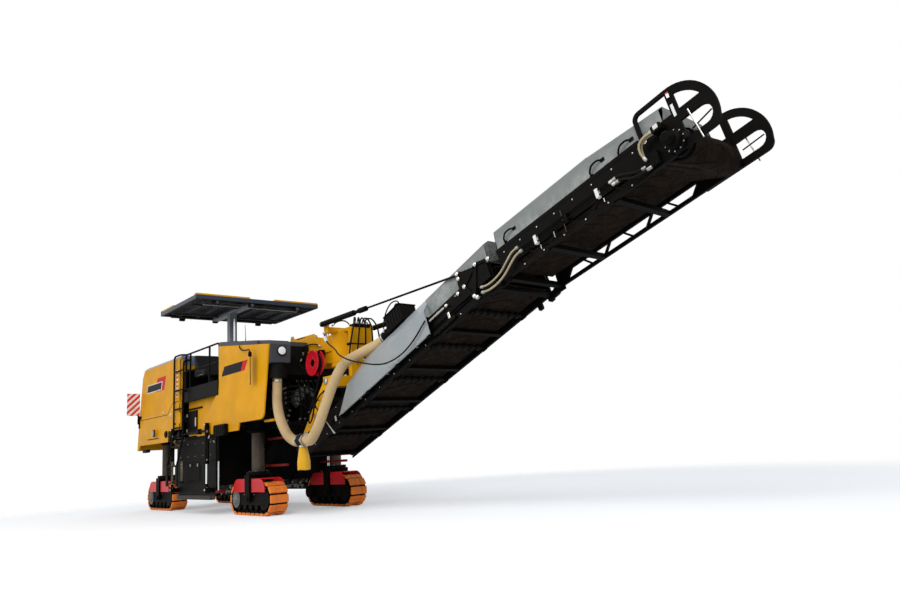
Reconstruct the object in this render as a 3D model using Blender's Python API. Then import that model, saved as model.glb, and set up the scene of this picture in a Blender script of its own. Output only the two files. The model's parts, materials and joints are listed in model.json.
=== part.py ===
"""Cold planer (road milling machine) on four steered tracks.

Machine frame while modelling: +X forwards, +Y to the left, +Z up, zero on the
ground under the front track columns. The whole machine is moved at the end so
that the middle of its bounding box's bottom is at the world's zero.
"""
import math

import bmesh
import bpy
from mathutils import Matrix, Vector

# General clearances
GAP = 0.0003            # between faces that touch
RUN = 0.003             # running clearance of bores and slides
CUT = 0.05              # how far a cut runs past the piece it cuts
LAP = 0.01              # how far joined shapes run into each other
MERGE = 0.00001         # corners this close are one corner

# Overall layout
WHEELBASE = 4.75        # front to rear column, along X
GAUGE = 1.53            # track centre to track centre
HOOD_HALF = 1.24        # half width of the rear body and hood
DECK_Z = 2.45           # top of the platform deck

# Tracks
PAD_COUNT = 22          # shoes in one loop
TRACK_H = 0.56          # pads' outer height
TRACK_LEN = 1.70        # pads' outer length
TRACK_W = 0.32
PAD_T = 0.045           # polyurethane pad's height
LINK_T = 0.048          # chain and shoe plate under it
PAD_SHARE = 0.80        # share of the pitch that a pad covers
TRACK_FRAME_W = 0.30
SPROCKET_CLEAR = 0.010
ROLLER_COUNT = 5
ROLLER_R = 0.065
ROLLER_SIDES = 10
ROLLER_SPAN = 0.96      # first to last bottom roller
FRAME_BEAM_H = 0.20
FRAME_BEAM_L = 1.06
FINAL_DRIVE_R = 0.155
FINAL_DRIVE_OUT = 0.012     # how far the disc stands out of the frame's side
MOTOR_R = 0.110
MOTOR_L = 0.13
YOKE_LEG_W = 0.18
YOKE_LEG_T = 0.04
YOKE_LEG_CLEAR = 0.012  # leg to the loop's side
YOKE_LEG_Z = 0.23       # lower end of the yoke's legs
YOKE_TOP_T = 0.07
YOKE_TOP_Z = 0.70       # top of the yoke
FLANGE_R = 0.20
FLANGE_T = 0.05
COLUMN_R = 0.110
COLUMN_TOP_Z = 1.95
PIVOT_PIN_R = 0.045
PIVOT_PIN_OUT = 0.02
STEER_SIDES = 20

# Red track guards
GUARD_T = 0.010
GUARD_CLEAR = 0.014     # guard's cheek to the pads' ends
GUARD_START = 0.12      # front guard's near edge from the column
GUARD_LEN = 0.53
GUARD_LOW_Z = 0.40      # cheek's lower edge
GUARD_ROUND = 0.20
GUARD_STRIP_W = 0.16
GUARD_STRAP_L = 0.12

# Chassis
BEAM_IN = 0.50          # inner face of the long beams
BEAM_W = 0.16
BEAM_LOW_Z = 1.50
BEAM_H = 0.28
BEAM_REAR_X = -5.15
BEAM_FRONT_X = 0.66
SLEEVE_R = 0.165        # guide tube of a lifting column
SLEEVE_LOW_Z = 1.46
SLEEVE_TOP_Z = 2.06
SLEEVE_ARM_L = 0.26     # bracket from the beam to the guide tube, along X
CROSS_L = 0.34          # cross beams' size along X
REAR_CROSS_X = -4.92
MID_CROSS_X = -3.30
ARCH_LOW_Z = 2.09       # front cross beam, over the loading conveyor
ARCH_H = 0.13
ARCH_L = 0.26

# Drum housing, drum and scraper
DRUM_X = -1.90
DRUM_Z = 0.80
DRUM_HALF = 1.00
DRUM_R = 0.41
TIP_R = 0.51            # cutting circle
TOOL_W = 0.055
TOOL_L = 0.075
TOOL_ROWS = 14          # tools along one side's spiral
TOOL_STARTS = 3         # spirals on each side
TOOL_TURN = 2.4         # turns of a spiral over half the drum, in radians
DRUM_SIDES = 32
SHAFT_R = 0.12
HOUSING_WALL = 0.030
HOUSING_REAR_X = -2.78
HOUSING_FRONT_X = -1.10
HOUSING_LOW_Z = 0.52
THROAT_HALF = 0.41      # opening for the loading conveyor
THROAT_TOP_Z = 1.16
SCRAPER_LOW_Z = 0.34
SCRAPER_TOP_Z = 1.30
SCRAPER_T = 0.04
SCRAPER_FOOT = 0.14

# Side plates, sliding up and down beside the drum
SIDE_GAP = 0.045        # from the drum housing to the plate's inner face
SIDE_T = 0.035
SIDE_REAR_X = -3.02
SIDE_FRONT_X = -0.97
SIDE_LOW_Z = 0.28
SIDE_TOP_Z = 1.42
SIDE_SKID_H = 0.07
SIDE_NOSE = 0.16        # chamfer at the ends of the skid
RAM_BARREL_R = 0.038
RAM_ROD_R = 0.020
RAM_OUT = 0.110         # ram's axis from the side plate's outer face
PANEL_OUT = 0.060       # side panels' face from the side plate's outer face
SIDE_Y = DRUM_HALF + 2 * HOUSING_WALL + SIDE_GAP      # side plate's inner face
PANEL_HALF = SIDE_Y + SIDE_T + PANEL_OUT              # half width of panels and platform
RAM_LOW_Z = 0.46
RAM_RETRACT = 0.13      # free bore above the rod's end
RAM_SPLIT_Z = 0.94
RAM_TOP_Z = 1.60
RAM_LUG = 0.085
RAM_XS = (-2.96, -1.12)
RAM_RAIL_H = 0.07

# Engine, rear body and hood
ENGINE_REAR_X = -4.38
ENGINE_FRONT_X = -3.02
ENGINE_HALF = 0.56
ENGINE_TOP_Z = 2.72
SHEET = 0.030           # doubled sheet metal of body and hood
REAR_X = -5.34          # rearmost at the body's lower edge
REAR_LOW_Z = 1.33
REAR_SILL_Z = 1.44
REAR_FOOT_L = 0.10      # rear edge's flat foot, and the rise ahead of it
SKIRT_FRONT_X = -3.29   # front end of the low skirt
SKIRT_STEP_Z = 1.66     # body's lower edge ahead of it
SPLIT_REAR_X = -5.23
SPLIT_Z = 2.01
SPLIT_STEP_X = -3.32
SPLIT_RISE_X = -3.02
SPLIT_HIGH_Z = 2.23
HOOD_FRONT_X = -2.58
HOOD_SHOULDER_X = -5.03
HOOD_SHOULDER_Z = 2.95
HOOD_ROOF_X = -4.86
HOOD_ROOF_Z = 3.165
HOOD_EDGE = 0.05
HOOD_SIDE_EDGE = 0.06    # long chamfers between the roof and the sides
LAMP_R = 0.075
LAMP_DEPTH = 0.06
REAR_LAMP_X = -4.02
REAR_LAMP_Z = 1.66

# Warning plates that stand out at the rear corners
WARN_X = -5.16
WARN_T = 0.012
WARN_W = 0.27
WARN_H = 0.50
WARN_LOW_Z = 2.12
WARN_POST = 0.028

# Belly, centre body and side panels
BELLY_IN = 0.025        # belly's side from the side plate's inner face
BELLY_REAR_X = -2.55
CENTRE_REAR_X = -0.69
CENTRE_FRONT_X = 0.62
CENTRE_NOSE_X = 1.00
CENTRE_NOSE_LOW_Z = 2.36
CENTRE_LOW_Z = 1.56
PANEL_T = 0.030
PANEL_REAR_TOP_Z = 3.07
PANEL_FRONT_TOP_Z = 2.81
PANEL_FRONT_X = 1.40
PANEL_FOOT_X = 1.20
PANEL_LOW_Z = 1.60
PANEL_TAB_Z = 1.47
PANEL_TAB_REAR_X = -1.76
PANEL_TAB_FRONT_X = 0.16
PANEL_NOTCH_X = -0.80
PANEL_NOTCH_Z = 2.19
PANEL_CORNER = 0.14
PANEL_STEP = 0.10       # rise of the notch ahead of the platform

# Console that covers the centre body
LID_T = 0.07
LID_EDGE = 0.05
NOSE_IN = 0.82          # inner face of the corner lamp boxes
NOSE_BACK_X = 0.98
NOSE_LOW_Z = 2.46
FRONT_LAMP_Z = 2.70
FRONT_LAMP_Y = 0.98
DUCT_R = 0.16           # black flange under the right corner box
DUCT_X = 1.22
DUCT_IN = 0.23          # flange's axis in from the panels' face
DUCT_LOW_Z = 2.26

# Platform and railing
KICK_LOW_Z = 2.28
KICK_T = 0.03
DECK_T = 0.05
RAIL_R = 0.019
RAIL_Z = 3.15
RAIL_IN = 0.04          # railing's axis in from the platform's edge
RAIL_POSTS = (-2.25, -1.24)
RAIL_REAR_X = -2.50
RAIL_FRONT_X = -0.76
RAIL_BEND = 0.10
SEAT_X = -2.05
SEAT_Y = -0.82
SEAT_W = 0.46
SEAT_H = 0.34
SEAT_CUSHION = 0.12
SEAT_BACK_H = 0.34
SEAT_BACK_T = 0.10
SEAT_POST_R = 0.06

# Ladder on the right side
LADDER_XS = (-2.84, -2.30)
LADDER_OUT = 0.075      # ladder's plane from the panels' face
LADDER_R = 0.018
LADDER_TOP_Z = 2.93
LADDER_KNEE_Z = 1.50
LADDER_FOOT_Z = 0.92
LADDER_KICK = 0.10
LADDER_LEAN = 0.085
RUNG_STEPS = 5
FLAP_W = 0.10
FLAP_L = 0.36
FLAP_T = 0.02

# Canopy on its mast
CANOPY_REAR_X = -3.15
CANOPY_FRONT_X = -1.13
CANOPY_Y = -0.19
CANOPY_HALF = 1.275
CANOPY_Z = 4.13         # top
CANOPY_EDGE_H = 0.085
CANOPY_SKIN = 0.03
CANOPY_RIB_H = 0.05
CANOPY_RIB_W = 0.05
CANOPY_RIBS = 6
MAST_X = -2.14
MAST_Y = -0.36
MAST_W = 0.15
MAST_ARM_L = 0.90
MAST_HEAD_H = 0.06
MAST_FOOT = 0.30
MAST_FOOT_T = 0.02

# Loading conveyor from the drum to the front
LOAD_REAR_X = -1.13
LOAD_REAR_Z = 0.58
LOAD_FRONT_X = 1.20
LOAD_FRONT_Z = 1.92
LOAD_HALF = 0.38
LOAD_H = 0.26
LOAD_WALL = 0.025
LOAD_ROLLER_R = 0.09
LOAD_PIN_R = 0.035      # trunnion in the housing's throat
LOAD_STRAP = 0.10       # straps that hang it from the arch
LOAD_STRAP_T = 0.015

# Front tower with the slewing hub
SLEW_X = 1.90
HUB_R = 0.29
HUB_LOW_Z = 2.46
HUB_H = 0.49
HUB_TOP_Z = HUB_LOW_Z + HUB_H
TOWER_HALF = 0.27
PIN_R = 0.07
TOWER_LUG_X = 1.16
TOWER_LUG_H = 0.11
TOWER_LUG_R = 0.05
TOWER_LUG_T = 0.03

# Hose reel on the tower's right side
REEL_X = 1.55
REEL_Z = 2.49
REEL_R = 0.22
REEL_W = 0.13
REEL_CORE_R = 0.12
REEL_DISC_T = 0.012
REEL_ARM_Y = -0.38      # inner disc's face
REEL_PIN_R = 0.03

# Slewing bracket with its hanger arms
TOP_PLATE_T = 0.06
BOTTOM_PLATE_T = 0.07
WEB_X = 0.34            # web's rear face ahead of the slewing axis
WEB_T = 0.10
WEB_HALF = 0.21
RAM_BEAM_X = 1.92       # cross beam that carries the lifting rams
RAM_BEAM_L = 0.14
RAM_BEAM_H = 0.09
HANGER_X = 2.18
HANGER_L = 0.20
HANGER_LOW_Z = 2.02
HANGER_H = 0.17
ARM_IN = 0.535          # hanger arms' inner face
ARM_T = 0.06
ARM_W = 0.15
TAIL_X = 1.45           # lifting axis at the conveyor's tail
TAIL_Z = 1.30
TAIL_PIN_R = 0.04

# Discharge conveyor, lower section
LOWER_PITCH = math.radians(20.7)
UPPER_PITCH = math.radians(15.4)
CHORD_H = -0.275         # lower chord, across from the lifting axis
FRAME_TOP_H = 0.10
FRAME_HALF = 0.50
FRAME_T = 0.035
TAIL_BACK = 0.56        # tail's end behind the lifting axis
FOLD_AT = 5.12           # fold axis along the lower section
LOWER_FRAME_END = 5.04
TAIL_ROUND = 0.22
CROSS_BAR = 0.07
CROSS_BARS = 6
BELT_HALF = 0.40
BELT_T = 0.016
BELT_TOP_H = 0.06       # carrying run
BELT_LOW_H = -0.22      # return run
BELT_CLEAR = 0.020
TAIL_BACK_BAR = -0.30   # first cross bar

# Sheet cover of the lower section
COVER_T = 0.012
COVER_HALF = 0.56
COVER_LIP = 0.03
COVER_LOW_H = -0.175
COVER_WAIST_H = 0.18
COVER_TOP_H = 0.46
COVER_RIDGE_HALF = 0.34
COVER_REAR_AT = 1.11
COVER_REAR_TOP_AT = 1.90
COVER_FRONT_AT = 3.69
SMALL_HALF = 0.46       # narrower cover from there to the fold
SMALL_TOP_H = 0.44
SMALL_RIDGE_HALF = 0.36
SMALL_LOW_H = FRAME_TOP_H + GAP
SMALL_WAIST_H = 0.37
COVER_SEAT = 0.03
COVER_ARMS = 4          # brackets that carry the cover's lips
COVER_ARM = 0.06

# Suction fan on the cover and the clamp for the dust hose
FAN_AT = 2.60
FAN_L = 0.42
FAN_Y = -0.265
FAN_HALF = 0.145
FAN_H = 0.25
FAN_INLET_AT = 2.30
FAN_INLET_R = 0.09
FAN_SIDES = 16

# Discharge conveyor, upper section
UPPER_START = 0.08
HEAD_AT = 2.80           # head drum's axis from the fold
UPPER_FRAME_END = 2.90
HEAD_DRUM_R = 0.165
HEAD_RISE = 0.12        # head drum's axis over the lower chord
SNUB_BACK = 0.45        # where the return run leaves for the head drum
RETURN_H = 0.16         # return run over the lower chord
UPPER_BARS = (0.09, 0.86, 1.88)   # cross bars along the section
UPPER_BAR_H = 0.05
FOLD_LUG_R = 0.05
FOLD_LUG_T = 0.03
FOLD_PIN_R = 0.022
TRUSS_START = 0.30      # open bays over the lower chord
TRUSS_BAY = 0.34
TRUSS_BAYS = 6
TRUSS_STRUT = 0.035
TRUSS_CHORD = 0.045
TRUSS_TOP_H = 0.150
UPPER_RIDGE_HALF = 0.36
UPPER_WAIST_H = 0.67    # sheet cover, over the lower chord
UPPER_TOP_H = 0.74
UPPER_COVER_FALL_AT = 1.70   # from there the cover falls to the head
UPPER_COVER_END = 2.72
UPPER_COVER_FALL = 0.09

# Head guards: one plate a side, with a loop handle behind its post
GUARD_HALF = 0.52       # their outer face
GUARD_AT = 2.87          # centre of the round rim
GUARD_H = 0.235
GUARD_R = 0.46
GUARD_RIM = 0.09
GUARD_CORNER = 0.10     # lower front corner
GUARD_POST_AT = 2.855    # post between the handle and the upper window
GUARD_SPOKE_LOW = 0.285
GUARD_SPOKE_TOP = 0.41
GUARD_SILL = 0.085
GUARD_SLOT_AT = 2.925    # rear end of the lower window
GUARD_SLOT_L = 0.33
HANDLE_AT = 2.43         # handle's rear edge
HANDLE_T = 0.045
HANDLE_CORNER = 0.09

# Plate that holds the tie rod's eye
EYE_PLATE_AT = 4.42
EYE_PLATE_LOW_H = -0.12
EYE_PLATE_Y = 0.5190
EYE_PLATE_T = 0.020
EYE_PLATE_ROUND = 0.035

# Lifting rams with their tie rods
LIFT_STAND = 0.14       # rams' pins over the hub
LIFT_BASE_Z = HUB_TOP_Z + LIFT_STAND
LIFT_Y = 0.50
LIFT_BARREL_R = 0.045
LIFT_BARREL_L = 1.02
LIFT_ROD_R = 0.028
LIFT_ROD_IN = 0.80      # how much of the rod is inside the barrel
LIFT_RETRACT = 0.16     # free bore behind it
LIFT_EYE_AT = 4.50       # tie rod's eye on the lower section
LIFT_EYE_H = 0.265
LIFT_TIE_R = 0.016
LIFT_EYE_R = 0.040
LIFT_SHOWS = 0.15       # how much of the rod shows before its fork
LIFT_FORK_L = 0.20
LIFT_FORK_R = 0.042
LIFT_EAR_T = 0.02
LIFT_PIN_R = 0.018

# Dust hose: two legs that hang and meet in a coupling
HOSE_R = 0.080
COUPLING_R = 0.098
COUPLING_X = 2.02
COUPLING_Y = -0.93
COUPLING_Z = 1.20
COUPLING_L = 0.22
SOCK_R = 0.055
SOCK_H = 0.30
HOSE_STEP = 0.16


# Small geometry helpers
def clear_scene():
    for obj in list(bpy.data.objects):
        bpy.data.objects.remove(obj, do_unlink=True)


def finish(name, rgb, roughness, metallic=0.0):
    mat = bpy.data.materials.new(name)
    mat.use_nodes = True
    shader = mat.node_tree.nodes["Principled BSDF"]
    shader.inputs["Base Color"].default_value = (*rgb, 1.0)
    shader.inputs["Roughness"].default_value = roughness
    shader.inputs["Metallic"].default_value = metallic
    mat.diffuse_color = (*rgb, 1.0)
    return mat


def solid_from(bm, name="shape"):
    """Turn a bmesh into an object in the scene, faces outwards."""
    bmesh.ops.remove_doubles(bm, verts=bm.verts, dist=MERGE)
    bmesh.ops.recalc_face_normals(bm, faces=bm.faces)
    mesh = bpy.data.meshes.new(name)
    bm.to_mesh(mesh)
    bm.free()
    obj = bpy.data.objects.new(name, mesh)
    bpy.context.scene.collection.objects.link(obj)
    return obj


AXIS_PLACES = {
    "X": lambda u, v, w: (w, u, v),     # outline in Y, Z
    "Y": lambda u, v, w: (u, w, v),     # outline in X, Z
    "Z": lambda u, v, w: (u, v, w),     # outline in X, Y
}


def prism(outline, axis, start, end):
    """Extrude a closed outline along an axis from start to end."""
    place = AXIS_PLACES[axis]
    bm = bmesh.new()
    low = [bm.verts.new(place(u, v, start)) for u, v in outline]
    high = [bm.verts.new(place(u, v, end)) for u, v in outline]
    count = len(outline)
    bm.faces.new(low)
    bm.faces.new(high)
    for i in range(count):
        j = (i + 1) % count
        bm.faces.new((low[i], low[j], high[j], high[i]))
    return solid_from(bm)


def loft(rings):
    """Skin a row of closed rings with as many points each, and close its ends."""
    bm = bmesh.new()
    rows = [[bm.verts.new(place) for place in ring] for ring in rings]
    bm.faces.new(rows[0])
    bm.faces.new(rows[-1])
    count = len(rows[0])
    for a, b in zip(rows, rows[1:]):
        for i in range(count):
            j = (i + 1) % count
            bm.faces.new((a[i], a[j], b[j], b[i]))
    return solid_from(bm)


def hoop(outer, inner, axis, start, end):
    """Extrude the band between two outlines with as many points each."""
    place = AXIS_PLACES[axis]
    bm = bmesh.new()
    rings = [[bm.verts.new(place(u, v, w)) for u, v in line]
             for line, w in ((outer, start), (outer, end), (inner, end), (inner, start))]
    count = len(outer)
    for k in range(4):
        a, b = rings[k], rings[(k + 1) % 4]
        for i in range(count):
            j = (i + 1) % count
            bm.faces.new((a[i], a[j], b[j], b[i]))
    return solid_from(bm)


def block(xs, ys, zs):
    outline = [(xs[0], ys[0]), (xs[1], ys[0]), (xs[1], ys[1]), (xs[0], ys[1])]
    return prism(outline, "Z", zs[0], zs[1])


def arc(centre, radius, start, end, steps):
    """Points of an arc from start to end, in radians."""
    cu, cv = centre
    return [(cu + radius * math.cos(start + (end - start) * i / steps),
             cv + radius * math.sin(start + (end - start) * i / steps))
            for i in range(steps + 1)]


def disc(centre, radius, axis, start, end, sides=24):
    """A round bar whose axis is parallel to X, Y or Z."""
    outline = arc(centre, radius, 0.0, math.tau, sides)[:-1]
    return prism(outline, axis, start, end)


def bore(centre, radius, axis, start, end, sides=24):
    """A cut whose flats lie a gap outside a round bar of that radius, however it turns."""
    step = math.pi / sides
    outline = arc(centre, (radius + GAP) / math.cos(step), step, math.tau + step, sides)[:-1]
    return prism(outline, axis, start, end)


def bar(p, q, radius, sides=12):
    """A round bar between two points."""
    p, q = Vector(p), Vector(q)
    length = (q - p).length
    obj = disc((0.0, 0.0), radius, "Z", 0.0, length, sides)
    turn = (q - p).to_track_quat("Z", "Y").to_matrix().to_4x4()
    obj.data.transform(Matrix.Translation(p) @ turn)
    return obj


def beam(p, q, width, depth, up=(0.0, 0.0, 1.0)):
    """A flat bar between two points: width across, depth along up."""
    p, q, up = Vector(p), Vector(q), Vector(up)
    along = (q - p).normalized()
    across = up.cross(along).normalized()
    upright = along.cross(across)
    hw, hd = width / 2, depth / 2
    outline = [(-hw, -hd), (hw, -hd), (hw, hd), (-hw, hd)]
    obj = prism(outline, "Z", 0.0, (q - p).length)
    turn = Matrix((across, upright, along)).transposed().to_4x4()
    obj.data.transform(Matrix.Translation(p) @ turn)
    return obj


def smooth_route(points, step):
    """Points a step apart on a smooth curve through the given points."""
    pts = [Vector(p) for p in points]
    pts = [2 * pts[0] - pts[1]] + pts + [2 * pts[-1] - pts[-2]]
    out = []
    for a, b, c, d in zip(pts, pts[1:], pts[2:], pts[3:]):
        parts = max(2, round((c - b).length / step))
        for i in range(parts):
            t = i / parts
            out.append(0.5 * (2 * b + (c - a) * t + (2 * a - 5 * b + 4 * c - d) * t ** 2
                              + (3 * b - a - 3 * c + d) * t ** 3))
    out.append(pts[-2])
    out[1] = out[0] + (pts[2] - pts[1]).normalized() * (out[1] - out[0]).length
    out[-2] = out[-1] + (pts[-3] - pts[-2]).normalized() * (out[-2] - out[-1]).length
    return out


def tube(points, radius, resolution=2):
    """A round tube along points, with filled ends."""
    curve = bpy.data.curves.new("tube", "CURVE")
    curve.dimensions = "3D"
    curve.bevel_depth = radius
    curve.bevel_resolution = resolution
    curve.use_fill_caps = True
    line = curve.splines.new("POLY")
    line.points.add(len(points) - 1)
    for spot, place in zip(line.points, points):
        spot.co = (*place, 1.0)
    holder = bpy.data.objects.new("tube", curve)
    bpy.context.scene.collection.objects.link(holder)
    graph = bpy.context.evaluated_depsgraph_get()
    mesh = bpy.data.meshes.new_from_object(holder.evaluated_get(graph))
    bpy.data.objects.remove(holder, do_unlink=True)
    bm = bmesh.new()
    bm.from_mesh(mesh)
    return solid_from(bm)


def rounded(points, radius, steps=4):
    """A path with its inner corners rounded, for bent tubes."""
    pts = [Vector(p) for p in points]
    out = [pts[0]]
    for a, b, c in zip(pts, pts[1:], pts[2:]):
        into, away = (a - b).normalized(), (c - b).normalized()
        for i in range(steps + 1):
            t = i / steps
            out.append((1 - t) ** 2 * (b + into * radius) + 2 * t * (1 - t) * b
                       + t ** 2 * (b + away * radius))
    return out + [pts[-1]]


def placed(obj, matrix):
    obj.data.transform(matrix)
    return obj


def span(side, near, far):
    """A range of Y on one side, near and far being distances from the middle."""
    return sorted((side * near, side * far))


# Bodies: an empty on each joint's axis carries the pieces that move with it
BODIES = {}


def add_body(name, at, parent=None):
    empty = bpy.data.objects.new("body_" + name, None)
    bpy.context.scene.collection.objects.link(empty)
    offset = Vector(at)
    if parent:
        empty.parent = BODIES[parent][0]
        offset = offset - BODIES[parent][1]
    empty.location = offset
    BODIES[name] = (empty, Vector(at))


def boolean(obj, others, operation):
    if not others:
        return
    group = bpy.data.collections.new("operands")
    bpy.context.scene.collection.children.link(group)
    for other in others:
        bpy.context.scene.collection.objects.unlink(other)
        group.objects.link(other)
    mod = obj.modifiers.new(operation.lower(), "BOOLEAN")
    mod.operation = operation
    mod.operand_type = "COLLECTION"
    mod.collection = group
    mod.solver = "EXACT"
    graph = bpy.context.evaluated_depsgraph_get()
    mesh = bpy.data.meshes.new_from_object(obj.evaluated_get(graph))
    obj.modifiers.clear()
    obj.data = mesh
    for other in others:
        bpy.data.objects.remove(other, do_unlink=True)
    bpy.data.collections.remove(group)


def piece(name, body, mat, shapes, cuts=()):
    """Join the shapes, take the cuts away and hang the piece on its body."""
    obj = shapes[0]
    boolean(obj, list(shapes[1:]), "UNION")
    boolean(obj, list(cuts), "DIFFERENCE")
    empty, at = BODIES[body]
    bm = bmesh.new()
    bm.from_mesh(obj.data)
    bmesh.ops.dissolve_degenerate(bm, edges=bm.edges, dist=MERGE)
    mesh = bpy.data.meshes.new(name)
    bm.to_mesh(mesh)
    bm.free()
    mesh.transform(Matrix.Translation(-at))
    mesh.materials.clear()
    mesh.materials.append(mat)
    mesh.shade_smooth()
    mesh.set_sharp_from_angle(angle=math.radians(30.0))
    obj.data = mesh
    obj.name = name
    obj.parent = empty
    return obj


# Tracks
def loop_point(share, inset):
    """A point of the loop at a share of its length, set in from the pads' faces."""
    radius, straight = TRACK_H / 2, TRACK_LEN - TRACK_H
    half = straight / 2
    turn = math.pi * radius
    way = (share % 1.0) * (2 * straight + 2 * turn)
    depth = radius - inset
    if way < straight:
        return (-half + way, TRACK_H / 2 - depth)
    way -= straight
    if way < turn:
        angle = -math.pi / 2 + way / radius
        return (half + depth * math.cos(angle), TRACK_H / 2 + depth * math.sin(angle))
    way -= turn
    if way < straight:
        return (half - way, TRACK_H / 2 + depth)
    angle = math.pi / 2 + (way - straight) / radius
    return (-half + depth * math.cos(angle), TRACK_H / 2 + depth * math.sin(angle))


def track_loop(name, body, mat, x, y):
    outer, inner = [], []
    pad_end = PAD_SHARE / PAD_COUNT
    for k in range(PAD_COUNT):
        first = (k - PAD_SHARE / 2) / PAD_COUNT
        steps = ((first, PAD_T), (first, 0.0), (first + pad_end / 2, 0.0),
                 (first + pad_end, 0.0), (first + pad_end, PAD_T))
        for share, inset in steps:
            outer.append(loop_point(share, inset))
            inner.append(loop_point(share, PAD_T + LINK_T))
    shape = hoop(outer, inner, "Y", y - TRACK_W / 2, y + TRACK_W / 2)
    bm = bmesh.new()
    bm.from_mesh(shape.data)
    bmesh.ops.remove_doubles(bm, verts=bm.verts, dist=MERGE)
    bm.to_mesh(shape.data)
    bm.free()
    placed(shape, Matrix.Translation((x, 0.0, 0.0)))
    return piece(name, body, mat, [shape])


def track_frame(name, body, mat, x, y, inward):
    """Side frame, wheels, yoke and column. inward is the sign towards the middle."""
    inner_r = TRACK_H / 2 - PAD_T - LINK_T
    wheel_x = (TRACK_LEN - TRACK_H) / 2
    mid_z = TRACK_H / 2
    half = TRACK_FRAME_W / 2
    floor_z = PAD_T + LINK_T
    shapes = [block((x - FRAME_BEAM_L / 2, x + FRAME_BEAM_L / 2), (y - half, y + half),
                    (mid_z - FRAME_BEAM_H / 2, mid_z + FRAME_BEAM_H / 2))]
    for sign in (-1, 1):
        shapes.append(disc((x + sign * wheel_x, mid_z), inner_r - SPROCKET_CLEAR, "Y",
                           y - half, y + half, STEER_SIDES))
    for k in range(ROLLER_COUNT):
        roller_x = x - ROLLER_SPAN / 2 + ROLLER_SPAN * k / (ROLLER_COUNT - 1)
        outline = arc((roller_x, floor_z + GAP + ROLLER_R), ROLLER_R, -math.pi / 2,
                      math.pi * 3 / 2, ROLLER_SIDES)[:-1]
        shapes.append(prism(outline, "Y", y - half, y + half))
    drive = (x - wheel_x, mid_z)
    outward = -inward
    shapes.append(disc(drive, FINAL_DRIVE_R, "Y", y, y + outward * (half + FINAL_DRIVE_OUT),
                       STEER_SIDES))
    shapes.append(disc(drive, MOTOR_R, "Y", y, y + inward * (half + MOTOR_L), 16))
    leg_in = TRACK_W / 2 + YOKE_LEG_CLEAR
    for sign in (-1, 1):
        ys = (y + sign * leg_in, y + sign * (leg_in + YOKE_LEG_T))
        shapes.append(block((x - YOKE_LEG_W / 2, x + YOKE_LEG_W / 2), ys,
                            (YOKE_LEG_Z, YOKE_TOP_Z - LAP)))
    reach = leg_in + YOKE_LEG_T + PIVOT_PIN_OUT
    shapes.append(disc((x, mid_z), PIVOT_PIN_R, "Y", y - reach, y + reach, ROLLER_SIDES))
    plate = leg_in + YOKE_LEG_T
    shapes.append(block((x - YOKE_LEG_W / 2 - LAP, x + YOKE_LEG_W / 2 + LAP),
                        (y - plate, y + plate), (YOKE_TOP_Z - YOKE_TOP_T, YOKE_TOP_Z)))
    shapes.append(disc((x, y), FLANGE_R, "Z", YOKE_TOP_Z - LAP, YOKE_TOP_Z + FLANGE_T,
                       STEER_SIDES))
    shapes.append(disc((x, y), COLUMN_R, "Z", YOKE_TOP_Z, COLUMN_TOP_Z, STEER_SIDES))
    return piece(name, body, mat, shapes)


def track_guard(name, body, mat, x, y):
    """Red cheeks over both ends, joined by a strip under the yoke."""
    strip_top = YOKE_TOP_Z - YOKE_TOP_T - GAP
    strip_low = strip_top - 2 * GUARD_T
    cheek_in = TRACK_W / 2 + GUARD_CLEAR
    end = GUARD_START + GUARD_LEN
    shapes = [block((x - end + GUARD_ROUND, x + end - GUARD_ROUND),
                    (y - GUARD_STRIP_W / 2, y + GUARD_STRIP_W / 2), (strip_low, strip_top))]
    for lead in (-1, 1):
        top = (end - GUARD_ROUND, strip_top - GUARD_ROUND)
        line = [(GUARD_START, GUARD_LOW_Z), (end, GUARD_LOW_Z)]
        line += arc(top, GUARD_ROUND, 0.0, math.pi / 2, 8) + [(GUARD_START, strip_top)]
        outline = [(x + lead * u, v) for u, v in line]
        for side in (-1, 1):
            ys = sorted((y + side * cheek_in, y + side * (cheek_in + GUARD_T)))
            shapes.append(prism(outline, "Y", *ys))
        strap = [x + lead * GUARD_START, x + lead * (GUARD_START + GUARD_STRAP_L)]
        shapes.append(block(sorted(strap), (y - cheek_in - LAP / 2, y + cheek_in + LAP / 2),
                            (strip_low, strip_top)))
    return piece(name, body, mat, shapes)


def build_tracks(mats):
    # name, share of the wheelbase behind the front axle, side
    table = (("fr", 0.0, -1), ("fl", 0.0, 1), ("rr", 1.0, -1), ("rl", 1.0, 1))
    for corner, back_share, side in table:
        x, y = -WHEELBASE * back_share, side * GAUGE / 2
        body = "track_" + corner
        add_body(body, (x, y, YOKE_TOP_Z), "root")
        track_loop(body + "_pads", body, mats["pads"], x, y)
        track_frame(body + "_frame", body, mats["track_black"], x, y, -side)
        track_guard(body + "_guard", body, mats["guard_red"], x, y)


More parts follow.
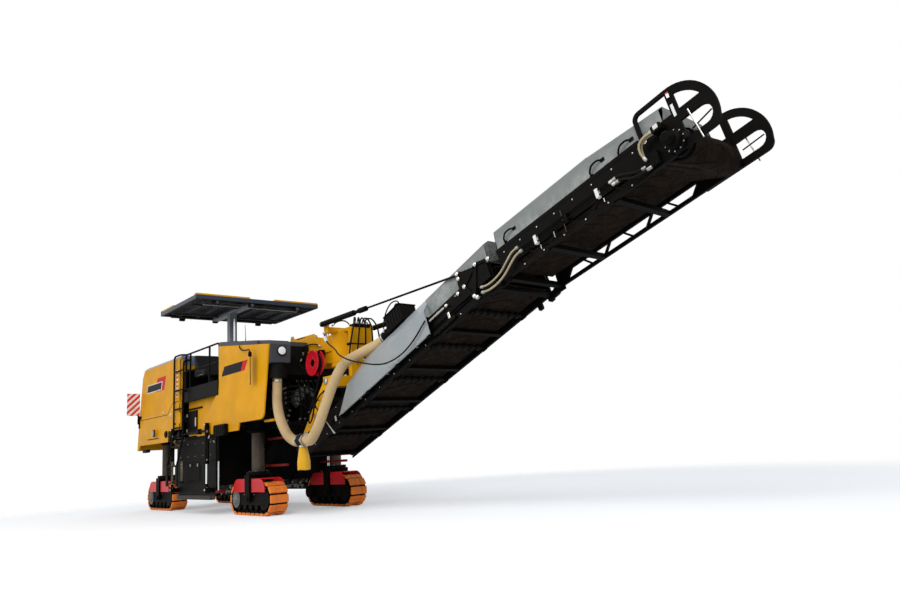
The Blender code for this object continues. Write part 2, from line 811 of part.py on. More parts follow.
# Chassis
def build_chassis(mats):
    beam_top = BEAM_LOW_Z + BEAM_H
    beam_out = BEAM_IN + BEAM_W
    body_in = HOOD_HALF - SHEET - GAP
    shapes = []
    for side in (-1, 1):
        shapes.append(block((BEAM_REAR_X, BEAM_FRONT_X), span(side, BEAM_IN, beam_out),
                            (BEAM_LOW_Z, beam_top)))
        shapes.append(block((-ARCH_L / 2, ARCH_L / 2), span(side, BEAM_IN, beam_out),
                            (beam_top - LAP, ARCH_LOW_Z + LAP)))
        for x in (0.0, -WHEELBASE):
            shapes.append(disc((x, side * GAUGE / 2), SLEEVE_R, "Z", SLEEVE_LOW_Z,
                               SLEEVE_TOP_Z, STEER_SIDES))
            shapes.append(block((x - SLEEVE_ARM_L / 2, x + SLEEVE_ARM_L / 2),
                                span(side, beam_out - LAP, GAUGE / 2),
                                (BEAM_LOW_Z + LAP, beam_top - LAP)))
    shapes.append(block((-ARCH_L / 2, ARCH_L / 2), (-beam_out, beam_out),
                        (ARCH_LOW_Z, ARCH_LOW_Z + ARCH_H)))
    for x in (REAR_CROSS_X, MID_CROSS_X):
        shapes.append(block((x - CROSS_L / 2, x + CROSS_L / 2), (-body_in, body_in),
                            (BEAM_LOW_Z + LAP, beam_top - LAP)))
    cuts = [bore((x, side * GAUGE / 2), COLUMN_R, "Z", SLEEVE_LOW_Z - CUT,
                 SLEEVE_TOP_Z - HOUSING_WALL, STEER_SIDES)
            for x in (0.0, -WHEELBASE) for side in (-1, 1)]
    piece("chassis", "root", mats["chassis_black"], shapes, cuts)


def build_housing(mats):
    top = BEAM_LOW_Z - GAP
    out = DRUM_HALF + 2 * HOUSING_WALL
    wall_in = out - HOUSING_WALL
    outline = [(HOUSING_REAR_X, HOUSING_LOW_Z), (HOUSING_FRONT_X, HOUSING_LOW_Z),
               (HOUSING_FRONT_X, top), (HOUSING_REAR_X, top)]
    shapes = [prism(outline, "Y", -out, out)]
    inner = [(HOUSING_REAR_X + HOUSING_WALL, HOUSING_LOW_Z - CUT),
             (HOUSING_FRONT_X - HOUSING_WALL, HOUSING_LOW_Z - CUT),
             (HOUSING_FRONT_X - HOUSING_WALL, top - HOUSING_WALL),
             (HOUSING_REAR_X + HOUSING_WALL, top - HOUSING_WALL)]
    throat = block((HOUSING_FRONT_X - HOUSING_WALL - CUT, HOUSING_FRONT_X + CUT),
                   (-THROAT_HALF, THROAT_HALF), (HOUSING_LOW_Z - CUT, THROAT_TOP_Z))
    piece("drum_housing", "root", mats["chassis_black"], shapes,
          [prism(inner, "Y", -wall_in, wall_in), throat])
    back = HOUSING_REAR_X - GAP
    foot = [(back - SCRAPER_T, SCRAPER_LOW_Z), (back, SCRAPER_LOW_Z), (back, SCRAPER_TOP_Z),
            (back - SCRAPER_T, SCRAPER_TOP_Z), (back - SCRAPER_T, SCRAPER_LOW_Z + 2 * SCRAPER_FOOT),
            (back - SCRAPER_FOOT, SCRAPER_LOW_Z + SCRAPER_FOOT),
            (back - SCRAPER_FOOT, SCRAPER_LOW_Z)]
    piece("scraper", "root", mats["worn_steel"], [prism(foot, "Y", -DRUM_HALF, DRUM_HALF)])


def build_drum(mats):
    add_body("milling_drum", (DRUM_X, 0.0, DRUM_Z), "root")
    centre = (DRUM_X, DRUM_Z)
    shapes = [disc(centre, DRUM_R, "Y", -DRUM_HALF, DRUM_HALF, DRUM_SIDES),
              disc(centre, SHAFT_R, "Y", -(DRUM_HALF + HOUSING_WALL - GAP),
                   DRUM_HALF + HOUSING_WALL - GAP, 20)]
    lip = DRUM_HALF - TOOL_W / 2
    for side in (-1, 1):
        for start in range(TOOL_STARTS):
            for row in range(TOOL_ROWS):
                share = row / (TOOL_ROWS - 1)
                y = side * (TOOL_W / 2 + (lip - TOOL_W / 2) * share)
                turn = math.tau * start / TOOL_STARTS + TOOL_TURN * share
                root_r, tip = DRUM_R - LAP, TIP_R
                half = TOOL_L / 2
                outline = [(root_r, -half), (root_r, half), (tip, half), (tip, half / 2)]
                tool = prism([(u, v) for u, v in outline], "Y", y - TOOL_W / 2, y + TOOL_W / 2)
                placed(tool, Matrix.Translation((DRUM_X, 0.0, DRUM_Z))
                       @ Matrix.Rotation(turn, 4, "Y"))
                shapes.append(tool)
    piece("milling_drum", "milling_drum", mats["worn_steel"], shapes)


def build_side_plates(mats):
    """Side plates with their rods, and the ram barrels fixed above them."""
    for side, word in ((-1, "right"), (1, "left")):
        body = "side_plate_" + word
        add_body(body, ((SIDE_REAR_X + SIDE_FRONT_X) / 2, side * SIDE_Y, SIDE_LOW_Z), "root")
        outline = [(SIDE_REAR_X + SIDE_NOSE, SIDE_LOW_Z), (SIDE_FRONT_X - SIDE_NOSE, SIDE_LOW_Z),
                   (SIDE_FRONT_X, SIDE_LOW_Z + SIDE_NOSE), (SIDE_FRONT_X, SIDE_TOP_Z),
                   (SIDE_REAR_X, SIDE_TOP_Z), (SIDE_REAR_X, SIDE_LOW_Z + SIDE_NOSE)]
        out = SIDE_Y + SIDE_T
        ram_y = side * (out + RAM_OUT)
        shapes = [prism(outline, "Y", *span(side, SIDE_Y, out))]
        shapes.append(block((SIDE_REAR_X + SIDE_NOSE, SIDE_FRONT_X - SIDE_NOSE),
                            span(side, SIDE_Y - SIDE_T / 2, out + SIDE_T),
                            (SIDE_LOW_Z, SIDE_LOW_Z + SIDE_SKID_H)))
        barrels, bores = [], []
        for x in RAM_XS:
            shapes.append(block((x - RAM_LUG / 2, x + RAM_LUG / 2),
                                span(side, out - LAP, out + RAM_OUT + RAM_BARREL_R),
                                (RAM_LOW_Z - RAM_LUG / 2, RAM_LOW_Z + RAM_LUG / 2)))
            shapes.append(disc((x, ram_y), RAM_ROD_R, "Z", RAM_LOW_Z,
                               RAM_TOP_Z - RAM_BARREL_R - RAM_RETRACT, 12))
            barrels.append(disc((x, ram_y), RAM_BARREL_R, "Z", RAM_SPLIT_Z, RAM_TOP_Z, 16))
            bores.append(bore((x, ram_y), RAM_ROD_R, "Z", RAM_SPLIT_Z - CUT,
                              RAM_TOP_Z - RAM_BARREL_R, 12))
        piece(body, body, mats["chassis_black"], shapes)
        rail = block(RAM_XS, span(side, PANEL_HALF + GAP, out + RAM_OUT),
                     (RAM_TOP_Z - RAM_RAIL_H, RAM_TOP_Z - RAM_RAIL_H / 2))
        piece("side_rams_" + word, "root", mats["chassis_black"], barrels + [rail], bores)


# Rear body, hood, engine
def hood_shoulders(half, roof):
    """Cuts for the long chamfers between the roof and the sides."""
    wedges = []
    for side in (-1, 1):
        outline = [(side * (half - HOOD_SIDE_EDGE - CUT), roof + CUT),
                   (side * (half + CUT), roof - HOOD_SIDE_EDGE - CUT),
                   (side * (half + CUT), roof + CUT)]
        wedges.append(prism(outline, "X", SPLIT_REAR_X - CUT, HOOD_FRONT_X + CUT))
    return wedges


def build_rear(mats):
    body_outline = [(REAR_X, REAR_LOW_Z), (REAR_X + REAR_FOOT_L, REAR_LOW_Z),
                    (REAR_X + 2 * REAR_FOOT_L, REAR_SILL_Z), (SKIRT_FRONT_X, REAR_SILL_Z),
                    (SKIRT_FRONT_X, SKIRT_STEP_Z), (HOOD_FRONT_X, SKIRT_STEP_Z),
                    (HOOD_FRONT_X, SPLIT_HIGH_Z), (SPLIT_RISE_X, SPLIT_HIGH_Z),
                    (SPLIT_STEP_X, SPLIT_Z), (SPLIT_REAR_X, SPLIT_Z)]
    inner = [(REAR_X + SHEET, REAR_LOW_Z - CUT), (HOOD_FRONT_X + CUT, REAR_LOW_Z - CUT),
             (HOOD_FRONT_X + CUT, SPLIT_HIGH_Z + CUT), (SPLIT_REAR_X + SHEET, SPLIT_HIGH_Z + CUT),
             (SPLIT_REAR_X + SHEET, SPLIT_Z)]
    wall = HOOD_HALF - SHEET
    shell = [prism(body_outline, "Y", -HOOD_HALF, HOOD_HALF)]
    for side in (-1, 1):
        shell.append(disc((REAR_LAMP_X, REAR_LAMP_Z), LAMP_R, "Y",
                          *span(side, wall + LAP, HOOD_HALF + LAMP_DEPTH), 20))
    piece("rear_body", "root", mats["yellow"], shell,
          [prism(inner, "Y", -wall, wall)])

    add_body("engine_hood", (SPLIT_REAR_X, 0.0, SPLIT_Z), "root")
    lift = GAP
    outline = [(SPLIT_REAR_X, SPLIT_Z + lift), (SPLIT_STEP_X, SPLIT_Z + lift),
               (SPLIT_RISE_X, SPLIT_HIGH_Z + lift), (HOOD_FRONT_X, SPLIT_HIGH_Z + lift),
               (HOOD_FRONT_X, HOOD_ROOF_Z - HOOD_EDGE), (HOOD_FRONT_X - HOOD_EDGE, HOOD_ROOF_Z),
               (HOOD_ROOF_X, HOOD_ROOF_Z), (HOOD_SHOULDER_X, HOOD_SHOULDER_Z)]
    hollow = [(SPLIT_REAR_X + SHEET, SPLIT_Z - CUT), (HOOD_FRONT_X - SHEET, SPLIT_Z - CUT),
              (HOOD_FRONT_X - SHEET, HOOD_ROOF_Z - HOOD_EDGE - SHEET),
              (HOOD_FRONT_X - HOOD_EDGE - SHEET / 2, HOOD_ROOF_Z - SHEET),
              (HOOD_ROOF_X + SHEET / 2, HOOD_ROOF_Z - SHEET),
              (HOOD_SHOULDER_X + SHEET, HOOD_SHOULDER_Z - SHEET / 2)]
    room = prism(hollow, "Y", -wall, wall)
    boolean(room, hood_shoulders(wall, HOOD_ROOF_Z - SHEET), "DIFFERENCE")
    piece("engine_hood", "engine_hood", mats["yellow"],
          [prism(outline, "Y", -HOOD_HALF, HOOD_HALF)],
          [room] + hood_shoulders(HOOD_HALF, HOOD_ROOF_Z))

    beam_top = BEAM_LOW_Z + BEAM_H
    piece("engine", "root", mats["engine_grey"],
          [block((ENGINE_REAR_X, ENGINE_FRONT_X), (-ENGINE_HALF, ENGINE_HALF),
                 (beam_top + GAP, ENGINE_TOP_Z))])

    for side, word in ((-1, "right"), (1, "left")):
        post_in = HOOD_HALF + GAP
        ys = span(side, post_in + WARN_POST / 2, post_in + WARN_POST / 2 + WARN_W)
        shapes = [block((WARN_X - WARN_T / 2, WARN_X + WARN_T / 2), ys,
                        (WARN_LOW_Z, WARN_LOW_Z + WARN_H)),
                  block((WARN_X - WARN_POST, WARN_X), span(side, post_in, post_in + WARN_POST),
                        (SPLIT_Z - 2 * WARN_POST - WARN_H / 4, SPLIT_Z - WARN_POST)),
                  block((WARN_X - WARN_POST, WARN_X),
                        span(side, post_in + WARN_POST / 2, post_in + 2 * WARN_POST),
                        (SPLIT_Z - 3 * WARN_POST, WARN_LOW_Z + WARN_H))]
        piece("warning_plate_" + word, "root", mats["warning_white"], shapes)


# Belly, centre body, panels, console
def build_centre(mats):
    beam_top = BEAM_LOW_Z + BEAM_H
    low = BEAM_LOW_Z + GAP
    slots = [block((BELLY_REAR_X - CUT, CENTRE_REAR_X + CUT),
                   span(side, BEAM_IN - GAP, BEAM_IN + BEAM_W + GAP), (low - CUT, beam_top + GAP))
             for side in (-1, 1)]
    piece("belly", "root", mats["yellow"],
          [block((BELLY_REAR_X, CENTRE_REAR_X - GAP), (BELLY_IN - SIDE_Y, SIDE_Y - BELLY_IN),
                 (low, DECK_Z - DECK_T - GAP))], slots)

    centre_half = PANEL_HALF - PANEL_T - GAP
    fall = (PANEL_REAR_TOP_Z - PANEL_FRONT_TOP_Z) / (PANEL_FRONT_X - CENTRE_REAR_X)

    def top_z(x):
        return PANEL_REAR_TOP_Z - fall * (x - CENTRE_REAR_X)

    under = ARCH_LOW_Z + ARCH_H + GAP
    outline = [(CENTRE_REAR_X, under), (CENTRE_FRONT_X, under),
               (CENTRE_NOSE_X, CENTRE_NOSE_LOW_Z), (CENTRE_NOSE_X, top_z(CENTRE_NOSE_X) - GAP),
               (CENTRE_REAR_X, top_z(CENTRE_REAR_X) - GAP)]
    shapes = [prism(outline, "Y", -centre_half, centre_half)]
    for side in (-1, 1):
        shapes.append(block((CENTRE_REAR_X, -SLEEVE_R - CUT),
                            span(side, BEAM_IN + BEAM_W + GAP, centre_half),
                            (CENTRE_LOW_Z, under + LAP)))
        shapes.append(block((SLEEVE_R + CUT, CENTRE_FRONT_X),
                            span(side, BEAM_IN + BEAM_W + GAP, centre_half),
                            (CENTRE_LOW_Z + CUT, under + LAP)))
    piece("centre_body", "root", mats["tank_black"], shapes)

    corner = (PANEL_FOOT_X - PANEL_CORNER, PANEL_LOW_Z + PANEL_CORNER)
    panel = [(CENTRE_REAR_X, PANEL_REAR_TOP_Z), (CENTRE_REAR_X, PANEL_NOTCH_Z + PANEL_STEP),
             (PANEL_NOTCH_X, PANEL_NOTCH_Z), (PANEL_TAB_REAR_X, PANEL_TAB_Z),
             (PANEL_TAB_FRONT_X, PANEL_TAB_Z), (PANEL_TAB_FRONT_X + PANEL_STEP / 2, PANEL_LOW_Z)]
    panel += arc(corner, PANEL_CORNER, -math.pi / 2, 0.0, 5)
    panel += [(PANEL_FRONT_X, PANEL_FRONT_TOP_Z)]
    for side, word in ((-1, "right"), (1, "left")):
        ys = span(side, PANEL_HALF - PANEL_T, PANEL_HALF)
        piece("side_panel_" + word, "root", mats["yellow"], [prism(panel, "Y", *ys)])

    lid_front = PANEL_FRONT_X + 2 * GAP
    lid = [(CENTRE_REAR_X, top_z(CENTRE_REAR_X) + GAP),
           (CENTRE_REAR_X, top_z(CENTRE_REAR_X) + LID_T - LID_EDGE / 2),
           (CENTRE_REAR_X + LID_EDGE, top_z(CENTRE_REAR_X) + LID_T)]
    lid_back = [(NOSE_BACK_X, top_z(NOSE_BACK_X) + LID_T), (NOSE_BACK_X, top_z(NOSE_BACK_X) + GAP)]
    nose = [(CENTRE_NOSE_X + GAP, NOSE_LOW_Z), (lid_front, NOSE_LOW_Z + LID_EDGE),
            (lid_front + LID_EDGE / 2, top_z(lid_front)),
            (lid_front - LID_EDGE, top_z(lid_front) + LID_T),
            (NOSE_BACK_X - LAP, top_z(NOSE_BACK_X - LAP) + LID_T),
            (NOSE_BACK_X - LAP, top_z(NOSE_BACK_X - LAP) + GAP),
            (CENTRE_NOSE_X + GAP, top_z(CENTRE_NOSE_X) + GAP)]
    shapes = [prism(lid + lid_back, "Y", -PANEL_HALF, PANEL_HALF)]
    for side in (-1, 1):
        box_out = PANEL_HALF - PANEL_T - GAP
        shapes.append(prism(nose, "Y", *span(side, NOSE_IN, box_out)))
        shapes.append(disc((side * FRONT_LAMP_Y, FRONT_LAMP_Z), LAMP_R, "X",
                           lid_front - LAMP_DEPTH, lid_front + LID_EDGE / 2 + LAP, 20))
    shapes.append(disc((DUCT_X, DUCT_IN - PANEL_HALF), DUCT_R, "Z", DUCT_LOW_Z, NOSE_LOW_Z + LID_EDGE, 20))
    piece("console", "root", mats["console_grey"], shapes)


def build_platform(mats):
    deck_low = DECK_Z - DECK_T
    rear, front = HOOD_FRONT_X + GAP, CENTRE_REAR_X - GAP
    shapes = [block((rear, front), (-PANEL_HALF, PANEL_HALF), (deck_low, DECK_Z))]
    for side in (-1, 1):
        shapes.append(block((rear, front - PANEL_STEP), span(side, PANEL_HALF - KICK_T, PANEL_HALF),
                            (KICK_LOW_Z, DECK_Z)))
        y = side * (PANEL_HALF - RAIL_IN)
        path = [(RAIL_REAR_X, y, DECK_Z - LAP), (RAIL_REAR_X, y, RAIL_Z),
                (RAIL_FRONT_X, y, RAIL_Z), (RAIL_FRONT_X, y, DECK_Z - LAP)]
        shapes.append(tube(rounded(path, RAIL_BEND), RAIL_R))
        for x in RAIL_POSTS:
            shapes.append(bar((x, y, DECK_Z - LAP), (x, y, RAIL_Z), RAIL_R, 10))
    piece("platform", "root", mats["chassis_black"], shapes)

    x, y = SEAT_X, SEAT_Y
    base = DECK_Z + GAP
    top = base + SEAT_H
    half = SEAT_W / 2
    back = [(x - half, top), (x - half + SEAT_BACK_T, top),
            (x - half, top + SEAT_BACK_H), (x - half - SEAT_BACK_T, top + SEAT_BACK_H)]
    shapes = [disc((x, y), SEAT_POST_R, "Z", base, top, 16),
              block((x - half, x + half), (y - half, y + half), (top - SEAT_CUSHION, top)),
              prism([(u, v - LAP) for u, v in back], "Y", y - half, y + half),
              disc((x, y), 2 * SEAT_POST_R, "Z", base, base + LAP, 16)]
    piece("operator_seat", "root", mats["seat_black"], shapes)


def build_ladder(mats):
    shapes = []
    plane = -(PANEL_HALF + LADDER_OUT)
    rear_rail, front_rail = LADDER_XS
    for x in LADDER_XS:
        knee = (x, plane, LADDER_KNEE_Z)
        foot = (x - LADDER_KICK, plane - LADDER_LEAN, LADDER_FOOT_Z)
        shapes.append(tube(rounded([(x, plane, LADDER_TOP_Z), knee, foot], 2 * RAIL_R),
                           LADDER_R))
        low = FLAP_L + LAP
        shapes.append(block((foot[0] - FLAP_W / 2, foot[0] + FLAP_W / 2),
                            (foot[1] - FLAP_T / 2, foot[1] + FLAP_T / 2),
                            (foot[2] - low, foot[2] + LAP)))
    for k in range(RUNG_STEPS):
        share = k / (RUNG_STEPS - 1)
        z = LADDER_FOOT_Z + (DECK_Z - KICK_T - LADDER_FOOT_Z) * share + LADDER_R
        drop = max(0.0, (LADDER_KNEE_Z - z) / (LADDER_KNEE_Z - LADDER_FOOT_Z))
        back, out = LADDER_KICK * drop, LADDER_LEAN * drop
        shapes.append(bar((rear_rail - back, plane - out, z),
                          (front_rail - back, plane - out, z), LADDER_R, 8))
    shapes.append(bar((rear_rail, plane, LADDER_TOP_Z - LADDER_KICK),
                      (front_rail, plane, LADDER_TOP_Z - LADDER_KICK), LADDER_R, 8))
    shapes.append(bar((front_rail, plane, DECK_Z - DECK_T),
                      (front_rail, -(PANEL_HALF + GAP), DECK_Z - DECK_T), LADDER_R, 8))
    shapes.append(bar((rear_rail, plane, BEAM_LOW_Z + BEAM_H),
                      (rear_rail, -(HOOD_HALF + GAP), BEAM_LOW_Z + BEAM_H), LADDER_R, 8))
    piece("ladder", "root", mats["chassis_black"], shapes)


def build_canopy(mats):
    low = CANOPY_Z - CANOPY_EDGE_H
    right, left = CANOPY_Y - CANOPY_HALF, CANOPY_Y + CANOPY_HALF
    head_top = CANOPY_Z - CANOPY_SKIN - CANOPY_RIB_H - GAP
    mast = [block((MAST_X - MAST_W / 2, MAST_X + MAST_W / 2),
                  (MAST_Y - MAST_W / 2, MAST_Y + MAST_W / 2), (DECK_Z + GAP, head_top)),
            block((MAST_X - MAST_FOOT / 2, MAST_X + MAST_FOOT / 2),
                  (MAST_Y - MAST_FOOT / 2, MAST_Y + MAST_FOOT / 2),
                  (DECK_Z + GAP, DECK_Z + MAST_FOOT_T)),
            block((MAST_X - MAST_ARM_L, MAST_X + MAST_ARM_L),
                  (MAST_Y - MAST_W / 2, MAST_Y + MAST_W / 2), (head_top - MAST_HEAD_H, head_top))]
    piece("canopy_mast", "root", mats["mast_grey"], mast)

    shapes = [block((CANOPY_REAR_X, CANOPY_FRONT_X), (right, left), (low, CANOPY_Z))]
    inner = block((CANOPY_REAR_X + CANOPY_RIB_W, CANOPY_FRONT_X - CANOPY_RIB_W),
                  (right + CANOPY_RIB_W, left - CANOPY_RIB_W), (low - CUT, CANOPY_Z - CANOPY_SKIN))
    frame = piece("canopy", "root", mats["canopy_dark"], shapes, [inner])
    ribs = []
    for k in range(CANOPY_RIBS):
        share = (k + 1) / (CANOPY_RIBS + 1)
        y = right + (left - right) * share
        ribs.append(block((CANOPY_REAR_X + LAP, CANOPY_FRONT_X - LAP),
                          (y - CANOPY_RIB_W / 2, y + CANOPY_RIB_W / 2),
                          (CANOPY_Z - CANOPY_SKIN - CANOPY_RIB_H, CANOPY_Z - CANOPY_SKIN + LAP)))
    boolean(frame, ribs, "UNION")


def build_loading_conveyor(mats):
    rise = LOAD_FRONT_Z - LOAD_REAR_Z
    run = LOAD_FRONT_X - LOAD_REAR_X
    share = -LOAD_REAR_X / run      # where the conveyor passes under the arch
    length = math.hypot(run, rise)
    place = (Matrix.Translation((LOAD_REAR_X, 0.0, LOAD_REAR_Z))
             @ Matrix.Rotation(-math.atan2(rise, run), 4, "Y"))
    half = LOAD_H / 2
    wall = [(0.0, -half), (length, -half), (length, half), (0.0, half)]
    shapes = []
    for side in (-1, 1):
        ys = span(side, LOAD_HALF - LOAD_WALL, LOAD_HALF)
        shapes.append(placed(prism(wall, "Y", *ys), place))
    deck = LOAD_HALF - LOAD_WALL + LAP
    band = arc((length - LOAD_ROLLER_R, 0.0), LOAD_ROLLER_R, -math.pi / 2, math.pi / 2, 8)
    band += arc((LOAD_ROLLER_R, 0.0), LOAD_ROLLER_R, math.pi / 2, math.pi * 3 / 2, 8)
    shapes.append(placed(prism(band, "Y", -deck, deck), place))
    for side in (-1, 1):
        shapes.append(disc((HOUSING_FRONT_X - HOUSING_WALL / 2, LOAD_REAR_Z), LOAD_PIN_R, "Y",
                           *span(side, LOAD_HALF - LAP, THROAT_HALF - GAP), 12))
        shapes.append(block((-LOAD_STRAP / 2, LOAD_STRAP / 2),
                            span(side, LOAD_HALF - LAP, LOAD_HALF + LOAD_STRAP_T),
                            (LOAD_REAR_Z + rise * share, ARCH_LOW_Z - GAP)))
    piece("loading_conveyor", "root", mats["belt_rubber"], shapes)


# Front tower, reel and slewing bracket
def build_tower(mats):
    shapes = [block((CENTRE_NOSE_X + GAP, SLEW_X), (-TOWER_HALF, TOWER_HALF),
                    (HUB_LOW_Z + LAP, HUB_TOP_Z - LAP)),
              disc((SLEW_X, 0.0), HUB_R, "Z", HUB_LOW_Z, HUB_TOP_Z, 28)]
    for side in (-1, 1):
        ys = span(side, TOWER_HALF - TOWER_LUG_T, TOWER_HALF)
        lug = arc((TOWER_LUG_X, HUB_TOP_Z + TOWER_LUG_H - TOWER_LUG_R), TOWER_LUG_R,
                  0.0, math.pi, 8)
        lug = [(TOWER_LUG_X + TOWER_LUG_R, HUB_TOP_Z - 2 * LAP)] + lug
        lug += [(TOWER_LUG_X - TOWER_LUG_R, HUB_TOP_Z - 2 * LAP)]
        shapes.append(prism(lug, "Y", *ys))
    hole = bore((SLEW_X, 0.0), PIN_R, "Z", HUB_LOW_Z - CUT, HUB_TOP_Z + CUT, 20)
    piece("slew_tower", "root", mats["yellow"], shapes, [hole])

    arm_end = REEL_ARM_Y + GAP
    add_body("hose_reel", (REEL_X, REEL_ARM_Y, REEL_Z), "root")
    far = REEL_ARM_Y - REEL_W
    centre = (REEL_X, REEL_Z)
    shapes = [disc(centre, REEL_CORE_R, "Y", far + LAP, REEL_ARM_Y - LAP, 20),
              disc(centre, REEL_R, "Y", far, far + REEL_DISC_T, 28),
              disc(centre, REEL_R, "Y", REEL_ARM_Y - REEL_DISC_T, REEL_ARM_Y, 28)]
    piece("hose_reel", "hose_reel", mats["reel_red"], shapes)
    piece("reel_bracket", "root", mats["yellow"],
          [block((REEL_X - REEL_PIN_R * 2, REEL_X + REEL_PIN_R * 2),
                 (arm_end, -TOWER_HALF - GAP),
                 (REEL_Z - REEL_PIN_R * 2, REEL_Z + REEL_PIN_R * 2))])


def build_slew(mats):
    add_body("slew_bracket", (SLEW_X, 0.0, TAIL_Z), "root")
    top_low, low_top = HUB_TOP_Z + GAP, HUB_LOW_Z - GAP
    web_back = SLEW_X + WEB_X
    shapes = [disc((SLEW_X, 0.0), PIN_R, "Z", low_top - LAP, top_low + LAP, 20),
              disc((SLEW_X, 0.0), HUB_R, "Z", top_low, top_low + TOP_PLATE_T, 28),
              disc((SLEW_X, 0.0), HUB_R, "Z", low_top - BOTTOM_PLATE_T, low_top, 28),
              block((SLEW_X, web_back + WEB_T), (-WEB_HALF, WEB_HALF),
                    (top_low, top_low + TOP_PLATE_T)),
              block((SLEW_X, web_back + WEB_T), (-WEB_HALF, WEB_HALF),
                    (low_top - BOTTOM_PLATE_T, low_top)),
              block((web_back, web_back + WEB_T), (-WEB_HALF, WEB_HALF),
                    (HANGER_LOW_Z, top_low + TOP_PLATE_T)),
              block((RAM_BEAM_X - RAM_BEAM_L / 2, RAM_BEAM_X + RAM_BEAM_L / 2),
                    (-LIFT_Y + 2 * LIFT_EAR_T + LIFT_BARREL_R, LIFT_Y - 2 * LIFT_EAR_T - LIFT_BARREL_R),
                    (top_low + GAP, top_low + RAM_BEAM_H)),
              block((HANGER_X - HANGER_L / 2, web_back + WEB_T),
                    (-ARM_IN - ARM_T, ARM_IN + ARM_T), (HANGER_LOW_Z, HANGER_LOW_Z + HANGER_H))]
    for side in (-1, 1):
        ys = span(side, ARM_IN, ARM_IN + ARM_T)
        top = (HANGER_X, HANGER_LOW_Z + HANGER_H - ARM_W / 2)
        foot = (TAIL_X, TAIL_Z)
        along = Vector((top[0] - foot[0], top[1] - foot[1])).normalized()
        across = Vector((-along.y, along.x)) * ARM_W / 2
        angle = math.atan2(across.y, across.x)
        arm = arc(foot, ARM_W / 2, angle, angle + math.pi, 8)
        arm += [(top[0] - across.x, top[1] - across.y), (top[0] + across.x, top[1] + across.y)]
        shapes.append(prism(arm, "Y", *ys))
        shapes.append(disc((TAIL_X, TAIL_Z), TAIL_PIN_R, "Y",
                           *span(side, FRAME_HALF - FRAME_T - LAP, ARM_IN + LAP), 16))
        ear_in = LIFT_Y - LIFT_BARREL_R - 2 * LIFT_EAR_T
        ear = arc((RAM_BEAM_X, LIFT_BASE_Z), RAM_BEAM_L / 2, 0.0, math.pi, 8)
        ear += [(RAM_BEAM_X - RAM_BEAM_L / 2, top_low + GAP), (RAM_BEAM_X + RAM_BEAM_L / 2, top_low + GAP)]
        shapes.append(prism(ear, "Y", *span(side, ear_in - LAP, ear_in + LIFT_EAR_T)))
        shapes.append(disc((RAM_BEAM_X, LIFT_BASE_Z), LIFT_PIN_R, "Y",
                           *span(side, ear_in, LIFT_Y + LIFT_BARREL_R), 12))
    piece("slew_bracket", "slew_bracket", mats["yellow"], shapes)


# Discharge conveyor
def lower_place():
    return Matrix.Translation((TAIL_X, 0.0, TAIL_Z)) @ Matrix.Rotation(-LOWER_PITCH, 4, "Y")


def upper_place():
    fold = lower_place() @ Vector((FOLD_AT, 0.0, CHORD_H))
    return Matrix.Translation(fold) @ Matrix.Rotation(-UPPER_PITCH, 4, "Y")


def band(line, thickness):
    """Outline of a strip along an open line, its thickness to the line's left."""
    pts = [Vector(p) for p in line]
    ways = [(q - p).normalized() for p, q in zip(pts, pts[1:])]
    inner = []
    for i, p in enumerate(pts):
        before, after = ways[max(i - 1, 0)], ways[min(i, len(ways) - 1)]
        mitre = Vector((-before.y - after.y, before.x + after.x))
        side = Vector((-after.y, after.x))
        inner.append(p + mitre * (thickness / mitre.dot(side)))
    return [tuple(p) for p in pts + inner[::-1]]


def touching_angle(point, centre, radius, turn):
    """Where a straight line from a point touches a circle, on the side of turn."""
    away = Vector(point) - Vector(centre)
    return math.atan2(away.y, away.x) + turn * math.acos(radius / away.length)


def cover_section(half, ridge, low, waist, top, lip):
    """Section of a sheet cover, in Y and height, from lip to lip."""
    right = [(-half - lip, low), (-half, low), (-half, waist), (-ridge, top)]
    return band(right + [(-u, v) for u, v in right[::-1]], COVER_T)


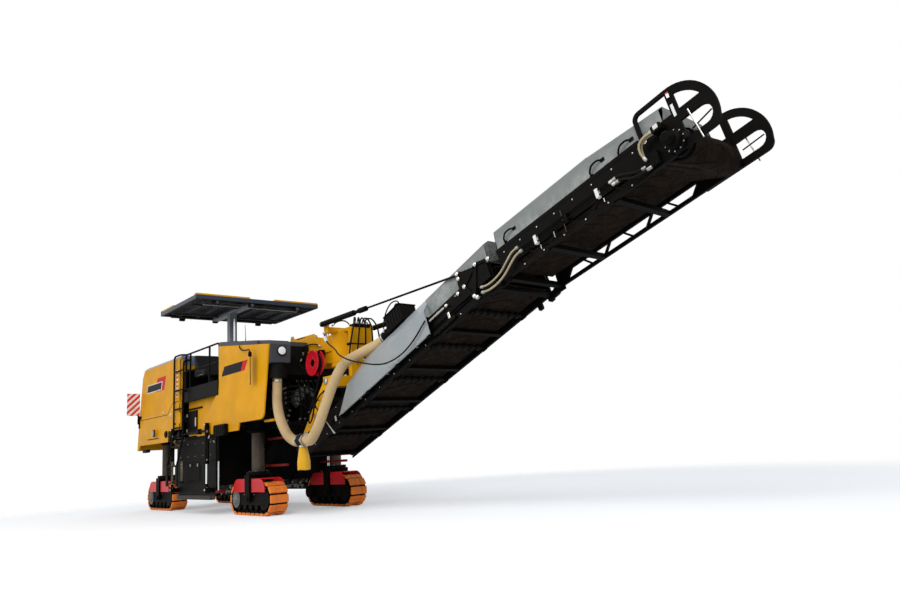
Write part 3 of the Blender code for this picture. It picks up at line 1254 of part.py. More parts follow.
def build_lower(mats):
    place = lower_place()
    add_body("conveyor_lower", (TAIL_X, 0.0, TAIL_Z), "slew_bracket")
    wall_in = FRAME_HALF - FRAME_T
    tail = arc((-TAIL_BACK + TAIL_ROUND, CHORD_H + TAIL_ROUND), TAIL_ROUND, math.pi,
               math.pi * 3 / 2, 5)
    side_line = [(-TAIL_BACK, FRAME_TOP_H)] + tail
    side_line += [(LOWER_FRAME_END, CHORD_H), (LOWER_FRAME_END, FRAME_TOP_H)]
    neck_s = LOWER_FRAME_END - 2 * FOLD_LUG_R
    lug = [(neck_s, CHORD_H - FOLD_LUG_R)]
    lug += arc((FOLD_AT, CHORD_H), FOLD_LUG_R, -math.pi / 2, math.pi / 2, 8)
    lug += [(neck_s, CHORD_H + FOLD_LUG_R)]
    plate = [(EYE_PLATE_AT, EYE_PLATE_LOW_H), (LOWER_FRAME_END, EYE_PLATE_LOW_H),
             (LOWER_FRAME_END, FRAME_TOP_H), (LIFT_EYE_AT + EYE_PLATE_ROUND, LIFT_EYE_H),
             (LIFT_EYE_AT, LIFT_EYE_H + EYE_PLATE_ROUND),
             (LIFT_EYE_AT - EYE_PLATE_ROUND, LIFT_EYE_H)]
    shapes, cuts = [], []
    for side in (-1, 1):
        shapes.append(prism(side_line, "Y", *span(side, wall_in, FRAME_HALF)))
        shapes.append(prism(lug, "Y", *span(side, FRAME_HALF - LAP, FRAME_HALF + FOLD_LUG_T)))
        shapes.append(disc((FOLD_AT, CHORD_H), FOLD_PIN_R, "Y",
                           *span(side, wall_in - LAP, FRAME_HALF + FOLD_LUG_T / 2), 12))
        shapes.append(prism(plate, "Y", *span(side, EYE_PLATE_Y, EYE_PLATE_Y + EYE_PLATE_T)))
        shapes.append(block((EYE_PLATE_AT, LOWER_FRAME_END - LAP),
                            span(side, FRAME_HALF - LAP, EYE_PLATE_Y + LAP),
                            (EYE_PLATE_LOW_H, EYE_PLATE_LOW_H + EYE_PLATE_T)))
        cuts.append(bore((0.0, 0.0), TAIL_PIN_R, "Y",
                         *span(side, wall_in - CUT, FRAME_HALF + CUT), 16))
        for k in range(COVER_ARMS):
            share = k / (COVER_ARMS - 1)
            s = COVER_REAR_AT + (COVER_FRONT_AT - COVER_REAR_AT - COVER_ARM) * share
            shapes.append(block((s, s + COVER_ARM),
                                span(side, FRAME_HALF - LAP, COVER_HALF + COVER_LIP),
                                (COVER_LOW_H - COVER_ARM / 2, COVER_LOW_H - GAP)))
    last = LOWER_FRAME_END - CROSS_BAR - LAP
    spots = [TAIL_BACK_BAR + (last - TAIL_BACK_BAR) * k / (CROSS_BARS - 1) for k in range(CROSS_BARS)]
    shapes += cross_bars(spots, CHORD_H - LAP, BELT_LOW_H - BELT_CLEAR)
    mid, radius = (BELT_TOP_H + BELT_LOW_H) / 2, (BELT_TOP_H - BELT_LOW_H) / 2
    tail_s = -TAIL_BACK + TAIL_ROUND
    shapes.append(disc((tail_s, mid), radius - BELT_T - 2 * RUN, "Y", -wall_in - LAP,
                       wall_in + LAP, 16))
    shapes += belt_stays((tail_s + LOWER_FRAME_END) / 2, LOWER_FRAME_END - tail_s, mid,
                         radius - BELT_T - GAP)
    piece("conveyor_lower_frame", "conveyor_lower", mats["conveyor_black"],
          [placed(shape, place) for shape in shapes], [placed(cut, place) for cut in cuts])

    run = [(LOWER_FRAME_END, BELT_TOP_H)]
    run += arc((tail_s, mid), radius, math.pi / 2, math.pi * 3 / 2, 12)
    run = band(run + [(LOWER_FRAME_END, BELT_LOW_H)], BELT_T)
    piece("conveyor_lower_belt", "conveyor_lower", mats["belt_rubber"],
          [placed(prism(run, "Y", -BELT_HALF, BELT_HALF), place)])

    big = cover_section(COVER_HALF, COVER_RIDGE_HALF, COVER_LOW_H, COVER_WAIST_H, COVER_TOP_H,
                        COVER_LIP)
    small = cover_section(SMALL_HALF, SMALL_RIDGE_HALF, SMALL_LOW_H, SMALL_WAIST_H,
                          SMALL_TOP_H, COVER_SEAT)
    end_y, end_top = COVER_HALF + COVER_T / 2, COVER_TOP_H + COVER_T / 2
    bulkhead = [(-end_y, FRAME_TOP_H + GAP), (end_y, FRAME_TOP_H + GAP), (end_y, COVER_WAIST_H),
                (COVER_RIDGE_HALF, end_top), (-COVER_RIDGE_HALF, end_top),
                (-end_y, COVER_WAIST_H)]
    shapes = [prism(big, "X", COVER_REAR_AT, COVER_FRONT_AT),
              prism(small, "X", COVER_FRONT_AT - LAP, LOWER_FRAME_END),
              prism(bulkhead, "X", COVER_FRONT_AT - 2 * COVER_T, COVER_FRONT_AT - COVER_T / 2)]
    slant = [(COVER_REAR_AT - CUT, COVER_LOW_H + COVER_SEAT), (COVER_REAR_AT, COVER_LOW_H + COVER_SEAT),
             (COVER_REAR_TOP_AT, COVER_TOP_H + CUT), (COVER_REAR_AT - CUT, COVER_TOP_H + CUT)]
    cuts = [prism(slant, "Y", -COVER_HALF - CUT, COVER_HALF + CUT),
            block((COVER_FRONT_AT - CUT, COVER_FRONT_AT + CUT),
                  (-SMALL_RIDGE_HALF, SMALL_RIDGE_HALF),
                  (FRAME_TOP_H - CUT, SMALL_TOP_H - COVER_SEAT))]
    piece("conveyor_lower_cover", "conveyor_lower", mats["cover_grey"],
          [placed(shape, place) for shape in shapes], [placed(cut, place) for cut in cuts])

    fan_low = COVER_TOP_H + COVER_T + GAP
    fan = [block((FAN_AT, FAN_AT + FAN_L), (FAN_Y - FAN_HALF, FAN_Y + FAN_HALF),
                 (fan_low, fan_low + FAN_H)),
           disc((FAN_Y, fan_low + FAN_INLET_R), FAN_INLET_R, "X", FAN_INLET_AT, FAN_AT + LAP,
                FAN_SIDES)]
    piece("suction_fan", "conveyor_lower", mats["chassis_black"],
          [placed(shape, place) for shape in fan])


def cross_bars(spots, low, high):
    """Square bars across the frame, under the return run."""
    across = FRAME_HALF - FRAME_T + LAP
    return [block((s, s + CROSS_BAR), (-across, across), (low, high)) for s in spots]


def belt_stays(mid_s, length, mid, half):
    """Two boxes of rollers between the runs, a sixth of the length each side of the middle."""
    across = FRAME_HALF - FRAME_T + LAP
    return [block((mid_s + sign * length / 6 - half, mid_s + sign * length / 6 + half),
                  (-across, across), (mid - half, mid + half)) for sign in (-1, 1)]


def guard_plate():
    """Outline of a head guard, along the upper section and over its chord."""
    low_turn = math.asin((GUARD_CORNER - GUARD_H) / GUARD_R)
    corner_s = GUARD_AT + GUARD_R * math.cos(low_turn) - GUARD_CORNER
    top = GUARD_H + GUARD_R
    line = [(HANDLE_AT, 0.0), (corner_s, 0.0)]
    line += arc((corner_s, GUARD_CORNER), GUARD_CORNER, -math.pi / 2, 0.0, 5)[1:-1]
    line += arc((GUARD_AT, GUARD_H), GUARD_R, low_turn, math.pi / 2, 16)
    line += arc((HANDLE_AT + HANDLE_CORNER, top - HANDLE_CORNER), HANDLE_CORNER,
                math.pi / 2, math.pi, 5)
    return line


def guard_windows():
    """Handle's window, the window over the spoke and the slot under it."""
    inner_r = GUARD_R - GUARD_RIM
    post_end = GUARD_POST_AT + GUARD_RIM
    round_r = HANDLE_CORNER - HANDLE_T
    top = GUARD_H + GUARD_R - HANDLE_T
    handle = [(HANDLE_AT + HANDLE_T, GUARD_SPOKE_TOP), (GUARD_POST_AT, GUARD_SPOKE_TOP),
              (GUARD_POST_AT, top)]
    handle += arc((HANDLE_AT + HANDLE_CORNER, top - round_r), round_r, math.pi / 2, math.pi, 4)
    first = math.asin((GUARD_SPOKE_TOP - GUARD_H) / inner_r)
    last = math.acos((post_end - GUARD_AT) / inner_r)
    upper = [(post_end, GUARD_SPOKE_TOP)] + arc((GUARD_AT, GUARD_H), inner_r, first, last, 7)
    half = (GUARD_SPOKE_LOW - GUARD_SILL) / 2
    nose = (GUARD_SLOT_AT + GUARD_SLOT_L - half, GUARD_SILL + half)
    slot = [(GUARD_SLOT_AT, GUARD_SPOKE_LOW), (GUARD_SLOT_AT, GUARD_SILL)]
    slot += arc(nose, half, -math.pi / 2, math.pi / 2, 8)
    return [handle, upper, slot]


def truss_windows():
    """Open bays over the lower chord; the struts between them lean in turn."""
    lean = (TRUSS_TOP_H - TRUSS_CHORD) / 2
    windows = []
    for k in range(TRUSS_BAYS):
        start = TRUSS_START + TRUSS_BAY * k + TRUSS_STRUT / 2
        end = start + TRUSS_BAY - TRUSS_STRUT
        tilt = lean if k % 2 else -lean
        windows.append([(start + tilt, TRUSS_CHORD), (end - tilt, TRUSS_CHORD),
                        (end + tilt, TRUSS_TOP_H), (start - tilt, TRUSS_TOP_H)])
    return windows


def build_upper(mats):
    place = upper_place()
    add_body("conveyor_upper", place @ Vector((0.0, 0.0, 0.0)), "conveyor_lower")
    wall_in = FRAME_HALF - FRAME_T
    top, belt_top = FRAME_TOP_H - CHORD_H, BELT_TOP_H - CHORD_H
    snub_s = HEAD_AT - SNUB_BACK
    line = [(UPPER_START, 0.0), (UPPER_FRAME_END, 0.0), (UPPER_FRAME_END, top), (UPPER_START, top)]
    lug = arc((0.0, 0.0), FOLD_LUG_R, math.pi / 2, math.pi * 3 / 2, 8)
    lug += [(UPPER_START + 2 * FOLD_LUG_R, -FOLD_LUG_R),
            (UPPER_START + 2 * FOLD_LUG_R, FOLD_LUG_R)]
    shapes, cuts = [], []
    for side in (-1, 1):
        shapes.append(prism(line, "Y", *span(side, wall_in, FRAME_HALF)))
        shapes.append(prism(lug, "Y", *span(side, wall_in + RUN, FRAME_HALF - LAP - RUN)))
        shapes.append(prism(guard_plate(), "Y", *span(side, FRAME_HALF - LAP, GUARD_HALF)))
        cuts.append(bore((0.0, 0.0), FOLD_PIN_R, "Y",
                         *span(side, wall_in - CUT, FRAME_HALF + CUT), 12))
        for window in guard_windows() + truss_windows():
            cuts.append(prism(window, "Y", *span(side, wall_in - CUT, GUARD_HALF + CUT)))
    shapes += cross_bars(UPPER_BARS, -LAP, UPPER_BAR_H)
    mid, radius = (belt_top + RETURN_H) / 2, (belt_top - RETURN_H) / 2
    shapes.append(disc((HEAD_AT, HEAD_RISE), HEAD_DRUM_R - BELT_T - 2 * RUN, "Y",
                       -wall_in - LAP, wall_in + LAP, 16))
    shapes += belt_stays((UPPER_START + snub_s) / 2, snub_s - UPPER_START, mid,
                         radius - BELT_T - GAP)
    piece("conveyor_upper_frame", "conveyor_upper", mats["conveyor_black"],
          [placed(shape, place) for shape in shapes], [placed(cut, place) for cut in cuts])

    head = (HEAD_AT, HEAD_RISE)
    low_turn = touching_angle((snub_s, RETURN_H), head, HEAD_DRUM_R, 1) - math.tau
    top_turn = touching_angle((snub_s, belt_top), head, HEAD_DRUM_R, -1)
    run = [(UPPER_START, RETURN_H), (snub_s, RETURN_H)]
    run += arc(head, HEAD_DRUM_R, low_turn, top_turn, 14)
    run = band(run + [(snub_s, belt_top), (UPPER_START, belt_top)], BELT_T)
    piece("conveyor_upper_belt", "conveyor_upper", mats["belt_rubber"],
          [placed(prism(run, "Y", -BELT_HALF, BELT_HALF), place)])

    rings = []
    for s, fall in ((UPPER_START, 0.0), (UPPER_COVER_FALL_AT, 0.0),
                    (UPPER_COVER_END, UPPER_COVER_FALL)):
        section = cover_section(SMALL_HALF, UPPER_RIDGE_HALF, SMALL_LOW_H - CHORD_H,
                                UPPER_WAIST_H - fall, UPPER_TOP_H - fall, COVER_SEAT)
        rings.append([(s, u, v) for u, v in section])
    piece("conveyor_upper_cover", "conveyor_upper", mats["cover_grey"],
          [placed(loft(rings), place)])


def build_lift(mats):
    """Rams from the slewing bracket, with tie rods to the lower section."""
    eye = lower_place() @ Vector((LIFT_EYE_AT, 0.0, LIFT_EYE_H))
    for side, word in ((-1, "right"), (1, "left")):
        y = side * LIFT_Y
        base = Vector((RAM_BEAM_X, y, LIFT_BASE_Z))
        end = Vector((eye.x, y, eye.z))
        along = (end - base).normalized()
        add_body("lift_barrel_" + word, base, "slew_bracket")
        add_body("lift_rod_" + word, base, "lift_barrel_" + word)
        barrel_end = base + along * LIFT_BARREL_L
        shapes = [bar(base, barrel_end, LIFT_BARREL_R, 16),
                  disc((base.x, base.z), LIFT_BARREL_R, "Y", y - LIFT_EAR_T, y + LIFT_EAR_T, 16)]
        rod_bore = bar(barrel_end - along * (LIFT_ROD_IN + LIFT_RETRACT),
                       barrel_end + along * CUT, LIFT_ROD_R + GAP)
        pin_hole = bore((base.x, base.z), LIFT_PIN_R, "Y", y - LIFT_BARREL_R - CUT,
                        y + LIFT_BARREL_R + CUT, 12)
        piece("lift_barrel_" + word, "lift_barrel_" + word, mats["conveyor_black"], shapes,
              [rod_bore, pin_hole])
        rod_in = barrel_end - along * LIFT_ROD_IN
        fork = barrel_end + along * LIFT_SHOWS
        fork_end = fork + along * LIFT_FORK_L
        shapes = [bar(rod_in, fork + along * LAP, LIFT_ROD_R, 12),
                  bar(fork, fork_end, LIFT_FORK_R, 12),
                  bar(fork_end - along * LAP, end, LIFT_TIE_R, 8),
                  disc((end.x, end.z), LIFT_EYE_R, "Y", y - LIFT_TIE_R, y + LIFT_TIE_R, 12)]
        piece("lift_rod_" + word, "lift_rod_" + word, mats["bright_steel"], shapes)


def build_dust_hose(mats):
    """Two legs that hang and meet in a coupling with a filter sock under it."""
    centre = (COUPLING_Y, COUPLING_Z)
    rear_x, front_x = COUPLING_X - COUPLING_L / 2, COUPLING_X + COUPLING_L / 2
    shapes = [disc(centre, COUPLING_R, "X", rear_x, front_x, 20),
              disc((COUPLING_X, COUPLING_Y), SOCK_R, "Z", COUPLING_Z - COUPLING_R - SOCK_H,
                   COUPLING_Z, 12)]
    piece("hose_coupling", "slew_bracket", mats["yellow"], shapes)

    # Routes by hand: x, y and z of each place, from the flange to the coupling and on
    rear_route = [(DUCT_X, DUCT_IN - PANEL_HALF, DUCT_LOW_Z - GAP),
                  (DUCT_X, DUCT_IN - PANEL_HALF, 2.10),
                  (1.26, -0.99, 1.85), (1.38, -1.00, 1.58), (1.56, -0.97, 1.32),
                  (rear_x - HOSE_STEP, COUPLING_Y, COUPLING_Z),
                  (rear_x - GAP, COUPLING_Y, COUPLING_Z)]
    along = lower_place().to_3x3() @ Vector((1.0, 0.0, 0.0))
    inlet = (FAN_INLET_AT - GAP, FAN_Y, COVER_TOP_H + COVER_T + GAP + FAN_INLET_R)
    tip = lower_place() @ Vector(inlet)
    front_route = [(front_x + GAP, COUPLING_Y, COUPLING_Z),
                   (front_x + HOSE_STEP, COUPLING_Y, COUPLING_Z), (2.52, -0.92, 1.42),
                   (2.68, -0.88, 1.72), (2.78, -0.80, 2.02), (2.86, -0.66, 2.30),
                   (2.98, -0.44, 2.46), tip - along * HOSE_STEP, tip]
    piece("dust_hose_rear", "root", mats["hose_tan"],
          [tube(smooth_route(rear_route, HOSE_STEP), HOSE_R)])
    piece("dust_hose_front", "conveyor_lower", mats["hose_tan"],
          [tube(smooth_route(front_route, HOSE_STEP), HOSE_R)])


def place_origin():
    """Move the machine so that its box's bottom centre is at zero."""
    bpy.context.view_layer.update()
    corners = [obj.matrix_world @ Vector(corner) for obj in bpy.data.objects
               if obj.type == "MESH" for corner in obj.bound_box]
    low = [min(corner[i] for corner in corners) for i in range(3)]
    high = [max(corner[i] for corner in corners) for i in range(3)]
    BODIES["root"][0].location = (-(low[0] + high[0]) / 2, -(low[1] + high[1]) / 2, -low[2])
    bpy.context.view_layer.update()


def build():
    clear_scene()
    # finish, colour, roughness, metallic
    table = (("yellow", (0.71, 0.35, 0.015), 0.35, 0.0),
             ("pads", (0.80, 0.16, 0.02), 0.60, 0.0),
             ("guard_red", (0.55, 0.01, 0.015), 0.40, 0.0),
             ("reel_red", (0.45, 0.01, 0.02), 0.40, 0.0),
             ("track_black", (0.010, 0.009, 0.008), 0.55, 0.3),
             ("chassis_black", (0.012, 0.011, 0.010), 0.50, 0.3),
             ("conveyor_black", (0.008, 0.007, 0.007), 0.50, 0.3),
             ("tank_black", (0.012, 0.012, 0.012), 0.55, 0.0),
             ("worn_steel", (0.12, 0.10, 0.08), 0.55, 0.9),
             ("bright_steel", (0.55, 0.55, 0.55), 0.25, 1.0),
             ("mast_grey", (0.30, 0.30, 0.30), 0.45, 0.0),
             ("console_grey", (0.06, 0.062, 0.065), 0.50, 0.0),
             ("cover_grey", (0.40, 0.44, 0.46), 0.40, 0.0),
             ("canopy_dark", (0.02, 0.02, 0.022), 0.50, 0.0),
             ("engine_grey", (0.05, 0.05, 0.05), 0.60, 0.2),
             ("seat_black", (0.010, 0.010, 0.010), 0.80, 0.0),
             ("belt_rubber", (0.02, 0.015, 0.012), 0.85, 0.0),
             ("hose_tan", (0.55, 0.40, 0.22), 0.70, 0.0),
             ("warning_white", (0.85, 0.85, 0.85), 0.50, 0.0))
    mats = {name: finish(name, rgb, rough, metal) for name, rgb, rough, metal in table}
    add_body("root", (0.0, 0.0, 0.0))
    build_tracks(mats)
    build_chassis(mats)
    build_housing(mats)
    build_drum(mats)
    build_side_plates(mats)
    build_rear(mats)
    build_centre(mats)
    build_platform(mats)
    build_ladder(mats)
    build_canopy(mats)
    build_loading_conveyor(mats)
    build_tower(mats)
    build_slew(mats)
    build_lower(mats)
    build_upper(mats)
    build_lift(mats)
    build_dust_hose(mats)
    place_origin()


build()
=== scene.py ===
# %% [markdown]
# # A cold planer, dressed on its imported frame
# The imported model is a fixed frame: its bodies, joints and sizes come from the CAD. This notebook gives
# each piece the look of the real machine: bent sheet steel with soft edges, chains with bolted pads,
# picks in their holders, a ribbed dust hose, rubber belts. Every piece rides on a body of the frame, except
# the dust hose's legs, the washing hose, the cable and the hoses across the fold, which stay where they are
# made.

# %% The frame
import json
import math
from itertools import product

import bmesh
import bpy
from mathutils import Matrix, Vector

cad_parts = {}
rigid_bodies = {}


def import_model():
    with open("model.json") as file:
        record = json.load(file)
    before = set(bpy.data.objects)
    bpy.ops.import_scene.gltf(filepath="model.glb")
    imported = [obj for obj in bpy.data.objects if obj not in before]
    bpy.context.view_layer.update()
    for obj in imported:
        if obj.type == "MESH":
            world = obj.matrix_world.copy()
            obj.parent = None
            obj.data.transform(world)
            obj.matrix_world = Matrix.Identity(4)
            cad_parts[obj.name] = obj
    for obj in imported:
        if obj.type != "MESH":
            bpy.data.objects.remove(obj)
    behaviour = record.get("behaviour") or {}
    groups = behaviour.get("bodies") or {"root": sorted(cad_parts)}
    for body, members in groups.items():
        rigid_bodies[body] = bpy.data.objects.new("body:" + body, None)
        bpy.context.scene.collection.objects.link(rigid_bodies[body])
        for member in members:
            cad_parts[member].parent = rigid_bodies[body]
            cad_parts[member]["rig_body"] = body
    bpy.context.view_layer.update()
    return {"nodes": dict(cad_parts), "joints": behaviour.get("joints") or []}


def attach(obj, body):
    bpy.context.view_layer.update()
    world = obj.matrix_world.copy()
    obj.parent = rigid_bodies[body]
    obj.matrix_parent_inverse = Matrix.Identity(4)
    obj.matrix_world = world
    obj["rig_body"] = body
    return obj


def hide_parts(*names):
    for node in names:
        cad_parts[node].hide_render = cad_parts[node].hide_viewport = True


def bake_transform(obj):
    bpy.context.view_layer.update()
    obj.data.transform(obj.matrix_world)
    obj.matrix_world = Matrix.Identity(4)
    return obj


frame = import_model()
MACHINE_X = next(j for j in frame["joints"] if j["name"] == "steer_fr")["pos_m"][0]

# %% [markdown]
# ## Places
# The CAD was drawn in a machine frame with its zero on the ground under the front columns. All sizes here
# are in that frame, in metres, and one matrix moves them to the shared frame. The conveyor's two sections
# have frames of their own: s along the belt, y across, h up from the belt line. FORE, RIGHT and UP are the
# directions that most fittings face.

# %% Frames of the machine and of the conveyor's sections
MACHINE = Matrix.Translation((MACHINE_X, 0.0, 0.0))
LOWER_PITCH, UPPER_PITCH = math.radians(20.7), math.radians(15.4)
LOWER = MACHINE @ Matrix.Translation((1.45, 0.0, 1.3)) @ Matrix.Rotation(-LOWER_PITCH, 4, "Y")
UPPER = Matrix.Translation(LOWER @ Vector((5.12, 0.0, -0.275))) @ Matrix.Rotation(-UPPER_PITCH, 4, "Y")
FLAT = Matrix.Identity(4)
FORE, RIGHT, UP = Vector((1, 0, 0)), Vector((0, -1, 0)), Vector((0, 0, 1))


def placed(name, data):
    """A new object in the scene, at the origin."""
    obj = bpy.data.objects.new(name, data)
    bpy.context.scene.collection.objects.link(obj)
    return obj


print("pitch of the conveyor", round(math.degrees(LOWER_PITCH), 1), round(math.degrees(UPPER_PITCH), 1))

# %% [markdown]
# ## The camera
# It was solved from the photograph: a low tripod ahead of the machine and to its right, a little tilted.

# %% Camera
camera = placed("camera", bpy.data.cameras.new("camera"))
bpy.context.scene.camera = camera
EYE = (12.65, -6.38, 0.916)
YAW, TILT, ROLL = (math.radians(a) for a in (43.248, 10.003, -3.895))
look = Vector((-math.cos(YAW) * math.cos(TILT), math.sin(YAW) * math.cos(TILT), math.sin(TILT)))
right = Vector((look.y, -look.x, 0.0)).normalized()
up = right.cross(look)
turned_right = right * math.cos(ROLL) + up * math.sin(ROLL)
turned_up = -right * math.sin(ROLL) + up * math.cos(ROLL)
axes = Matrix((turned_right, turned_up, -look)).transposed().to_4x4()
camera.matrix_world = MACHINE @ Matrix.Translation(EYE) @ axes
camera.data.lens, camera.data.sensor_width = 28.933, 36.0
camera.data.shift_x, camera.data.shift_y = -0.0626, 0.0187
camera.data.clip_end = 200.0
print("camera at", EYE)

# %% [markdown]
# ## Shader and node helpers
# One function adds any node. Colours are written as sRGB hex codes and turned to the linear values that
# shaders take.

# %% Helpers for node trees
def linear(code):
    """An sRGB hex code as the linear colour that shaders take."""
    out = []
    for i in (0, 2, 4):
        c = int(code[i:i + 2], 16) / 255
        out.append(c / 12.92 if c <= 0.04045 else ((c + 0.055) / 1.055) ** 2.4)
    return (*out, 1.0)


def add(tree, kind, inputs=None, **settings):
    """Adds a node; an input is a value or another node's socket."""
    node = tree.nodes.new(kind)
    for key, value in settings.items():
        setattr(node, key, value)
    for key, value in (inputs or {}).items():
        if isinstance(value, bpy.types.NodeSocket):
            tree.links.new(value, node.inputs[key])
        else:
            node.inputs[key].default_value = value
    return node


def blank_material(name):
    material = bpy.data.materials.new(name)
    material.use_nodes = True
    material.node_tree.nodes.clear()
    return material, material.node_tree


def mixed(tree, factor, a, b):
    """A colour between a and b."""
    return add(tree, "ShaderNodeMix", {0: factor, 6: a, 7: b}, data_type="RGBA").outputs[2]


def blended(tree, factor, a, b):
    """A number between a and b."""
    return add(tree, "ShaderNodeMix", {0: factor, 2: a, 3: b}, data_type="FLOAT").outputs[0]


def ramped(tree, value, low, high):
    """0 at low, 1 at high, and smooth between."""
    return add(tree, "ShaderNodeMapRange", {"Value": value, "From Min": low, "From Max": high},
        interpolation_type="SMOOTHSTEP").outputs["Result"]


def maths(tree, operation, *values, clamp=False):
    """A number made from one to three others."""
    return add(tree, "ShaderNodeMath", dict(enumerate(values)), operation=operation,
        use_clamp=clamp).outputs[0]


def times(tree, a, b):
    return maths(tree, "MULTIPLY", a, b)


def noise(tree, place, scale, detail, roughness=0.5):
    return add(tree, "ShaderNodeTexNoise", {"Vector": place, "Scale": scale, "Detail": detail,
        "Roughness": roughness}).outputs["Fac"]


def along(tree, place, way):
    """How far a place lies along a direction, in metres."""
    return add(tree, "ShaderNodeVectorMath", {0: place, 1: way}, operation="DOT_PRODUCT").outputs["Value"]


# %% [markdown]
# ## Finishes
# A work machine is sprayed, then it gathers dust. Each coat has slow changes of tone, a fine grain that
# scatters the highlight, streaks that run down with the rain, dust that is thicker near the ground, and
# bare metal where bent edges get knocked. The edges come from the mesh: softened edges carry the number
# worn. All patterns read Object coordinates in metres, so they stay on a piece when it moves.
# On the conveyor's grey covers the dust layer is laid across the face in a pale tint, as a painted shade
# gradient: dark at the top of the face, pale towards its foot.

# %% Coats
def coat(name, colour, rough, metal=0.0, vary=0.1, grain_mm=2.0, grain=0.1, dust_and_shade_tint="857A66", dusty=0.35,
        dust_and_shade_z=(2.6, 0.2), gloss=0.0, bare="6E6A62", wear=0.5, specular=0.16, sheen=0.0, dust_and_shade_way=UP):
    """A coat of paint, plastic or oxide with its tone changes, grain, dust and wear. Where a coat lays its
    dust layer across a face in a pale tint, that layer is a painted shade gradient.
    """
    material, tree = blank_material(name)
    place = add(tree, "ShaderNodeTexCoord").outputs["Object"]
    slow = noise(tree, place, 1.7, 5.0, 0.6)
    stretch = add(tree, "ShaderNodeMapping", {"Vector": place, "Scale": (9.0, 9.0, 0.7)})
    streak = noise(tree, stretch.outputs[0], 1.6, 4.0)
    base = linear(colour)
    dark = tuple(c * (1 - 1.6 * vary) for c in base[:3]) + (1.0,)
    light = tuple(min(1.0, c * (1 + 1.2 * vary)) for c in base[:3]) + (1.0,)
    tone = mixed(tree, ramped(tree, slow, 0.32, 0.68), dark, light)
    tone = mixed(tree, times(tree, ramped(tree, streak, 0.52, 0.75), 1.4 * vary), tone, dark)
    # The dust layer grows thicker towards one end of a direction; on the conveyor's covers it is painted
    # shade instead.
    low = ramped(tree, along(tree, place, dust_and_shade_way), *dust_and_shade_z)
    patch = noise(tree, place, 5.5, 8.0, 0.72)
    film = maths(tree, "MULTIPLY_ADD", times(tree, low, 0.8), ramped(tree, patch, 0.35, 0.8), 0.03,
        clamp=True)
    dust_and_shade_mask = times(tree, film, dusty)
    tone = mixed(tree, dust_and_shade_mask, tone, linear(dust_and_shade_tint))
    roughness = blended(tree, dust_and_shade_mask, rough, 0.92)
    worn = add(tree, "ShaderNodeAttribute", attribute_name="worn").outputs["Fac"]
    chip = noise(tree, place, 38.0, 6.0, 0.7)
    rubbed = times(tree, times(tree, worn, ramped(tree, chip, 0.54, 0.62)), wear)
    tone = mixed(tree, rubbed, tone, linear(bare))
    fine = noise(tree, place, 1000.0 / grain_mm, 2.0)
    bump = add(tree, "ShaderNodeBump", {"Height": fine, "Strength": grain,
        "Distance": grain_mm / 1000.0}).outputs[0]
    shader = add(tree, "ShaderNodeBsdfPrincipled", {"Base Color": tone, "Roughness": roughness,
        "Metallic": metal, "Normal": bump, "Coat Weight": gloss, "Coat Roughness": 0.12,
        "Specular IOR Level": specular, "Sheen Weight": sheen})
    add(tree, "ShaderNodeOutputMaterial", {"Surface": shader.outputs[0]})
    return material


# %% The coats of this machine
YELLOW = coat("yellow_spray_paint", "DC9A0A", 0.38, vary=0.06, dusty=0.12, wear=0.3, dust_and_shade_tint="C79A4A",
    dust_and_shade_z=(2.4, 1.2), grain=0.05, specular=0.05)
# Painted reflection: the hood roof's blue-grey stands for the sky reflected in its upward faces; the roof
# screen and the band on the hood's front wall take the same colour.
ROOF_SKY_REFLECTION = coat("hood_roof_painted_sky_reflection", "6F7C92", 0.3, vary=0.05, dusty=0.15, gloss=0.08, wear=0.2)
CONSOLE = coat("console_textured_plastic", "46474B", 0.52, vary=0.06, dusty=0.18, grain_mm=1.5, grain=0.25,
    wear=0.1, specular=0.1)
BLACK = coat("black_frame_paint", "0A0807", 0.52, vary=0.25, dusty=0.13, dust_and_shade_tint="3A342B", wear=0.35,
    specular=0.04, bare="4A463E")
TRACK = coat("track_frame_black_dusty", "0A0908", 0.6, vary=0.3, dusty=0.24, dust_and_shade_tint="453E33",
    dust_and_shade_z=(0.7, 0.0), specular=0.05, bare="4A463E")
COLUMN = coat("column_steel_dusty", "463F36", 0.46, metal=0.5, vary=0.3, dusty=0.75, dust_and_shade_tint="5C5242",
    dust_and_shade_z=(1.8, 0.6), grain_mm=3.0, grain=0.2)
DISC = coat("final_drive_grey", "70716F", 0.45, metal=0.25, vary=0.12, dusty=0.45, dust_and_shade_tint="8A8478",
    dust_and_shade_z=(0.9, 0.0))
GUARD = coat("guard_red_paint", "D01620", 0.36, vary=0.08, dusty=0.08, gloss=0.06, wear=0.6, bare="8C4A42")
REEL = coat("reel_red_paint", "D01A28", 0.34, vary=0.06, dusty=0.05, gloss=0.08, wear=0.3)
PAD = coat("orange_polyurethane_pad", "F88634", 0.55, vary=0.1, dusty=0.2, dust_and_shade_tint="8A5A38",
    dust_and_shade_z=(0.5, -0.3), grain_mm=3.0, grain=0.25, wear=0.4, bare="A9603A")
COVER = coat("cover_grey_sheet_paint", "949A9C", 0.36, vary=0.05, dusty=0.42, dust_and_shade_tint="A58F70",
    dust_and_shade_z=(3.1, 1.9), gloss=0.08, wear=0.25, grain=0.04)
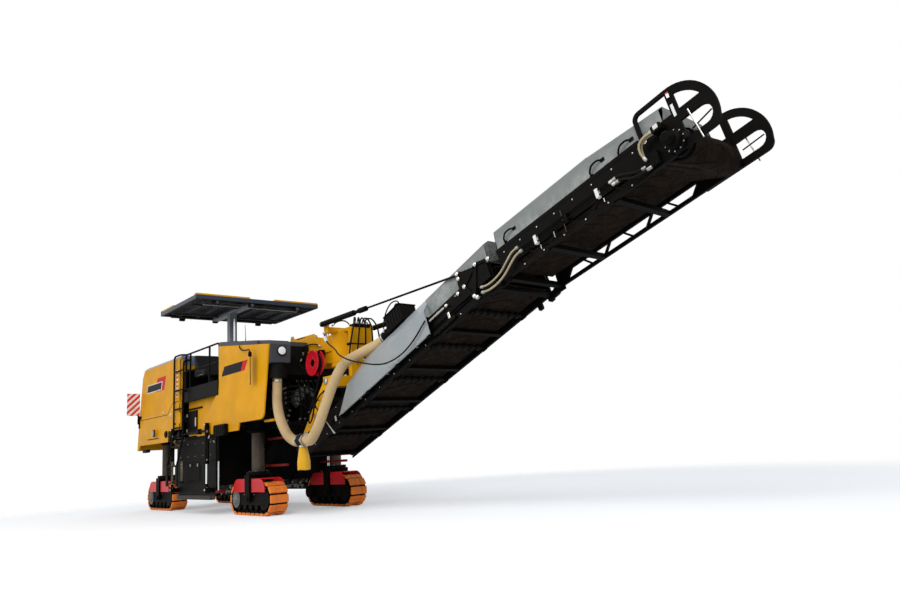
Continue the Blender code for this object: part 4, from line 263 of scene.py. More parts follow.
# Painted shade: the upper cover and the small cover at the fold take a darker copy of the cover grey, and
# their dust layer, laid across the face, turns pale towards the foot. Together these paint the shading of
# the curved sheet, dark at the top and light at the bottom.
OVER_BELT = UPPER.to_3x3() @ UP
UPPER_BASE = OVER_BELT.dot(UPPER.to_translation())
COVER_PAINTED_SHADE = coat("cover_grey_painted_shade_gradient", "6E716E", 0.42, vary=0.06, dusty=0.85, dust_and_shade_tint="B4B6B0",
    dust_and_shade_z=(UPPER_BASE + 0.66, UPPER_BASE + 0.42), gloss=0.1, wear=0.25, grain=0.04, dust_and_shade_way=OVER_BELT)
COLUMN_PIPE = coat("hydraulic_pipe_tan_zinc", "A89A7C", 0.35, metal=0.6, vary=0.12, dusty=0.3, wear=0.2)
CLEAT = coat("belt_cleat_rubber", "1E1712", 0.88, vary=0.25, dusty=0.3, dust_and_shade_tint="463A2E", dust_and_shade_z=(9.0, 0.0),
    wear=0.0, specular=0.05, grain_mm=4.0, grain=0.4)
CANOPY_TOP = coat("canopy_steel_blue_paint", "2E3642", 0.35, vary=0.08, dusty=0.12, gloss=0.05)
# Painted shade: the canopy's downward faces and the bars under it take a darker brown-grey than its
# blue-grey top.
CANOPY_UNDER_SHADE = coat("canopy_underside_painted_shade", "2A2622", 0.7, vary=0.25, dusty=0.35, dust_and_shade_tint="5A5146",
    dust_and_shade_z=(9.0, 0.0))
MAST = coat("mast_grey_paint", "77787A", 0.42, vary=0.08, dusty=0.15)
ENGINE = coat("engine_block_grey", "3A3A3A", 0.6, metal=0.2, vary=0.2, dusty=0.3)
STEEL = coat("worn_tool_steel", "5B544A", 0.5, metal=0.85, vary=0.3, dusty=0.5, dust_and_shade_tint="6B5D4A",
    dust_and_shade_z=(1.6, 0.2), grain_mm=4.0, grain=0.4)
SKID = coat("skid_plate_worn_steel", "2A2621", 0.45, metal=0.7, vary=0.3, dusty=0.4, dust_and_shade_tint="5A5044",
    dust_and_shade_z=(1.0, 0.1))
CHROME = coat("hard_chrome_rod", "C9CCCE", 0.14, metal=1.0, vary=0.02, dusty=0.05, grain=0.02, wear=0.0)
ZINC = coat("zinc_bolt", "A8A59C", 0.38, metal=0.9, vary=0.1, dusty=0.15, grain=0.05, wear=0.0)
RUBBER = coat("black_hose_rubber", "121110", 0.6, vary=0.15, dusty=0.15, dust_and_shade_tint="4A443A", wear=0.0,
    specular=0.07)
LENS_WHITE = coat("lamp_lens_white", "F2F4F4", 0.12, vary=0.01, dusty=0.02, gloss=0.6, wear=0.0)
SEAT = coat("seat_vinyl_black", "1B1B1C", 0.58, vary=0.12, dusty=0.12, grain_mm=2.5, grain=0.5)
TANK = coat("tank_black_paint", "141312", 0.5, vary=0.2, dusty=0.15, dust_and_shade_tint="4A443A", specular=0.06)
print("coats", len(bpy.data.materials))

# %% [markdown]
# ## Rubber belts and the dust hose
# Conveyor belts are moulded with chevron ribs, so the chips don't slide back on the slope. The hose is a
# cloth-and-rubber skin over a steel spiral, tan with age. The sock is loose yellow cloth.

# %% Belt, hose and sock materials
def wave_rubber(name, colour, rough, axis_scale, height_mm, dusty="6A5844"):
    """Rubber with chevron cleats along the belt, read from Object coordinates."""
    material, tree = blank_material(name)
    place = add(tree, "ShaderNodeTexCoord").outputs["Object"]
    parts = add(tree, "ShaderNodeSeparateXYZ", {0: place})
    way = maths(tree, "SUBTRACT", parts.outputs["X"], maths(tree, "ABSOLUTE", parts.outputs["Y"]))
    comb = maths(tree, "PINGPONG", times(tree, way, axis_scale), 1.0)
    cleat = ramped(tree, comb, 0.62, 0.8)
    grime = noise(tree, place, 6.0, 7.0, 0.7)
    tone = mixed(tree, times(tree, ramped(tree, grime, 0.35, 0.75), 0.35), linear(colour), linear(dusty))
    tone = mixed(tree, times(tree, cleat, 0.1), tone, linear(dusty))
    bump = add(tree, "ShaderNodeBump", {"Height": cleat, "Strength": 0.8,
        "Distance": height_mm / 1000.0}).outputs[0]
    shader = add(tree, "ShaderNodeBsdfPrincipled", {"Base Color": tone, "Roughness": rough, "Normal": bump,
        "Specular IOR Level": 0.04})
    add(tree, "ShaderNodeOutputMaterial", {"Surface": shader.outputs[0]})
    return material


BELT = wave_rubber("chevron_belt_rubber", "17110D", 0.88, 9.0, 9.0, "40352A")
HOSE = coat("tan_spiral_hose", "CDB183", 0.62, vary=0.08, dusty=0.35, dust_and_shade_tint="A08860", dust_and_shade_z=(2.4, 1.0),
    grain_mm=4.0, grain=0.5, wear=1.0, bare="B08F5E", sheen=0.2)
SOCK = coat("yellow_filter_cloth", "D8A21A", 0.8, vary=0.14, dusty=0.2, grain_mm=2.0, grain=0.8, sheen=0.3)
print("rubber and cloth", BELT.name, HOSE.name, SOCK.name)


# %% [markdown]
# ## Warning stripes
# Red and white film in diagonal bars, read from Object coordinates. The film's edges are straight, so a
# comparison of the position across the bars is enough.

# %% Striped film
def stripes(name, one, other, normal, width, rough=0.35):
    """Bars of two colours, width metres each, across the direction normal."""
    material, tree = blank_material(name)
    place = add(tree, "ShaderNodeTexCoord").outputs["Object"]
    turn = times(tree, along(tree, place, Vector(normal).normalized()), 0.5 / width)
    pick = maths(tree, "GREATER_THAN", maths(tree, "FRACT", turn), 0.5)
    grime = noise(tree, place, 9.0, 5.0)
    tone = mixed(tree, pick, linear(one), linear(other))
    tone = mixed(tree, times(tree, ramped(tree, grime, 0.45, 0.8), 0.25), tone, linear("8A8070"))
    shader = add(tree, "ShaderNodeBsdfPrincipled", {"Base Color": tone, "Roughness": rough,
        "Coat Weight": 0.2})
    add(tree, "ShaderNodeOutputMaterial", {"Surface": shader.outputs[0]})
    return material


FILM_RED, FILM_WHITE, BAR_W = "D8202A", "F2F0EC", 0.048
WARNING = stripes("red_white_reflective_film", FILM_RED, FILM_WHITE, (0.0, -1.0, 1.0), BAR_W)
WARNING_LEFT = stripes("red_white_reflective_film_left", FILM_RED, FILM_WHITE, (0.0, 1.0, 1.0), BAR_W)
print("stripes", BAR_W, "m wide")

# %% [markdown]
# ## Floor and light
# A pale floor that fades out, soft light from above and a large soft panel on the camera's side. The
# background is white for camera, glossy and transmission rays, and a calmer grey lights the rest.

# %% Stage
bpy.context.scene.view_settings.view_transform = "Standard"
world = bpy.data.worlds.new("studio")
bpy.context.scene.world = world
world.use_nodes = True
world.node_tree.nodes.clear()
sky = world.node_tree
path = add(sky, "ShaderNodeLightPath")
seen = maths(sky, "MAXIMUM", path.outputs["Is Camera Ray"], path.outputs["Is Glossy Ray"])
seen = maths(sky, "MAXIMUM", seen, path.outputs["Is Transmission Ray"])
soft = add(sky, "ShaderNodeBackground", {"Color": (0.86, 0.92, 1.0, 1.0), "Strength": 0.56})
plain = add(sky, "ShaderNodeBackground", {"Color": (1.0, 1.0, 1.0, 1.0), "Strength": 1.0})
both = add(sky, "ShaderNodeMixShader", {0: seen, 1: soft.outputs[0], 2: plain.outputs[0]})
add(sky, "ShaderNodeOutputWorld", {"Surface": both.outputs[0]})

FLOOR_R, FADE_FROM, FADE_TO = 17.0, 8.5, 13.0
bm = bmesh.new()
bmesh.ops.create_circle(bm, cap_ends=True, segments=96, radius=FLOOR_R)
floor_mesh = bpy.data.meshes.new("floor")
bm.to_mesh(floor_mesh)
bm.free()
floor = placed("floor", floor_mesh)
floor.location.z = -0.002
floor_paint, tree = blank_material("pale_floor")
spot = add(tree, "ShaderNodeTexCoord").outputs["Object"]
reach = add(tree, "ShaderNodeVectorMath", {0: spot}, operation="LENGTH").outputs["Value"]
seen_floor = add(tree, "ShaderNodeLightPath").outputs["Is Camera Ray"]
pale = add(tree, "ShaderNodeBsdfPrincipled", {"Base Color": (0.86, 0.86, 0.86, 1.0), "Roughness": 1.0,
    "Specular IOR Level": 0.0, "Emission Color": (1.0, 1.0, 1.0, 1.0),
    "Emission Strength": times(tree, seen_floor, 0.32)})
clear = add(tree, "ShaderNodeBsdfTransparent")
fade = add(tree, "ShaderNodeMixShader", {0: ramped(tree, reach, FADE_FROM, FADE_TO), 1: pale.outputs[0],
    2: clear.outputs[0]})
add(tree, "ShaderNodeOutputMaterial", {"Surface": fade.outputs[0]})
floor_mesh.materials.append(floor_paint)


def soft_panel(name, at, aim, size, power):
    """A square light that looks from one place to another."""
    lamp = bpy.data.lights.new(name, "AREA")
    lamp.size, lamp.energy = size, power
    holder = placed(name, lamp)
    holder.location = at
    holder.rotation_mode = "QUATERNION"
    holder.rotation_quaternion = (Vector(aim) - Vector(at)).to_track_quat("-Z", "Y")


soft_panel("key", (9.0, -9.0, 11.0), (0.0, 0.0, 1.5), 7.0, 1150.0)
soft_panel("side", (-6.0, -13.0, 6.0), (-1.5, 0.0, 1.5), 9.0, 430.0)
print("lights", len(bpy.data.lights))

# %% [markdown]
# ## Softened copies of the CAD's sheet metal
# The CAD has knife edges. Bent and welded steel has radii of a few millimetres, and they catch a line of
# light. A copy of the node's mesh is merged, its flat faces are joined, and its sharp edges are bevelled
# where there is room. The bevel's faces carry worn = 1, which the coats read.

# %% Soften
MERGE, FLAT_DEGREES, ROOM = 0.00002, 0.6, 2.6


def by_place(faces, tests):
    """Faces that pass the first test take the second finish, and so on; the others take the first."""
    for face in faces:
        spot, way = face.calc_center_median(), face.normal
        face.material_index = next((i for i, test in enumerate(tests, 1) if test(spot, way)), 0)


def keep_faces(mesh, angle=32.0):
    """Smooth shading with sharp edges kept, and flat faces that stay flat."""
    mesh.shade_smooth()
    mesh.set_sharp_from_angle(angle=math.radians(angle))


def plain_mesh(obj):
    """The object's evaluated mesh as a plain one, without modifiers."""
    graph = bpy.context.evaluated_depsgraph_get()
    mesh = bpy.data.meshes.new_from_object(obj.evaluated_get(graph))
    obj.modifiers.clear()
    obj.data = mesh


def weighted(obj):
    """Normals weighted by the faces' areas, so that bevels shade round and flats stay flat."""
    bend = obj.modifiers.new("weighted", "WEIGHTED_NORMAL")
    bend.keep_sharp = True
    plain_mesh(obj)


def soften(node, width, finishes, segments=2, tests=None, angle=34.0):
    """A bevelled copy of a CAD node in its place. tests pick the finish by a face's place and normal;
    without tests each face keeps the CAD's slot."""
    source = frame["nodes"][node]
    bm = bmesh.new()
    bm.from_mesh(source.data)
    bmesh.ops.remove_doubles(bm, verts=bm.verts, dist=MERGE)
    bmesh.ops.dissolve_limit(bm, angle_limit=math.radians(FLAT_DEGREES), verts=bm.verts, edges=bm.edges)
    bm.normal_update()
    crowded = {v for e in bm.edges if e.calc_length() < ROOM * width for v in e.verts}
    chosen = [e for e in bm.edges if len(e.link_faces) == 2 and e.calc_face_angle(0.0) > math.radians(angle)
        and not (e.verts[0] in crowded or e.verts[1] in crowded)]
    worn = bm.faces.layers.float.new("worn")
    if chosen:
        made = bmesh.ops.bevel(bm, geom=chosen, offset=width, offset_type="OFFSET", segments=segments,
            profile=0.6, affect="EDGES", clamp_overlap=True)
        for face in made["faces"]:
            face[worn] = 1.0
    bm.normal_update()
    if tests is not None:
        by_place(bm.faces, tests)
    mesh = bpy.data.meshes.new(node + "_skin")
    bm.to_mesh(mesh)
    bm.free()
    for finish in finishes:
        mesh.materials.append(finish)
    keep_faces(mesh, 38.0)
    obj = placed(node + "_skin", mesh)
    weighted(obj)
    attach(obj, source["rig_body"])
    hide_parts(node)


# %% [markdown]
# The rear body and hood are yellow sheet steel; the hood's upward roof faces take a blue-grey painted sky
# reflection, and its long edges are rounded shoulders. The side panels have hemmed edges. The canopy is
# blue-grey outside, and its downward faces take a darker brown-grey as painted shade.

# %% Sheet metal of the body
ROOF_Z, CAP_FOOT_Z, YOKE_TOP_Z = 2.93, 2.455, 0.745
LAMP_Y, LAMP_Z, LAMP_HALF = 0.98, 2.7, 0.08
PLATE_ROD_Y, SKID_TOP_Z = 1.22, 0.37
SMALL_COVER_X = (LOWER @ Vector((3.72, 0, 0))).x


def in_lamp(p, n):
    """The lamps in the console's front corners."""
    return (abs(abs(p.y) - LAMP_Y) < LAMP_HALF and abs(p.z - LAMP_Z) < LAMP_HALF and p.x > 1.425 + MACHINE_X
        and n.x > 0.9)


soften("rear_body", 0.012, [YELLOW], tests=[])
# The hood's upward faces above ROOF_Z take the painted sky reflection.
soften("engine_hood", 0.018, [YELLOW, ROOF_SKY_REFLECTION], segments=3, angle=20.0,
    tests=[lambda p, n: p.z > ROOF_Z and n.z > 0.15])
soften("console", 0.022, [CONSOLE, TANK, LENS_WHITE], segments=3,
    tests=[lambda p, n: p.z <= CAP_FOOT_Z, in_lamp])
soften("belly", 0.012, [BLACK, YELLOW], tests=[lambda p, n: abs(n.y) >= 0.5])
# The canopy's downward faces and those below 4.05 m take the painted shade of its underside.
soften("canopy", 0.01, [CANOPY_TOP, CANOPY_UNDER_SHADE], tests=[lambda p, n: n.z <= -0.5 or p.z <= 4.05])
# The small cover at the fold takes the painted shade copy of the cover grey.
soften("conveyor_lower_cover", 0.008, [COVER, COVER_PAINTED_SHADE], tests=[lambda p, n: p.x >= SMALL_COVER_X])
soften("hose_coupling", 0.006, [SOCK, RUBBER], tests=[lambda p, n: p.z >= 1.1])
soften("suction_fan", 0.01, [BLACK], segments=3)
soften("operator_seat", 0.02, [SEAT], segments=3)
# The upper cover takes the painted shade copy of the cover grey.
for node, width, finish in (("centre_body", 0.012, TANK), ("chassis", 0.01, BLACK),
        ("drum_housing", 0.008, BLACK), ("scraper", 0.006, STEEL), ("engine", 0.03, ENGINE),
        ("platform", 0.004, BLACK), ("ladder", 0.003, BLACK), ("canopy_mast", 0.008, MAST),
        ("slew_tower", 0.01, YELLOW), ("slew_bracket", 0.007, YELLOW), ("reel_bracket", 0.006, YELLOW),
        ("loading_conveyor", 0.006, BLACK), ("conveyor_lower_frame", 0.006, BLACK),
        ("conveyor_upper_frame", 0.005, BLACK), ("conveyor_upper_cover", 0.008, COVER_PAINTED_SHADE)):
    soften(node, width, [finish])
for word, film in (("right", WARNING), ("left", WARNING_LEFT)):
    soften("side_panel_" + word, 0.006, [YELLOW])
    soften("side_plate_" + word, 0.006, [BLACK, CHROME, SKID], tests=[lambda p, n: abs(p.y) > PLATE_ROD_Y
        and p.z > 0.52, lambda p, n: p.z <= SKID_TOP_Z])
    soften("side_rams_" + word, 0.004, [BLACK])
    soften("lift_barrel_" + word, 0.004, [BLACK])
    soften("lift_rod_" + word, 0.004, [BLACK, CHROME])
    soften("warning_plate_" + word, 0.003, [film, BLACK],
        tests=[lambda p, n: p.z <= 2.119 or abs(p.y) <= 1.255])
for node, finish in (("conveyor_lower_belt", BELT), ("conveyor_upper_belt", BELT), ("milling_drum", STEEL)):
    frame["nodes"][node].material_slots[0].material = finish

# %% [markdown]
# ## Copies along a path
# Shoes on a chain, bolts round a flange and slats in a screen are one shape many times. Geometry Nodes lays
# a copy at each point of a mesh, turned by two directions that the points carry, and the copies are then
# made real, so that the piece is a plain mesh.

# %% A shared node group: copies along a path
def path_group():
    """Copies an object along the path in the mesh, each turned to the path and to its outward side."""
    tree = bpy.data.node_groups.new("copies along a path", "GeometryNodeTree")
    for name, way, kind in (("Path", "INPUT", "Geometry"), ("Copy", "INPUT", "Object"),
            ("Finish", "INPUT", "Material"), ("Copies", "OUTPUT", "Geometry")):
        tree.interface.new_socket(name, in_out=way, socket_type="NodeSocket" + kind)
    given = add(tree, "NodeGroupInput")
    copy = add(tree, "GeometryNodeObjectInfo", {"Object": given.outputs["Copy"]})
    way = add(tree, "GeometryNodeInputNamedAttribute", {"Name": "way"}, data_type="FLOAT_VECTOR")
    out = add(tree, "GeometryNodeInputNamedAttribute", {"Name": "out"}, data_type="FLOAT_VECTOR")
    first = add(tree, "FunctionNodeAlignRotationToVector", {"Vector": way.outputs["Attribute"]}, axis="X")
    turn = add(tree, "FunctionNodeAlignRotationToVector", {"Rotation": first.outputs[0],
        "Vector": out.outputs["Attribute"]}, axis="Z", pivot_axis="X")
    size = add(tree, "GeometryNodeInputNamedAttribute", {"Name": "size"}, data_type="FLOAT")
    laid = add(tree, "GeometryNodeInstanceOnPoints", {"Points": given.outputs["Path"],
        "Instance": copy.outputs["Geometry"], "Rotation": turn.outputs[0],
        "Scale": size.outputs["Attribute"]})
    real = add(tree, "GeometryNodeRealizeInstances", {"Geometry": laid.outputs[0]})
    done = add(tree, "GeometryNodeSetMaterial", {"Geometry": real.outputs[0],
        "Material": given.outputs["Finish"]})
    add(tree, "NodeGroupOutput", {"Copies": done.outputs[0]})
    return tree


PATHS = path_group()


def copies(name, body, spots, copy_mesh, finish, place=MACHINE, angle=32.0, replaces=()):
    """Lays copy_mesh at each spot (place, way, outward side[, size]) and rides the result on a body."""
    mesh = bpy.data.meshes.new(name)
    mesh.from_pydata([place @ Vector(s[0]) for s in spots], [], [])
    turn = place.to_3x3()
    for word, column in (("way", 1), ("out", 2)):
        data = mesh.attributes.new(word, "FLOAT_VECTOR", "POINT").data
        for item, s in zip(data, spots):
            item.vector = turn @ Vector(s[column])
    data = mesh.attributes.new("size", "FLOAT", "POINT").data
    for item, s in zip(data, spots):
        item.value = s[3] if len(s) > 3 else 1.0
    holder, sample = placed(name, mesh), placed(name + "_sample", copy_mesh)
    layer = holder.modifiers.new("copies", "NODES")
    layer.node_group = PATHS
    names = {s.name: s.identifier for s in PATHS.interface.items_tree if s.in_out == "INPUT"}
    layer[names["Copy"]] = sample
    layer[names["Finish"]] = finish
    plain_mesh(holder)
    bpy.data.objects.remove(sample)
    keep_faces(holder.data, angle)
    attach(holder, body)
    if replaces:
        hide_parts(*replaces)


print("node group", PATHS.name, len(PATHS.nodes), "nodes")

# %% [markdown]
# ## A small kit of shapes
# Stock collects closed shapes for one piece: chamfered boxes, turned parts, bent bars and plates. Every
# box has its edges broken, as sawn and ground steel has.

# %% Stock: closed shapes for one piece
def about(middle, half):
    """The two ends of a size that lies half to each side of its middle."""
    return middle - half, middle + half


def circle(centre, radius, count, start=0.0, flat=False):
    """Points round a centre: in X and Z, or flat in X and Y."""
    x, y, z = centre
    out = []
    for k in range(count):
        u = radius * math.cos(start + math.tau * k / count)
        v = radius * math.sin(start + math.tau * k / count)
        out.append((x + u, y + v, z) if flat else (x + u, y, z + v))
    return out


def disc(radius, thick):
    """The profile of a plain disc."""
    return [(0, radius), (thick, radius)]


def boss(radius, thick, top, rim):
    """The profile of a disc whose edge runs in to the radius rim at the height top."""
    return [(0, radius), (thick, radius), (top, rim)]


def axes_for(way, side=UP):
    """A turn whose Z axis is way and whose X axis is near side."""
    w = Vector(way).normalized()
    s = Vector(side) - w * Vector(side).dot(w)
    if s.length < 1e-5:
        s = w.orthogonal()
    s.normalize()
    return Matrix((s, w.cross(s), w)).transposed()


class Stock:
    """Closed shapes with their finishes, in a frame, that become one mesh."""
    def __init__(self, place=MACHINE):
        self.verts, self.faces, self.marks, self.worn, self.finishes, self.place = [], [], [], [], [], place

    def put(self, verts, faces, finish, worn=None):
        if finish not in self.finishes:
            self.finishes.append(finish)
        mark, start = self.finishes.index(finish), len(self.verts)
        self.verts += [Vector(v) for v in verts]
        self.faces += [[start + i for i in f] for f in faces]
        self.marks += [mark] * len(faces)
        self.worn += worn or [0.0] * len(faces)

    def box(self, xs, ys, zs, finish, edge=0.004, place=None):
        """A box with its edges broken."""
        place = place or FLAT
        middle = Vector([sum(a) / 2 for a in (xs, ys, zs)])
        half = [abs(a[1] - a[0]) / 2 for a in (xs, ys, zs)]
        edge = min(edge, *(0.45 * h for h in half))
        at, verts, corners = {}, [], list(product((-1, 1), repeat=3))
        for signs, axis in product(corners, range(3)):
            v = [signs[i] * (half[i] - (0.0 if i == axis else edge)) for i in range(3)]
            at[(signs, axis)] = len(verts)
            verts.append(place @ (middle + Vector(v)))
        faces, worn = [], []
        for axis in range(3):
            b, c = (axis + 1) % 3, (axis + 2) % 3
            for s in (-1, 1):
                ring = []
                for tb, tc in ((-1, -1), (1, -1), (1, 1), (-1, 1)):
                    signs = [0, 0, 0]
                    signs[axis], signs[b], signs[c] = s, tb, tc
                    ring.append(at[(tuple(signs), axis)])
                faces.append(ring if s > 0 else ring[::-1])
                worn.append(0.0)
            for tb, tc in product((-1, 1), repeat=2):
                ends = []
                for s in (-1, 1):
                    signs = [0, 0, 0]
                    signs[axis], signs[b], signs[c] = s, tb, tc
                    ends.append((at[(tuple(signs), b)], at[(tuple(signs), c)]))
                ring = [ends[0][0], ends[1][0], ends[1][1], ends[0][1]]
                faces.append(ring if tb * tc > 0 else ring[::-1])
                worn.append(1.0)
        for signs in corners:
            ring = [at[(signs, axis)] for axis in range(3)]
            faces.append(ring if math.prod(signs) > 0 else ring[::-1])
            worn.append(1.0)
        self.put(verts, faces, finish, worn)

    def turned(self, base, way, profile, finish, sides=24, side=UP):
        """A turned part: profile is (distance along way, radius), from end to end."""
        turn, base = axes_for(way, side), Vector(base)
        verts, rings = [], []
        for z, r in profile:
            count = sides if r > 1e-6 else 1
            rings.append(list(range(len(verts), len(verts) + count)))
            verts += [base + turn @ Vector(p) for p in circle((0.0, 0.0, z), r, count, flat=True)]
        faces = [ring for ring in (rings[0][::-1], rings[-1]) if len(ring) > 1]
        for a, b in zip(rings, rings[1:]):
            for k in range(sides):
                j = (k + 1) % sides
                if len(a) == 1:
                    faces.append([a[0], b[j], b[k]])
                elif len(b) == 1:
                    faces.append([a[k], a[j], b[0]])
                else:
                    faces.append([a[k], a[j], b[j], b[k]])
        self.put(verts, faces, finish)

    def bar(self, p, q, radius, finish, sides=14, edge=0.003):
        """A round bar between two points, its ends chamfered."""
        way = Vector(q) - Vector(p)
        edge = min(edge, radius / 2, way.length / 4)
        self.turned(p, way, [(0.0, radius - edge), (edge, radius), (way.length - edge, radius),
            (way.length, radius - edge)], finish, sides)

    def plate(self, outline, origin, across, upright, thick, finish, edge=0.003):
        """A flat plate: outline in (across, upright) from origin, its edges broken on both faces."""
        u, v = Vector(across).normalized(), Vector(upright).normalized()
        n = u.cross(v)
        points = [Vector((a, b)) for a, b in outline]
        area = sum(a.x * b.y - b.x * a.y for a, b in zip(points, points[1:] + points[:1]))
        if area < 0:
            points.reverse()
        inner, count = [], len(points)
        for i, p in enumerate(points):
            a, b = (p - points[i - 1]).normalized(), (points[(i + 1) % count] - p).normalized()
            mitre = Vector((-a.y - b.y, a.x + b.x))
            near = max(0.35, mitre.dot(Vector((-b.y, b.x))))
            inner.append(p + mitre * (edge / near))
        verts, rings = [], []
        for pts, h in ((inner, 0.0), (points, edge), (points, thick - edge), (inner, thick)):
            rings.append(list(range(len(verts), len(verts) + count)))
            verts += [Vector(origin) + u * p.x + v * p.y + n * h for p in pts]
        faces, worn = [rings[0][::-1], rings[3]], [0.0, 0.0]
        for k, (a, b) in enumerate(zip(rings, rings[1:])):
            for i in range(count):
                j = (i + 1) % count
                faces.append([a[i], a[j], b[j], b[i]])
                worn.append(0.0 if k == 1 else 1.0)
        self.put(verts, faces, finish, worn)

    def pipe(self, points, radius, finish, sides=12, ends=True):
        """A tube along points. Its rings keep their turn along the way. radius may change on the way."""
        pts = [Vector(p) for p in points]
        ways = [(b - a).normalized() for a, b in zip(pts, pts[1:])]
        ways = [ways[0]] + [(a + b).normalized() for a, b in zip(ways, ways[1:])] + [ways[-1]]
        side = ways[0].orthogonal().normalized()
        verts, faces, before = [], [], None
        for i, (p, w) in enumerate(zip(pts, ways)):
            side = (side - w * side.dot(w)).normalized()
            other = w.cross(side)
            r = radius[i] if isinstance(radius, (list, tuple)) else radius
            ring = list(range(len(verts), len(verts) + sides))
            for k in range(sides):
                a = math.tau * k / sides
                verts.append(p + side * (r * math.cos(a)) + other * (r * math.sin(a)))
            if before:
                for k in range(sides):
                    j = (k + 1) % sides
                    faces.append([before[k], before[j], ring[j], ring[k]])
            elif ends:
                faces.append(ring[::-1])
            before = ring
        if ends:
            faces.append(before)
        self.put(verts, faces, finish)

    def mesh(self, name, angle=34.0):
        mesh = bpy.data.meshes.new(name)
        mesh.from_pydata([self.place @ v for v in self.verts], [], self.faces)
        for finish in self.finishes:
            mesh.materials.append(finish)
        mesh.polygons.foreach_set("material_index", self.marks)
        mesh.attributes.new("worn", "FLOAT", "FACE").data.foreach_set("value", self.worn)
        keep_faces(mesh, angle)
        return mesh

    def ride(self, name, body, replaces=(), angle=34.0):
        """Makes the piece and rides it on a body."""
        obj = placed(name, self.mesh(name, angle))
        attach(obj, body)
        if replaces:
            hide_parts(*replaces)
        return obj


# %% [markdown]
# ## Frames on sloping sheets, mirrored sets and strips
# Many fittings lie on a sheet that isn't level, and most come in a right and a left set. A frame with its
# Z axis outward puts a fitting on any sheet, and a mirrored copy makes the other side's set.

# %% Frames, mirrored sets and strips
def frame_at(origin, across, upright):
    """A frame with X across, Y upright and Z outward."""
    u, v = Vector(across).normalized(), Vector(upright).normalized()
    return Matrix.Translation(origin) @ Matrix((u, v, u.cross(v))).transposed().to_4x4()


def mirrored(stock):
    """The same shapes on the machine's other side."""
    other = Stock(stock.place)
    other.verts = [Vector((v.x, -v.y, v.z)) for v in stock.verts]
    other.faces = [face[::-1] for face in stock.faces]
    other.marks, other.worn, other.finishes = stock.marks, stock.worn, stock.finishes
    return other


def ride_both(stock, name, right_body, left_body=None):
    """Rides the shapes on the right-hand side and their mirror image on the left."""
    stock.ride(name + "_right", right_body)
    mirrored(stock).ride(name + "_left", left_body or right_body)


def strip(points, half):
    """The outline of a strip along an open line, half its width to each side."""
    pts = [Vector(p) for p in points]
    upper, lower = [], []
    for i, p in enumerate(pts):
        a = (p - pts[i - 1]).normalized() if i else (pts[1] - p).normalized()
        b = (pts[i + 1] - p).normalized() if i + 1 < len(pts) else a
        mitre = Vector((-a.y - b.y, a.x + b.x)).normalized()
        reach_out = half / max(0.3, mitre.dot(Vector((-a.y, a.x))))
        upper.append(p + mitre * reach_out)
        lower.append(p - mitre * reach_out)
    return upper + lower[::-1]


def bent(points, radius, steps=4):
    """A line with its corners rounded, for bent tube and bar."""
    pts = [Vector(p) for p in points]
    out = [pts[0]]
    for a, b, c in zip(pts, pts[1:], pts[2:]):
        r = min(radius, 0.45 * (b - a).length, 0.45 * (c - b).length)
        p, q = b + (a - b).normalized() * r, b + (c - b).normalized() * r
        for k in range(steps + 1):
            t = k / steps
            out.append(p * (1 - t) ** 2 + b * (2 * t * (1 - t)) + q * t ** 2)
    return out + [pts[-1]]


def patch(x0, x1, z0, z1, lean=0.0):
    """A four-sided outline, its top moved forwards by lean."""
    return [(x0, z0), (x1, z0), (x1 + lean, z1), (x0 + lean, z1)]


SHEET_Y, PANEL_Y, SUNK = -1.24, -1.2, 0.003


def flank(parts, outline, thick, finish, y=SHEET_Y, edge=0.0015):
    """A plate that lies on a right-hand side sheet, its outline in X and Z and its back in the sheet."""
    parts.plate(outline, (0.0, y + SUNK, 0.0), FORE, UP, thick + SUNK, finish, edge)


def bolt_heads(name, body, spots, radius, place=MACHINE, finish=None, both=False):
    """Hexagon bolt heads at spots (place, outward side); both adds the mirrored ones."""
    if both:
        spots = spots + [((p[0], -p[1], p[2]), (n[0], -n[1], n[2])) for p, n in spots]
    laid = []
    for p, n in spots:
        way = Vector(n).orthogonal().normalized()
        laid.append((p, tuple(way), n, radius))
    copies(name, body, laid, BOLT, finish or ZINC, place=place, angle=20.0)


bolt = Stock(FLAT)
bolt.turned((0, 0, 0), UP, [(0.0, 1.0), (0.1, 1.05), (0.1, 0.86), (0.5, 0.86), (0.62, 0.7)], ZINC, 6)
BOLT = bolt.mesh("bolt", 20.0)
print("bolt head", len(bolt.verts), "points")

# %% [markdown]
# ## Finishes of the small fittings
# Lamps have a clear lens over a bright reflector, latches are stainless, and gaskets are matt rubber.

# %% Finishes of the small fittings
LENS_DARK = coat("lamp_glass_dark", "2B2D30", 0.1, vary=0.05, dusty=0.1, gloss=0.8, wear=0.0)
LENS_RED = coat("tail_lamp_red", "A01014", 0.15, vary=0.05, dusty=0.05, gloss=0.6, wear=0.0)
LENS_AMBER = coat("signal_lamp_amber", "E07A10", 0.15, vary=0.05, dusty=0.05, gloss=0.6, wear=0.0)
SEAL = coat("gasket_rubber", "0C0C0C", 0.75, vary=0.1, dusty=0.1, wear=0.0, specular=0.2)
BARE_BLACK = coat("bare_sign_plate_black", "0B0B0D", 0.45, vary=0.03, dusty=0.05, wear=0.0, specular=0.05)
BARE_RED = coat("bare_sign_plate_red", "C8101C", 0.45, vary=0.03, dusty=0.05, wear=0.0, specular=0.08)
BARE_WHITE = coat("bare_sign_plate_white", "DADAD6", 0.4, vary=0.02, dusty=0.05, wear=0.0)
STAINLESS = coat("stainless_fitting", "C4C2BA", 0.28, metal=1.0, vary=0.05, dusty=0.1, wear=0.0)
